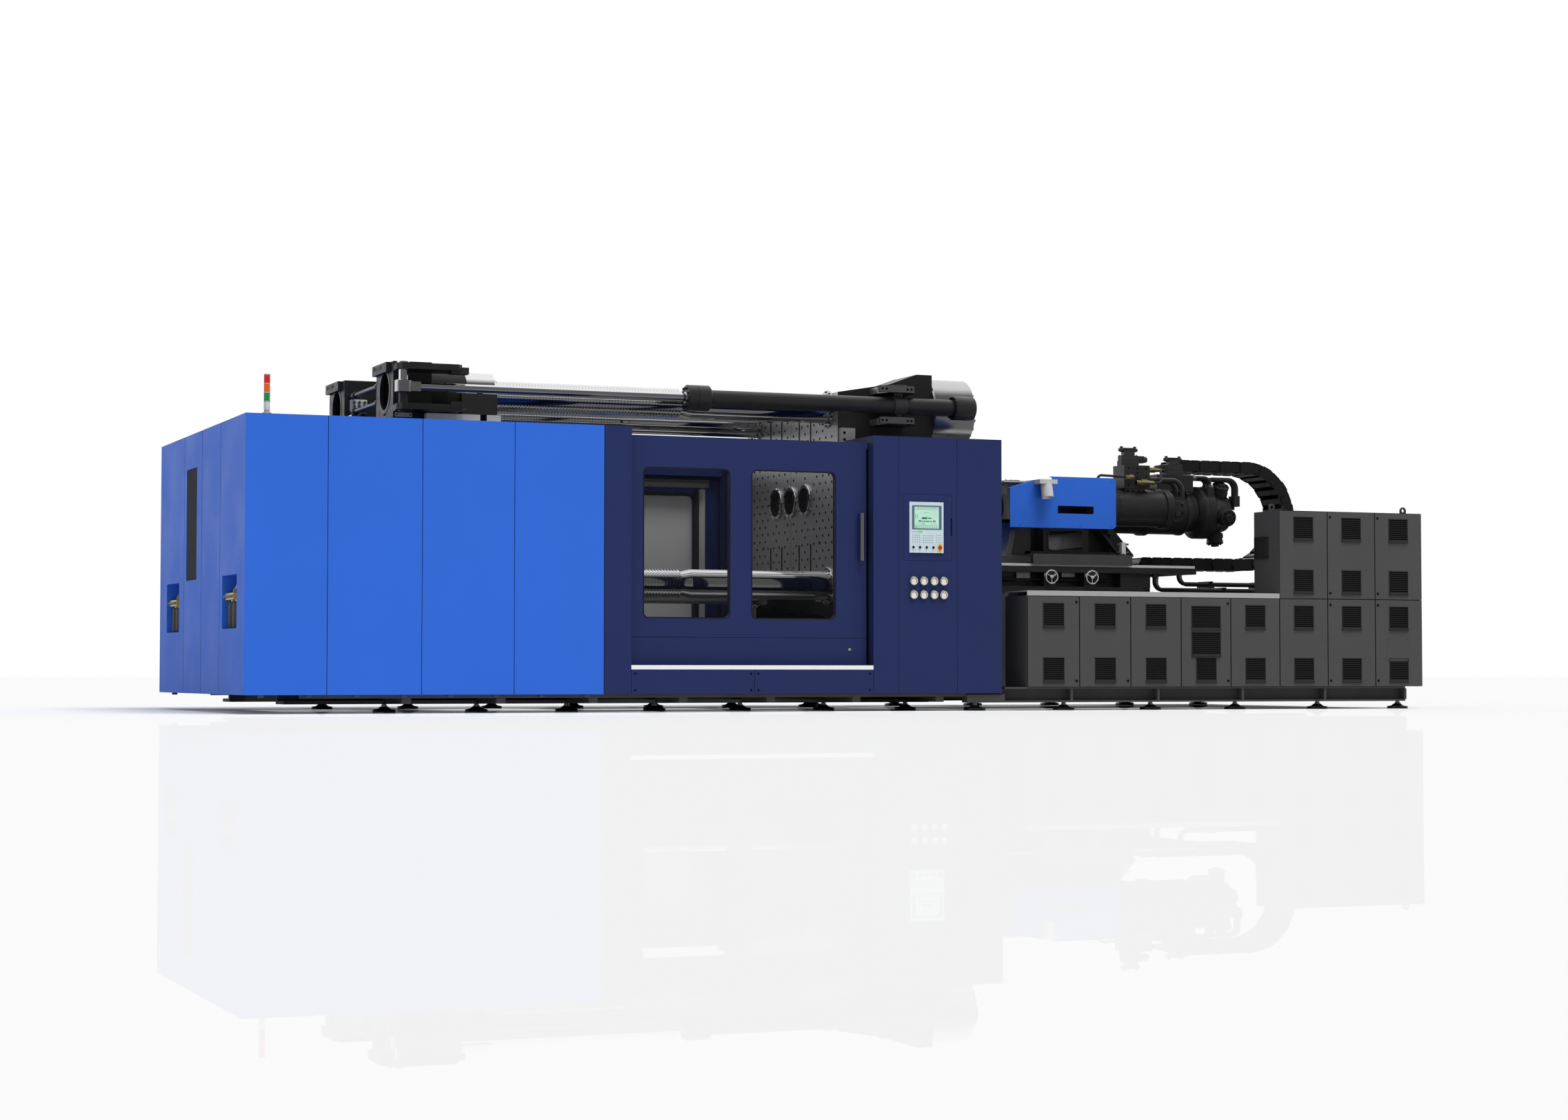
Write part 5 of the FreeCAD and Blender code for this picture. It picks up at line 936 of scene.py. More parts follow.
def make_operator_panel():
    """Bezel, screen, keys and labels on the operator panel."""
    x0, x1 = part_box("hmi_panel")[0].x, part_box("hmi_panel")[1].x
    y = PANEL_FRONT
    panel = Shape("bezel", "screen", "screen ink", "screen green", "key", "label green",
        "button yellow", "panel")
    sx, sz = (x0 + 0.026, x1 - 0.022), (1.668, 1.886)
    outer = rounded_outline((sx[0] - 0.002, sz[0] - 0.002), (sx[1] + 0.002, sz[1] + 0.002), 0.006,
        3)
    inner = rounded_outline((sx[0] + 0.022, sz[0] + 0.009), (sx[1] - 0.022, sz[1] - 0.009), 0.003,
        3)
    seal_ring(panel.use("bezel"), outer, inner, y - 0.0012, y + 0.003)
    glass = y + 0.0018
    panel.use("screen").box((sx[0] + 0.022, sx[1] - 0.022), (glass, y + 0.003),
        (sz[0] + 0.009, sz[1] - 0.009))

    def patch(finish, u, v, w, h, lift=0.0004):
        """A flat field on the screen, placed by fractions of its width and height."""
        left, low = sx[0] + 0.024, sz[0] + 0.011
        width, height = sx[1] - sx[0] - 0.048, sz[1] - sz[0] - 0.022
        panel.use(finish).box((left + u * width, left + (u + w) * width), (glass - lift, glass),
            (low + v * height, low + (v + h) * height))

    patch("screen ink", 0.0, 0.875, 1.0, 0.008)
    patch("screen ink", 0.0, 0.105, 1.0, 0.010)
    for i in range(9):
        patch("key", 0.12 + 0.09 * i, 0.925, 0.05, 0.035)
        patch("key", 0.16 + 0.09 * i, 0.035, 0.05, 0.030)
    patch("screen green", 0.04, 0.02, 0.07, 0.06)
    patch("screen green", 0.03, 0.46, 0.025, 0.20)
    patch("screen green", 0.10, 0.46, 0.025, 0.17)
    patch("screen green", 0.38, 0.72, 0.22, 0.018)
    patch("screen ink", 0.30, 0.43, 0.19, 0.08)
    patch("screen green", 0.48, 0.42, 0.06, 0.12)
    patch("screen ink", 0.56, 0.45, 0.13, 0.05)
    patch("screen green", 0.30, 0.29, 0.17, 0.06)
    patch("screen ink", 0.47, 0.30, 0.09, 0.04)
    patch("screen green", 0.56, 0.29, 0.16, 0.06)
    for u in (0.18, 0.24, 0.76, 0.82):
        patch("screen ink", u, 0.28, 0.035, 0.10)
    patch("screen green", 0.34, 0.17, 0.07, 0.05)
    for i in range(8):
        patch("key", 0.06 + 0.035 * i, 0.19, 0.02, 0.02)
        patch("key", 0.66 + 0.035 * i, 0.19, 0.02, 0.02)
    for i in range(3):
        key(panel, x0 + 0.033 + 0.022 * i, 1.645, y)
    panel.use("label green").box((x0 + 0.087, x0 + 0.131), (y - MARK, y), (1.637, 1.655))
    for row in range(4):
        for i in range(4):
            key(panel, x0 + 0.033 + 0.022 * i, 1.614 - 0.021 * row, y)
        for i in range(6):
            key(panel, x0 + 0.140 + 0.019 * i, 1.610 - 0.021 * row, y)
        for i in range(3):
            key(panel, x1 - 0.070 + 0.022 * i, 1.614 - 0.021 * row, y)
    stop = (STOP_X, SWITCH_Z)
    panel.use("button yellow").box(span(stop[0], 0.019), (y - 0.001, y),
        (stop[1] - 0.047, stop[1] + 0.037))
    rim_out = rounded_outline((x0, 1.452), (x1, 1.920), 0.006, 3)
    rim_in = rounded_outline((x0 + 0.003, 1.455), (x1 - 0.003, 1.917), 0.004, 3)
    seal_ring(panel.use("panel"), rim_out, rim_in, y - MARK, y + 0.003)
    panel.piece("panel_screen_and_keys", "hmi_door", edge=0.0004)


def key(shape, x, z, y):
    """A membrane key."""
    shape.use("key").box(span(x, 0.0045), (y - 0.0008, y), span(z, 0.004))


def make_panel_switches():
    """Rotary selectors and the stop button."""
    z = SWITCH_Z
    for i, place in enumerate((0.397, 0.464, 0.532, 0.600)):
        x, face = COLUMN_X + place, PANEL_FRONT - SEAM
        switch = Shape("button black", "zinc")
        switch.use("zinc").boss(0.0125, 0.002, 0.003, 0.0115, (x, z), "Y", face, -1, 32)
        switch.use("button black").turned([(0.003, 0.0108), (0.0075, 0.0104), (0.0085, 0.0090),
            (0.0085, 0)], (x, z), "Y", face, -1, 32)
        switch.prism([(x - 0.0032, z - 0.0102), (x + 0.0032, z - 0.0102), (x + 0.0022, z + 0.0102),
            (x - 0.0022, z + 0.0102)], "Y", face - 0.0150, face - 0.008)
        switch.piece("selector_knob_%d" % (i + 1), "selector_%d" % (i + 1),
            ["selector_%d" % (i + 1)], edge=0.0006)
    stop = Shape("button red", "zinc")
    x, face = STOP_X, PANEL_FRONT
    stop.use("zinc").rod((x, z), "Y", face - 0.008, face + 0.005, 0.010, 0.001)
    stop.use("button red").turned([(0.007, 0.0), (0.007, 0.017), (0.009, 0.0196), (0.011, 0.0200),
        (0.0145, 0.0180), (0.0165, 0.0130), (0.017, 0.0)], (x, z), "Y", face, -1, 40)
    stop.piece("stop_mushroom", "stop_button", ["stop_button"])
    door = Shape("door blue", "zinc")
    hi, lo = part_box("hmi_door")[1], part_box("hmi_door")[0]
    door.use("door blue").box((hi.x - 0.016, hi.x - 0.013), (FRONT, FRONT + 0.013), (1.615, 1.775))
    for zz in (lo.z + 0.09, hi.z - 0.09):
        door.use("door blue").rod((lo.x + 0.0015, FRONT + 0.0005), "Z", zz - 0.03, zz + 0.03,
            0.0035, 0.0006, 16)
    for zz in (lo.z + 0.04, hi.z - 0.04):
        door.use("zinc").boss(0.008, 0.003, 0.0035, 0.004, (hi.x - 0.03, zz), "Y", FRONT, -1, 20)
    door.piece("panel_door_fittings", "hmi_door", edge=0.0005)


# ---------------------------------------------------------------- cabinets
VENT_H = 0.210


def grille(shape, x, z, body_y):
    """A louvred grille: frame, sloping blades and the lip below."""
    blades = sizes().louvres
    front, back = body_y, body_y + 0.018
    shape.use("grille black").box(x, (back - 0.002, back), z)
    pitch = (z[1] - z[0] - 0.006) / blades
    for i in range(blades):
        low = z[0] + 0.003 + pitch * i
        shape.prism([(front - 0.003, low), (front - 0.003, low + 0.0016),
            (back - 0.002, low + pitch * 0.95), (back - 0.002, low + pitch * 0.95 - 0.0016)], "X",
            x[0] + 0.001, x[1] - 0.001)
    rim = 0.005
    for a, b in ((x[0] - rim, x[0] + 0.002), (x[1] - 0.002, x[1] + rim)):
        shape.box((a, b), span(front, 0.004), (z[0] - rim, z[1] + rim))
    shape.box((x[0] - rim, x[1] + rim), span(front, 0.004), (z[1] - 0.001, z[1] + rim))
    shape.prism([(front - 0.010, z[0] - 0.024), (front - 0.014, z[0] - 0.020),
        (front - 0.004, z[0] + 0.003), (front, z[0] + 0.003), (front, z[0] - 0.024)], "X",
        x[0] - rim, x[1] + rim)


def door_sheet(shape, low, high, vents):
    """A door's folded sheet with an opening for each grille."""
    y0, y1 = low.y, high.y
    shape.use("cabinet grey")
    levels = [low.z]
    for x, z in vents:
        shape.box((low.x, high.x), (y0, y1), (levels[-1], z[0]))
        shape.box((low.x, x[0]), (y0, y1), z)
        shape.box((x[1], high.x), (y0, y1), z)
        levels.append(z[1])
    shape.box((low.x, high.x), (y0, y1), (levels[-1], high.z))


def make_cabinet_doors():
    narrow, wide = 0.213, 0.312
    low_vents = [(narrow, 0.279), (narrow, 0.789)]
    fan_vents = [(narrow, 0.279), (wide, 0.524), (wide, 0.776)]
    high_vents = [(narrow, 1.140), (narrow, 1.656)]
    doors = [("low_door_%d" % i, fan_vents if i == 4 else low_vents) for i in range(1, 9)]
    doors += [("high_door_%d" % i, high_vents) for i in range(1, 4)]
    right_hung = {"low_door_7", "low_door_8", "high_door_2", "high_door_3"}
    locked = right_hung | {"low_door_1", "low_door_2", "low_door_4"}
    for name, vents in doors:
        low, high = (Vector(c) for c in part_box(name))
        low.y, high.y = FRONT, FRONT + 0.020
        mid = (low.x + high.x) / 2
        placed = [((mid - w / 2, mid + w / 2), (z, z + VENT_H)) for w, z in vents]
        door = Shape("cabinet grey", "grille black", "hole", "bolt")
        door_sheet(door, low, high, placed)
        for x, z in placed:
            grille(door, x, z, FRONT)
        lock_x = low.x + 0.030 if name in right_hung else high.x - 0.030
        for a in (low.x, high.x - 0.003):
            door.use("hole").box((a, a + 0.003), (FRONT - SEAM, FRONT), (low.z, high.z))
        door.box((low.x, high.x), (FRONT - SEAM, FRONT), (high.z - 0.003, high.z))
        for z in (low.z + 0.055, high.z - 0.055) if name in locked else ():
            door.use("bolt").turned([(0, 0.0125), (0.002, 0.0125), (0.004, 0.0110),
                (0.004, 0.0060), (0.001, 0.0055), (0.001, 0)], (lock_x, z), "Y", FRONT, -1, 28)
            door.use("hole").box(span(lock_x, 0.004), (FRONT - 0.0012, FRONT - SEAM),
                span(z, 0.0012))
        if name == "low_door_8":
            frame_plate(door, (mid - 0.136, mid + 0.117), (0.464, 0.690))
        door.piece(name + "_leaf", name, [name], edge=0.0012)


def frame_plate(shape, x, z):
    """A plain cover plate screwed to a door."""
    shape.use("cabinet grey").box(x, (FRONT - 0.0015, FRONT), z)
    for u in (x[0] + 0.012, x[1] - 0.012):
        for v in (z[0] + 0.012, z[1] - 0.012):
            shape.use("bolt").boss(0.004, 0.002, 0.0028, 0.0025, (u, v), "Y", FRONT - 0.0015, -1,
                12)


def make_cabinet_trim():
    """Side grille, lifting eyes and roof screws of the cabinets."""
    trim = Shape("grille black", "bolt", "base grey")
    y, z = (-1.778, -1.544), (1.471, 1.676)
    x = TALL_X
    trim.use("grille black").box((x - 0.0015, x), y, z)
    blades = 10
    pitch = (z[1] - z[0]) / blades
    for i in range(blades):
        low = z[0] + pitch * i
        trim.prism([(x - 0.012, y[0]), (x - 0.012, y[1]), (x - 0.0105, y[1]),
            (x - 0.0105, y[0])], "Z", low, low + pitch * 0.35)
    for a, b in ((y[0] - 0.006, y[0]), (y[1], y[1] + 0.006)):
        trim.box((x - 0.012, x), (a, b), (z[0] - 0.006, z[1] + 0.006))
    trim.box((x - 0.012, x), y, (z[1], z[1] + 0.006))
    trim.box((x - 0.016, x), y, (z[0] - 0.006, z[0]))
    for eye_x in (TALL_X + 0.060, CABINET_END - 0.060):
        trim.use("base grey").turned([(-0.0085, 0.0172), (-0.0085, 0.0335), (-0.007, 0.0345),
            (0.007, 0.0345), (0.0085, 0.0335), (0.0085, 0.0172)], (eye_x, 1.971), "Y", -1.750, 1,
            40)
        for dy in (-0.030, 0.030):
            trim.use("bolt").bolt((eye_x, -1.750 + dy), "Z", 1.931, 1, 0.007)
    for i in range(9):
        trim.use("bolt").bolt((CABINET_X + 0.03 + i * (TALL_X - CABINET_X - 0.06) / 8, -1.62), "Z",
            1.120, 1, 0.006)
    trim.piece("cabinet_fittings", "frame", edge=0.0006)


def make_feet():
    """Levelling feet: pads, screws and lock nuts."""
    feet = Shape("dark steel", "zinc", "rubber")
    first = FIXED_X - 4.360
    places = [(first + 0.840 * i, s * 1.180) for i in range(7) for s in (-1, 1)]
    start = CABINET_X - 0.519
    step = (CABINET_END - CABINET_X + 0.267) / 5
    places += [(start + step * i, s * 1.910) for i in range(6) for s in (-1, 1)]
    for x, y in places:
        feet.use("rubber").turned([(0, 0), (0, 0.100), (0.006, 0.1015), (0.008, 0.1015)], (x, y),
            "Z", 0, 1, 40)
        feet.use("dark steel").turned([(0.008, 0.1015), (0.018, 0.1015), (0.024, 0.098),
            (0.030, 0.060), (0.044, 0.042), (0.050, 0.036), (0.050, 0.0)], (x, y), "Z", 0, 1, 40)
        feet.use("zinc").turned([(0.048, 0.0), (0.048, 0.030), (0.062, 0.030), (0.062, 0.022),
            (0.074, 0.022)], (x, y), "Z", 0, 1, 6)
    feet.piece("levelling_feet_turned", "frame", ["levelling_feet"])


def make_filter_units():
    """Filter canisters, their heads, unions and caps, on the recess trays."""
    units = Shape("filter yellow", "zinc", "base grey", "brass", "steel")
    for y0, y1 in ((-1.653, -1.035), (0.990, 1.620)):
        mid = (y0 + y1) / 2 + 0.138
        x, z = LEFT + 0.100, 0.725
        for dy in (-0.09, 0.09):
            units.use("base grey").turned([(0, 0), (0, 0.050), (0.010, 0.060), (0.018, 0.0615),
                (0.205, 0.0615), (0.215, 0.058), (0.220, 0.0605), (0.236, 0.0605), (0.240, 0.05),
                (0.240, 0)], (x, mid + dy), "Z", z, 1, 40)
            for k in range(12):
                a = 2 * math.pi * k / 12
                units.rod((x + 0.0605 * math.cos(a), mid + dy + 0.0605 * math.sin(a)), "Z",
                    z + 0.222, z + 0.236, 0.0025, sides=6)
            units.use("steel").turned([(0.240, 0.0), (0.240, 0.040), (0.250, 0.040), (0.250, 0)],
                (x, mid + dy), "Z", z, 1, 32)
        units.use("filter yellow").box(span(x, 0.072), span(mid, 0.168), (z + 0.250, z + 0.308))
        units.use("zinc")
        for dy in (-0.14, -0.04, 0.04, 0.14):
            units.turned([(0, 0.014), (0.012, 0.014), (0.016, 0.010), (0.022, 0.010), (0.022, 0)],
                (mid + dy, z + 0.279), "X", x - 0.072, -1, 6)
        units.use("brass").box(span(x, 0.028), span(mid, 0.028), (z + 0.308, z + 0.345))
        units.use("zinc").turned([(0, 0.020), (0.020, 0.020), (0.026, 0.014), (0.034, 0.014),
            (0.034, 0)], (x, mid), "Z", z + 0.345, 1, 24)
        for dy in (-0.11, 0.11):
            units.use("filter yellow").turned([(0, 0.018), (0.03, 0.018), (0.045, 0.010),
                (0.05, 0)], (x, mid + dy), "Z", z + 0.308, 1, 24)
    units.piece("filter_units", "frame", ["lubrication_units"], edge=0.002)


# ---------------------------------------------------------------- injection unit
def make_barrel():
    """Barrel, end cap, nozzle, and heater bands with their clamps and terminal boxes."""
    barrel = Shape("dark steel", "heater", "zinc", "steel", "bolt")
    centre = (0.0, AXIS_Z)
    tip, cap = FIXED_X + 0.150, FIXED_X + 0.430
    feed = COLUMN_X + 2.256
    barrel.use("steel").turned([(tip, 0.006), (tip, 0.014), (tip + 0.012, 0.040),
        (tip + 0.018, 0.045), (tip + 0.140, 0.045), (cap - 0.03, 0.095), (cap, 0.105),
        (cap, 0.158), (cap + 0.010, 0.164), (cap + 0.110, 0.164), (cap + 0.118, 0.155),
        (cap + 0.118, 0.150)], centre, sides=56)
    barrel.use("bolt").bolt_ring(centre, "X", cap, -1, 0.132, 12, 0.012)
    barrel.use("dark steel").turned([(cap + 0.118, 0.150), (feed - 0.02, 0.150),
        (HOUSING_X, 0.1495), (HOUSING_X, 0.0)], centre, sides=64)
    count = sizes().heaters
    first = cap + 0.160
    pitch = (feed - 0.050 - first) / count
    for i in range(count):
        x0 = first + pitch * i
        x1 = x0 + pitch * 0.86
        barrel.use("heater").turned([(x0, 0.151), (x0, 0.1620), (x0 + 0.004, 0.1645),
            (x1 - 0.004, 0.1645), (x1, 0.1620), (x1, 0.151)], centre, sides=64)
        barrel.use("zinc").box((x0 + 0.05, x0 + 0.15), (-0.045, 0.045),
            (AXIS_Z - 0.1645, AXIS_Z - 0.155))
        for x in (x0 + 0.03, x1 - 0.03):
            barrel.turned([(x - 0.006, 0.1645), (x - 0.006, 0.1655), (x + 0.006, 0.1655),
                (x + 0.006, 0.1645)], centre, sides=64)
    barrel.piece("barrel_and_heaters", "carriage", ["barrel"], edge=0.0015)


def valve_stack(shape, x, y, z, way):
    """A valve lying along the machine: a coil at one end and a pilot valve on top."""
    shape.use("satin black").box(span(x, 0.100), span(y, 0.045), (z, z + 0.050))
    shape.box(span(x, 0.094), span(y, 0.040), (z + 0.052, z + 0.104))
    for step in (0.0, 0.028, 0.056):
        shape.box(sorted_pair(x + way * (0.094 + step), x + way * (0.114 + step)), span(y, 0.036),
            (z + 0.030, z + 0.100))
    shape.turned([(0.100, 0.030), (0.205, 0.030), (0.212, 0.024), (0.212, 0)], (y, z + 0.066), "X",
        x, way, 28)
    shape.box(span(x, 0.060), span(y, 0.034), (z + 0.106, z + 0.142))
    for side in (-1, 1):
        shape.use("satin black").turned([(0.060, 0.022), (0.092, 0.022), (0.096, 0.016),
            (0.104, 0.016), (0.106, 0)], (y, z + 0.160), "X", x, side, 24)
        shape.use("machine black").box(sorted_pair(x + side * 0.064, x + side * 0.088),
            span(y, 0.012), (z + 0.178, z + 0.196))
    shape.use("machine black").box(span(x, 0.062), span(y, 0.030), (z + 0.142, z + 0.180))
    shape.use("zinc")
    for dx in (-0.080, 0.080):
        for dy in (-0.030, 0.030):
            shape.bolt((x + dx, y + dy), "Z", z + 0.104, 1, 0.006, 8)


def sorted_pair(a, b):
    return (min(a, b), max(a, b))


def make_injection_cylinders():
    """Both injection cylinders, the thrust housing, the valve manifolds and the chain bracket."""
    unit = Shape("machine black", "bolt", "brass", "zinc", "satin black", "hole")
    x0, r = HOUSING_X, 0.185
    x1 = x0 + 0.690
    for side in (-1, 1):
        y = side * 0.450
        centre = (y, AXIS_Z)
        unit.use("machine black").turned([(0, 0), (0, r + 0.026), (0.040, r + 0.026),
            (0.046, r + 0.020), (0.046, r), (0.607, r), (0.607, r + 0.010), (0.610, r + 0.018),
            (0.642, r + 0.018), (0.645, r + 0.014), (0.648, r + 0.018), (0.684, r + 0.018),
            (0.690, r + 0.012), (0.690, 0.0)], centre, start=x0, sides=72)
        unit.use("bolt").bolt_ring(centre, "X", x0 + 0.046, 1, r + 0.010, 20, 0.010)
        unit.bolt_ring(centre, "X", x1, 1, r - 0.010, 16, 0.014)
        unit.use("machine black").box((x1, x1 + 0.130), span(y, 0.120), span(AXIS_Z, 0.120))
        port_flange(unit, y, x1 + 0.065, side)
        unit.use("machine black").boss(0.085, 0.016, 0.022, 0.078, centre, "X", x1 + 0.130, 1, 40)
        unit.use("bolt").bolt_ring(centre, "X", x1 + 0.130, 1, 0.100, 4, 0.012, math.pi / 4)
    end = x0 + 1.230
    unit.use("machine black").turned([(x0, 0.07), (x0, 0.232), (x0 + 0.620, 0.232),
        (x0 + 0.624, 0.250), (x0 + 0.690, 0.250), (x0 + 0.694, 0.232), (end - 0.150, 0.232),
        (end - 0.146, 0.240), (end - 0.118, 0.240), (end - 0.060, 0.200), (end, 0.200),
        (end, 0.1205), (x0 + 0.040, 0.1205), (x0 + 0.040, 0.07), (x0, 0.07)], (0, AXIS_Z),
        sides=80)
    unit.use("bolt").bolt_ring((0, AXIS_Z), "X", x0 + 0.690, 1, 0.241, 24, 0.007)
    unit.bolt_ring((0, AXIS_Z), "X", end, 1, 0.165, 16, 0.011)
    first = (x0 + 0.150, x0 + 0.445)
    unit.use("machine black").box(first, (-0.560, -0.330), (AXIS_Z + 0.195, AXIS_Z + 0.430))
    unit.use("satin black").box((x0 + 0.180, x0 + 0.400), (-0.540, -0.360),
        (AXIS_Z + 0.130, AXIS_Z + 0.195))
    for dx in (0.200, 0.255, 0.325, 0.380):
        unit.use("bolt").bolt((x0 + dx, AXIS_Z + 0.165), "Y", -0.540, -1, 0.011)
    unit.use("machine black")
    second = (x0 + 0.720, x0 + 1.145)
    unit.box(second, (-0.225, -0.020), (AXIS_Z + 0.200, AXIS_Z + 0.373))
    valve_stack(unit, x0 + 0.255, -0.450, AXIS_Z + 0.430, 1)
    valve_stack(unit, x0 + 0.950, -0.145, AXIS_Z + 0.373, -1)
    manifold_fittings(unit, x0)
    unit.use("machine black").box((CHAIN_X - 0.040, CHAIN_X + 0.060), (-0.010, 0.280),
        (AXIS_Z + 0.190, CHAIN_LOW + 2 * CHAIN_R - 0.065))
    unit.piece("injection_unit_turned", "carriage", ["injection_cylinders"],
        edge=0.002)


def port_flange(shape, y, x, side):
    """A round port cover with four bolts on the outer face of a port block."""
    face = y + side * 0.120
    shape.use("machine black").boss(0.082, 0.020, 0.026, 0.076, (x, AXIS_Z), "Y", face, side, 40)
    shape.use("bolt").bolt_ring((x, AXIS_Z), "Y", face + side * 0.026, side, 0.058, 4, 0.010,
        math.pi / 4)


def union(shape, x, y, z, way, reach, big):
    """A brass union lying along the machine."""
    shape.use("brass").turned([(0, big * 0.7), (reach * 0.25, big * 0.7), (reach * 0.25, big),
        (reach * 0.6, big), (reach * 0.6, big * 0.75), (reach, big * 0.62), (reach, 0)], (y, z),
        "X", x, way, 6)


def manifold_fittings(shape, x0):
    """Plugs, brass unions and rigid pipes of the front manifold."""
    y, z = -0.560, AXIS_Z + 0.312
    for dx, dz in ((0.200, 0.085), (0.300, 0.085), (0.300, 0.040), (0.300, -0.010), (0.400, 0.085),
            (0.400, 0.000), (0.200, -0.085), (0.400, -0.085)):
        shape.use("hole").disc(0.010, MARK, (x0 + dx, z + dz), "Y", y, -1, 16)
    union(shape, x0 + 0.445, -0.500, z + 0.078, 1, 0.150, 0.030)
    union(shape, x0 + 0.265, -0.598, z - 0.060, 1, 0.200, 0.036)
    union(shape, x0 + 0.240, -0.592, z - 0.006, -1, 0.085, 0.028)
    shape.use("brass").rod((x0 + 0.330, z - 0.060), "Y", -0.598, -0.560, 0.024, 0.002)
    shape.rod((x0 + 0.225, z - 0.006), "Y", -0.592, -0.560, 0.018, 0.002)
    shape.use("machine black")
    left = rounded_path([(x0 + 0.155, -0.592, z - 0.006), (x0 - 0.150, -0.592, z + 0.004),
        (x0 - 0.190, -0.560, z - 0.075)], 0.035)
    shape.tube(left, 0.013, 12)
    rise = rounded_path([(x0 + 0.465, -0.598, z - 0.060), (x0 + 0.560, -0.590, z - 0.050),
        (x0 + 0.590, -0.520, z + 0.085), (x0 + 0.760, -0.300, z + 0.090)], 0.040)
    shape.tube(rise, 0.011, 12)
    for y, reach in ((-0.500, 0.850), (-0.420, 0.820)):
        bend = rounded_path([(x0 + 0.445, y, AXIS_Z + 0.290), (x0 + reach, y, AXIS_Z + 0.290),
            (x0 + reach, y, AXIS_Z + 0.110)], 0.110)
        shape.use("machine black").tube(bend, 0.026, 18)


def make_drive_unit():
    """The radial-piston motor: flange, drum, hub and bolted cylinder heads."""
    drive = Shape("machine black", "bolt", "chrome", "zinc")
    x1, centre = MOTOR_X, (0.0, AXIS_Z)
    drive.use("chrome").turned([(HOUSING_X + 0.06, 0), (HOUSING_X + 0.06, 0.120), (x1, 0.120)],
        centre, sides=56)
    drive.use("machine black").turned([(0, 0.12), (0, 0.214), (0.036, 0.262), (0.044, 0.270),
        (0.098, 0.270), (0.102, 0.266), (0.106, 0.270), (0.174, 0.270), (0.184, 0.262),
        (0.205, 0.240), (0.235, 0.232), (0.380, 0.196), (0.400, 0.188), (0.400, 0.110),
        (0.408, 0.100), (0.440, 0.100), (0.446, 0.094), (0.446, 0.064), (0.478, 0.062),
        (0.484, 0.056), (0.484, 0)], centre, start=x1, sides=80)
    drive.use("bolt").bolt_ring(centre, "X", x1 + 0.184, 1, 0.252, 20, 0.010)
    drive.bolt_ring(centre, "X", x1 + 0.400, 1, 0.148, 12, 0.011)
    drive.bolt_ring(centre, "X", x1 + 0.446, 1, 0.080, 8, 0.006)
    count = sizes().motor_arms
    for i in range(count):
        drive.at = Matrix.Translation((x1 + 0.284, 0, AXIS_Z))
        drive.at @= Matrix.Rotation(math.radians(360 / count * i + 30), 4, "X")
        motor_cylinder(drive)
    drive.at = Matrix.Identity(4)
    drive.use("machine black").box((x1 + 0.085, x1 + 0.165), (-0.225, -0.075),
        (AXIS_Z + 0.150, AXIS_Z + 0.255))
    for y in (-0.190, -0.110):
        drive.use("zinc").turned([(0.255, 0), (0.255, 0.034), (0.280, 0.034), (0.280, 0)],
            (x1 + 0.125, y), "Z", AXIS_Z, 1, 6)
    for y in (-0.175, -0.125):
        drive.use("machine black").tube(rounded_path([(x1 + 0.165, y, 2.350),
            (x1 + 0.455, y, 2.350), (x1 + 0.455, y, 2.180)], 0.090), 0.024, 18)
    drive.box((x1 + 0.415, x1 + 0.484), (-0.205, -0.095), (2.075, 2.185))
    drive.box((x1 + 0.415, x1 + 0.484), (-0.100, 0.050), (2.045, 2.130))
    drive.piece("motor_turned", "drive_unit", ["drive_unit"], edge=0.0015)


def motor_cylinder(shape):
    """One radial cylinder, standing up from the motor's centre."""
    shape.use("machine black").turned([(0.120, 0.060), (0.120, 0.074), (0.210, 0.072),
        (0.216, 0.086), (0.262, 0.088), (0.266, 0.082), (0.288, 0.082), (0.288, 0.086),
        (0.318, 0.088), (0.324, 0.082), (0.324, 0.046), (0.334, 0.042), (0.349, 0.040),
        (0.349, 0)], (0, 0), "Z", 0, 1, 40)
    for k in range(28):
        a = 2 * math.pi * k / 28
        u, v = 0.0868 * math.cos(a), 0.0868 * math.sin(a)
        shape.rod((u, v), "Z", 0.222, 0.258, 0.0035, sides=6)
    shape.use("bolt").bolt_ring((0, 0), "Z", 0.324, 1, 0.065, 8, 0.008)


def make_motor_hoses():
    """The two hoses from the rear manifold to the motor, as the carried route runs."""
    pair = Shape("rubber", "zinc")
    x0, x1, z = HOUSING_X + 1.145, MOTOR_X + 0.125, AXIS_Z + 0.346
    for y in (-0.190, -0.110):
        path = rounded_path([(x0, y, z), (x1, y, z), (x1, y, AXIS_Z + 0.2805)], 0.060, 8)
        pair.use("rubber").tube(path, 0.024, 24)
        pair.use("zinc").turned([(0, 0.025), (0, 0.032), (0.030, 0.032), (0.030, 0.0285),
            (0.046, 0.0265), (0.046, 0.0243)], (y, z), "X", x0, 1, 6)
    pair.piece("motor_hose_pair", "carriage", ["motor_hoses"],
        stretch=("drive_unit", (x0 + 0.050, 0.0, z), (x1 - 0.070, 0.0, z)))


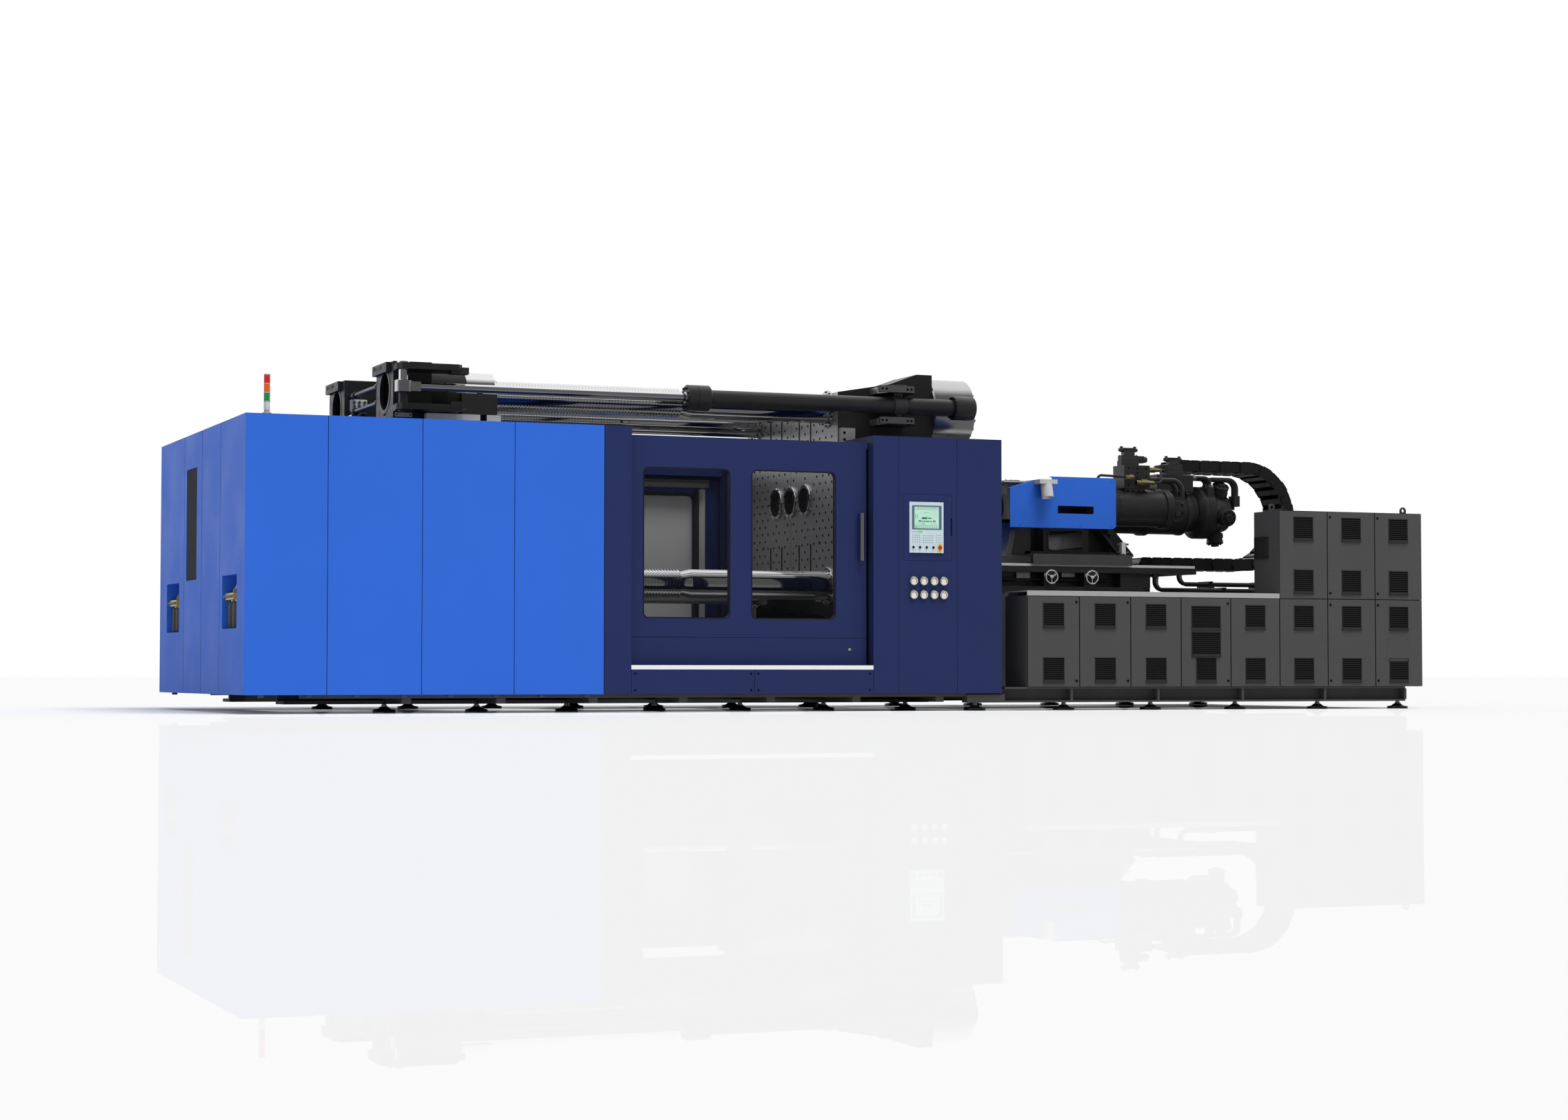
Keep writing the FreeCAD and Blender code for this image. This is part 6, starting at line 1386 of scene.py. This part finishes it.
def make_feed_trim():
    """Drain spout, screws of the feed block and cover, and the chrome throat collar."""
    feed = Shape("satin silver", "bolt", "cover blue")
    top = 2.256
    lean = Vector((0, 0.22, 1)).normalized()
    foot = Vector((THROAT_X, -0.764, top - 0.180))
    spout_tube(feed.use("satin silver"), foot, lean, 0.165, 0.0600, 0.0520)
    base = (COLUMN_X + 2.092, COLUMN_X + 2.682)
    for x in (base[0] + 0.04, base[1] - 0.04):
        for y in (-0.44, -0.25, 0.05, 0.25):
            feed.use("bolt").bolt((x, y), "Z", top, 1, 0.009)
    for side in (-1, 1):
        for x, z in ((-0.25, 1.815), (0.42, 1.815), (0.78, 1.815), (0.78, 2.262), (0.12, 2.262)):
            feed.use("cover blue").boss(0.008, 0.003, 0.0045, 0.005, (THROAT_X + x, z), "Y",
                side * 0.660, side, 20)
    feed.piece("feed_fittings", "carriage", crease=40)
    slide = Shape("chrome")
    z = top + 0.0225
    slide.use("chrome").turned([(0, 0.0605), (0, 0.0800), (0.014, 0.0805), (0.0185, 0.076),
        (0.0185, 0.0605)], (THROAT_X, 0), "Z", z, 1, 56)
    slide.piece("throat_collar", "hopper_slide")


def spout_tube(shape, foot, way, reach, outer, inner):
    """A short leaning tube, open at both ends."""
    side = Vector((1, 0, 0))
    other = way.cross(side)
    rings = []
    for t, r in ((0, inner), (0, outer), (reach, outer), (reach, inner)):
        rings.append([shape.vert(foot + way * t + side * (r * math.cos(2 * math.pi * k / 40))
            + other * (r * math.sin(2 * math.pi * k / 40))) for k in range(40)])
    for near, far in zip(rings, rings[1:] + rings[:1]):
        for k in range(40):
            shape.face([near[k - 1], near[k], far[k], far[k - 1]])


def make_handwheels():
    for side, place in WHEEL_PLACES.items():
        x, y, z = COLUMN_X + place - 0.045, -0.790, WHEEL_Z
        wheel = Shape("satin silver", "dark steel", "button black")
        rim = []
        for k in range(13):
            a = 2 * math.pi * k / 12
            rim.append((0.0065 * math.sin(a), 0.0645 + 0.0065 * math.cos(a)))
        wheel.use("satin silver").turned(rim, (x, z), "Y", y, 1, 56)
        wheel.turned([(-0.009, 0), (-0.009, 0.013), (-0.006, 0.018), (0.006, 0.018),
            (0.014, 0.014), (0.014, 0)], (x, z), "Y", y, 1, 36)
        for turn in (60, 180, 300):
            a = math.radians(turn)
            way = Vector((math.sin(a), 0, math.cos(a)))
            wheel.tube([Vector((x, y, z)) + way * 0.012, Vector((x, y, z)) + way * 0.062], 0.0045,
                12)
        wheel.use("dark steel").rod((x, z), "Y", y, -0.702, 0.012, 0.001)
        wheel.use("button black").turned([(0.0, 0), (0.0, 0.004), (0.006, 0.004), (0.008, 0.0065),
            (0.020, 0.0070), (0.0235, 0.0050), (0.024, 0)], (x + 0.042, z - 0.048), "Y",
            y - 0.0062, -1, 24)
        wheel.piece("handwheel_rim_" + side, "handwheel_" + side,
            ["handwheel_" + side])


def make_bed_trim():
    """Bright strips of the rails, bosses behind the handwheels, and the pedestal's fittings."""
    bed = Shape("machine black", "pale grey", "bolt", "satin silver", "zinc")
    for side in (-1, 1):
        bed.use("satin silver").box(RAIL_X, (side * 0.7 - 0.0305, side * 0.7 + 0.0305),
            (1.3900, 1.4252))
        x = RAIL_X[0] + 0.08
        while x < RAIL_X[1] - 0.05:
            bed.use("bolt").disc(0.010, MARK, (x, side * 0.700), "Z", 1.4253, 1, 12)
            x += 0.12
    for place in WHEEL_PLACES.values():
        x = COLUMN_X + place
        bed.use("machine black").turned([(0, 0.052), (0.010, 0.052), (0.014, 0.046),
            (0.014, 0.020)], (x - 0.045, WHEEL_Z), "Y", -0.750, -1, 32)
        bed.use("bolt").bolt_ring((x - 0.045, WHEEL_Z), "Y", -0.764, -1, 0.036, 4, 0.006,
            math.pi / 4)
        bed.use("pale grey").box((x - 0.108, x - 0.074), (-0.7515, -0.70), (1.302, 1.336))
        bed.box((x - 0.012, x + 0.018), (-0.7515, -0.70), (1.302, 1.336))
    for x in (RAIL_X[0] + 0.3, RAIL_X[0] + 0.9, RAIL_X[0] + 1.5, RAIL_X[0] + 2.0):
        bed.use("bolt").bolt((x, -0.735), "Z", 1.200, 1, 0.010)
    bed.use("machine black").box((RAIL_X[0] + 0.020, RAIL_X[0] + 1.920), (-0.610, -0.600),
        (1.195, 1.395))
    bed.use("zinc").box((COLUMN_X + 2.140, COLUMN_X + 2.290), (-0.655, -0.612), (1.255, 1.340))
    bed.box((COLUMN_X + 2.640, COLUMN_X + 2.790), (-0.655, -0.612), (1.300, 1.350))
    bed.use("machine black").rod((-0.640, 1.270), "X", RAIL_X[0] + 0.080, RAIL_X[0] + 1.700, 0.020,
        0.002)
    bed.piece("rail_fittings", "frame", edge=0.0006)
    cast = Shape("machine black", "bolt", "base grey", "satin silver", "satin black", "zinc")
    deck_x = COLUMN_X + 2.255
    for x in (0.06, 0.20, 0.90, 1.06):
        for y in (-0.70, 0.70):
            cast.use("bolt").bolt((deck_x + x, y), "Z", DECK_Z, 1, 0.012)
    outer = rounded_outline((deck_x + 0.296, 1.561), (deck_x + 0.704, 1.779), 0.044)
    inner = rounded_outline((deck_x + 0.310, 1.575), (deck_x + 0.690, 1.765), 0.030)
    for y in (-0.528, 0.520):
        seal_ring(cast.use("machine black"), outer, inner, y, y + 0.008)
    cast.use("base grey").box((deck_x + 0.010, deck_x + 1.120), (-0.772, -0.7605), (1.418, 1.520))
    cast.use("satin silver").box((deck_x + 1.105, deck_x + 1.150), (-0.585, -0.530),
        (1.535, 1.660))
    for z in (1.560, 1.640):
        cast.use("zinc").rod((-0.558, z), "X", deck_x + 1.060, deck_x + 1.195, 0.010, 0.001)
    wing = [(deck_x - 0.105, DECK_Z), (deck_x + 0.110, DECK_Z), (deck_x + 0.110, 1.790),
        (deck_x - 0.050, 1.765)]
    cast.use("satin black").prism(wing, "Y", -0.520, -0.400)
    gusset = [(deck_x + 1.045, DECK_Z), (deck_x + 1.320, DECK_Z), (deck_x + 1.310, 1.545),
        (deck_x + 1.080, 1.800), (deck_x + 1.045, 1.800)]
    cast.use("machine black").prism(gusset, "Y", -0.450, -0.200)
    for y in (-0.50, -0.30, 0.30, 0.50):
        for z in span(AXIS_Z, 0.20):
            cast.use("bolt").bolt((y, z), "X", HOUSING_X - 0.060, -1, 0.014)
    cast.piece("pedestal_fittings", "carriage")


def chain_place(distance):
    """Point and direction on the chain's middle line, from its upper end."""
    run = CHAIN_BEND_X - CHAIN_X
    if distance < run:
        return Vector((CHAIN_X + distance, 0, CHAIN_LOW + 2 * CHAIN_R)), 0.0
    turn = (distance - run) / CHAIN_R
    if turn < math.pi:
        x, z = CHAIN_R * math.sin(turn), CHAIN_R * math.cos(turn)
        return Vector((CHAIN_BEND_X + x, 0, CHAIN_LOW + CHAIN_R + z)), turn
    return Vector((CHAIN_BEND_X - (distance - run - math.pi * CHAIN_R), 0, CHAIN_LOW)), math.pi


def make_energy_chain():
    """Links of the energy chain: side plates with pins, and cross bars."""
    chain = Shape("chain plastic", "dark steel")
    count = sizes().chain_links
    pitch = CHAIN_LENGTH / count
    for i in range(count):
        place, turn = chain_place((i + 0.5) * pitch)
        chain.at = Matrix.Translation(place) @ Matrix.Rotation(turn, 4, "Y")
        chain_link(chain, pitch, i % 2)
    chain.at = Matrix.Identity(4)
    for distance in (0.0, CHAIN_LENGTH):
        place, turn = chain_place(distance)
        chain.use("dark steel").rod((place.x + (0.02 if turn < 1 else 0.03), place.z), "Y", -0.098,
            0.298, 0.045, 0.005)
    chain.piece("energy_chain_links", "frame", ["energy_chain"],
        stretch=("carriage", (0.0, 0.0, 1.550), (0.0, 0.0, 2.415)))


def chain_link(shape, pitch, odd):
    """One link about the origin, with X along the chain."""
    half, tall = pitch * 0.56, 0.062
    for side, y in ((-1, -0.100), (1, 0.300)):
        inset = 0.012 if odd else 0.0
        a, b = sorted_pair(y - side * inset, y - side * (inset + 0.012))
        outline = rounded_outline((-half, -tall), (half, tall), 0.030, 4)
        shape.use("chain plastic").prism(outline, "Y", a, b)
        hub = y - side * inset
        shape.turned([(0, 0.024), (0.003, 0.024), (0.004, 0.020), (0.004, 0.012), (0.001, 0.010),
            (0.001, 0)], (pitch * 0.5, 0), "Y", min(max(hub, -0.0995), 0.2995) - side * 0.003,
            side, 20)
    for v, reach in ((-tall + 0.004, 0.030), (tall - 0.012, pitch * 0.560)):
        shape.box((-reach, reach), (-0.088, 0.288), (v, v + 0.008))
    for y in (0.02, 0.10, 0.18):
        shape.box((-0.006, 0.006), span(y, 0.003), (-tall + 0.01, tall - 0.01))


def make_pipes():
    """Rigid hydraulic pipes with their clamps."""
    pipes = Shape("machine black", "zinc", "dark steel")
    rows = ((-0.560, RAIL_X[1] - 0.370, 1.340, 1.190), (-0.300, RAIL_X[1] + 0.060, 1.400, 1.260))
    end_x = TALL_X + 0.900
    for y, x, z_top, z_low in rows:
        for i in range(4):
            px, py = x + 0.042 * i, y + 0.060 * i
            path = rounded_path([(px, py, z_top), (px, py, z_low), (end_x, py, z_low)], 0.080, 8)
            pipes.use("machine black").tube(path, 0.020, 20)
            pipes.use("zinc").turned([(0, 0.0202), (0, 0.027), (0.030, 0.027), (0.034, 0.022),
                (0.034, 0.0202)], (px, py), "Z", z_top - 0.001, -1, 6)
        for bar_x in (TALL_X + 0.200, TALL_X + 0.820):
            foot = z_low - 0.020 * math.cos(math.pi / 6)
            pipes.use("machine black").box((bar_x, bar_x + 0.060), (y - 0.035, y + 0.215),
                (1.000, foot))
            pipes.use("dark steel").box((bar_x + 0.010, bar_x + 0.050), (y - 0.030, y + 0.210),
                (z_low + 0.0195, z_low + 0.030))
    pipes.piece("pipes_and_clamps", "frame", ["hydraulic_pipes"])


# ---------------------------------------------------------------- rear strips and base trim
def make_base_trim():
    """Chute lips, track strips and bolts of the base, and strips behind the rear door."""
    trim = Shape("steel", "pale grey", "bolt", "machine black")
    for side in (-1, 1):
        trim.use("steel").box((FIXED_X - 3.70, FIXED_X - 0.10),
            sorted_pair(side * 1.0105, side * 1.1495), (0.8302, 0.8312))
        trim.use("pale grey").box((FIXED_X - 2.30, FIXED_X - 0.02),
            sorted_pair(side * 0.700, side * 0.724), (0.646, 0.652))
        trim.use("bolt")
        for i in range(26):
            x = FIXED_X - 3.95 + i * 0.155
            trim.bolt((x, side * 1.220), "Z", 0.810, 1, 0.010)
    trim.use("steel").box((SILL_X, COLUMN_X - 0.20), (1.700, 1.750), (2.252, 2.300))
    trim.use("machine black").box((SILL_X, COLUMN_X - 0.20), (1.695, 1.755),
        (2.300, 2.330))
    trim.use("pale grey").box((COLUMN_X - 0.281, COLUMN_X - 0.212), (1.790, 1.800), (0.85, 2.24))
    trim.use("machine black").box((COLUMN_X - 0.330, COLUMN_X - 0.281), (1.780, 1.800),
        (0.85, 2.24))
    trim.piece("base_strips", "frame")


# ---------------------------------------------------------------- materials of kept nodes
DRESSED = {"end_panels": "cover blue", "cover_panels_blue": "cover blue",
    "cover_panels_dark": "door blue", "front_door": "door blue", "rear_door": "door blue",
    "door_rails": "door blue", "operator_column": "door blue", "hmi_door": "door blue",
    "hmi_panel": "panel", "clamp_base_frame": "base grey", "injection_base_frame": "base grey",
    "stationary_platen": "platen", "moving_platen": "machine black",
    "half_nut_housings": "casting", "half_nuts_left": "casting", "half_nuts_right": "casting",
    "low_cabinet": "cabinet grey", "tall_cabinet": "cabinet grey", "walkway_plate": "tread",
    "carriage_rails": "machine black", "carriage": "machine black", "feed_block": "satin silver",
    "hopper_slide": "pale grey", "feed_cover": "cover blue", "screw": "chrome",
    "end_window": "smoked glass and shade", "front_windows": "glass", "rear_windows": "rear glass painted light"}


def dress_nodes():
    for node, finish in DRESSED.items():
        dress(node, finish)


# ---------------------------------------------------------------- stage
def white_where_seen(tree, plain, strength):
    """White to camera, glossy and transmission rays; plain light to the rest."""
    path = tree.nodes.new("ShaderNodeLightPath")
    seen = path.outputs["Is Camera Ray"]
    for ray in ("Is Glossy Ray", "Is Transmission Ray"):
        add = tree.nodes.new("ShaderNodeMath")
        add.operation = "MAXIMUM"
        tree.links.new(seen, add.inputs[0])
        tree.links.new(path.outputs[ray], add.inputs[1])
        seen = add.outputs[0]
    value = tree.nodes.new("ShaderNodeMapRange")
    value.inputs["To Min"].default_value = strength
    value.inputs["To Max"].default_value = 1.0
    tree.links.new(seen, value.inputs["Value"])
    tree.links.new(value.outputs["Result"], plain.inputs["Strength"])


SKY_WAY = (0.0, 1.0, 0.35)                      # from the dark side to the bright one
SKY_TONES = {"From Min": -0.15, "From Max": 0.30, "To Min": 0.12, "To Max": 1.0}


def dark_behind_camera(tree, background):
    """White all round, but metal sees the dim studio on the operator side, up to the lamps."""
    place = tree.nodes.new("ShaderNodeTexCoord")
    across = tree.nodes.new("ShaderNodeVectorMath")
    across.operation = "DOT_PRODUCT"
    across.inputs[1].default_value = SKY_WAY
    tree.links.new(place.outputs["Generated"], across.inputs[0])
    tone = tree.nodes.new("ShaderNodeMapRange")
    for socket, value in SKY_TONES.items():
        tone.inputs[socket].default_value = value
    tree.links.new(across.outputs["Value"], tone.inputs["Value"])
    path = tree.nodes.new("ShaderNodeLightPath")
    mix = tree.nodes.new("ShaderNodeMix")
    mix.data_type = "RGBA"
    mix.inputs[6].default_value = (1.0, 1.0, 1.0, 1.0)
    tree.links.new(path.outputs["Is Glossy Ray"], mix.inputs["Factor"])
    tree.links.new(tone.outputs["Result"], mix.inputs[7])
    tree.links.new(mix.outputs[2], background.inputs["Color"])


FLOOR_SIZE = 400.0                              # also how far the camera sees
FLOOR_WHITE, FLOOR_IN_METAL = 0.86, 0.16        # as seen, and as bright metal reflects it


def make_floor():
    """A white floor that mirrors the machine faintly and is dark in bright metal."""
    bpy.ops.mesh.primitive_plane_add(size=FLOOR_SIZE, location=(0, 0, 0))
    floor = bpy.context.object
    floor.name = "studio_floor"
    material = bpy.data.materials.new("studio_floor")
    material.use_nodes = True
    tree = material.node_tree
    tree.nodes.remove(tree.nodes["Principled BSDF"])
    matt = tree.nodes.new("ShaderNodeBsdfDiffuse")
    path = tree.nodes.new("ShaderNodeLightPath")
    tone = tree.nodes.new("ShaderNodeMix")
    tone.data_type = "RGBA"
    tone.inputs[6].default_value = (*[FLOOR_WHITE] * 3, 1.0)
    tone.inputs[7].default_value = (*[FLOOR_IN_METAL] * 3, 1.0)
    tree.links.new(path.outputs["Is Glossy Ray"], tone.inputs["Factor"])
    tree.links.new(tone.outputs[2], matt.inputs["Color"])
    gloss = tree.nodes.new("ShaderNodeBsdfGlossy")
    gloss.inputs["Color"].default_value = (1, 1, 1, 1)
    gloss.inputs["Roughness"].default_value = 0.0
    mix = tree.nodes.new("ShaderNodeMixShader")
    mix.inputs["Fac"].default_value = bpy.context.scene.moulding_stage.mirror
    tree.links.new(matt.outputs["BSDF"], mix.inputs[1])
    tree.links.new(gloss.outputs["BSDF"], mix.inputs[2])
    tree.links.new(mix.outputs["Shader"], tree.nodes["Material Output"].inputs["Surface"])
    floor.data.materials.append(material)


def make_lights():
    stage = bpy.context.scene.moulding_stage
    for name, way, strength, angle in (("key_lamp", (0.12, -0.34, 0.90), stage.key, 35),
            ("left_lamp", (-0.75, -0.55, 0.45), stage.side, 50)):
        lamp = bpy.data.lights.new(name, "SUN")
        lamp.energy = strength
        lamp.angle = math.radians(angle)
        item = bpy.data.objects.new(name, lamp)
        item.rotation_euler = Vector(way).to_track_quat("Z", "Y").to_euler()
        item.location = Vector(way) * 12
        item.visible_glossy = False
        bpy.context.scene.collection.objects.link(item)
    world = bpy.data.worlds.new("studio")
    bpy.context.scene.world = world
    world.use_nodes = True
    background = world.node_tree.nodes["Background"]
    dark_behind_camera(world.node_tree, background)
    white_where_seen(world.node_tree, background, stage.fill)


CAMERA_AT = (-10.7213, -25.5675, 0.350)
CAMERA_WAY = (0.38109, 0.92368, 0.03973)
CAMERA_ROLL = math.radians(0.026)
CAMERA_LENS, FILM_WIDTH = 65.07, 36.0           # millimetres


def make_camera():
    """The photograph's view, found from its vanishing lines and the machine's corners."""
    data = bpy.data.cameras.new("view")
    data.sensor_fit = "HORIZONTAL"
    data.sensor_width = FILM_WIDTH
    data.lens = CAMERA_LENS
    data.clip_end = FLOOR_SIZE
    camera = bpy.data.objects.new("view", data)
    camera.location = CAMERA_AT
    aim = Vector(CAMERA_WAY).to_track_quat("-Z", "Y")
    camera.rotation_euler = (aim.to_matrix() @ Matrix.Rotation(CAMERA_ROLL, 3, "Z")).to_euler()
    bpy.context.scene.collection.objects.link(camera)
    bpy.context.scene.camera = camera
    bpy.context.scene.view_settings.view_transform = "Standard"


# ---------------------------------------------------------------- operators
STEPS = (
    ("stage", "Stage", "Camera, lamps and floor.", (make_camera, make_lights, make_floor)),
    ("finishes", "Finishes", "Surfaces of the machine and of its kept pieces.",
     (make_finishes, dress_nodes)),
    ("tie_bars", "Tie bars", "Grooved and plain stretches of the four tie bars.",
     (make_tie_bars,)),
    ("clamp_cylinders", "Clamp cylinders", "Short cylinders behind the fixed platen.",
     (make_clamp_cylinders,)),
    ("mould_cylinders", "Mould-moving cylinders", "The two long cylinders and their trunnions.",
     (make_mould_cylinders,)),
    ("platen_rods", "Platen rods", "Pull rods, guide rods and valve of the moving platen.",
     (make_platen_rods,)),
    ("platens", "Platen details", "Sleeves, holes, slots and rings of both platens.",
     (make_platen_trim, make_mould_face)),
    ("covers", "Cover details", "Screws and tabs of the covers, and the signal tower.",
     (make_cover_trim, make_signal_tower)),
    ("doors", "Door details", "Window seals, handle and lock of the sliding doors.",
     (make_door_trim,)),
    ("operator_panel", "Operator panel", "Gauges, screen, keys and switches.",
     (make_gauges, make_operator_panel, make_panel_switches)),
    ("cabinets", "Cabinets", "Louvred doors, locks and eyes of the cabinets.",
     (make_cabinet_doors, make_cabinet_trim)),
    ("base", "Base details", "Levelling feet, strips and filter units.",
     (make_feet, make_base_trim, make_filter_units)),
    ("barrel", "Barrel", "Barrel, heater bands and nozzle.", (make_barrel,)),
    ("injection_unit", "Injection unit", "Injection cylinders, manifolds and motor.",
     (make_injection_cylinders, make_drive_unit, make_motor_hoses)),
    ("feed", "Feed section", "Throat, drain spout and cover screws.", (make_feed_trim,)),
    ("bed", "Bed", "Rails, handwheels and pedestal.", (make_bed_trim, make_handwheels)),
    ("energy_chain", "Energy chain and pipes", "Chain links and hydraulic pipes.",
     (make_energy_chain, make_pipes)),
)


def operator_for(step, label, text, makers):
    """An operator that makes one group of pieces."""
    def execute(self, context):
        for make in makers:
            make()
        return {"FINISHED"}

    return type("MOULDING_OT_" + step, (bpy.types.Operator,), {
        "bl_idname": "moulding." + step, "bl_label": label, "__doc__": text, "execute": execute})


OPERATORS = [operator_for(*step) for step in STEPS]


class MOULDING_PT_machine(bpy.types.Panel):
    """Settings and steps of the machine."""
    bl_label = "Moulding machine"
    bl_space_type = "VIEW_3D"
    bl_region_type = "UI"
    bl_category = "Moulding machine"

    def draw(self, context):
        scene = context.scene
        for group in (scene.moulding_paint, scene.moulding_sizes, scene.moulding_stage):
            for name in group.__annotations__:
                self.layout.prop(group, name)
        for made in OPERATORS:
            self.layout.operator(made.bl_idname)


CLASSES = [MachinePaint, MachineSizes, MachineStage, *OPERATORS, MOULDING_PT_machine]


def register():
    for item in CLASSES:
        bpy.utils.register_class(item)
    bpy.types.Scene.moulding_paint = PointerProperty(type=MachinePaint)
    bpy.types.Scene.moulding_sizes = PointerProperty(type=MachineSizes)
    bpy.types.Scene.moulding_stage = PointerProperty(type=MachineStage)


def unregister():
    for group in ("moulding_paint", "moulding_sizes", "moulding_stage"):
        delattr(bpy.types.Scene, group)
    for item in reversed(CLASSES):
        bpy.utils.unregister_class(item)


def main():
    register()
    for made in OPERATORS:
        step = made.bl_idname.split(".")[1]
        getattr(bpy.ops.moulding, step)()


if __name__ == "__main__":
    main()
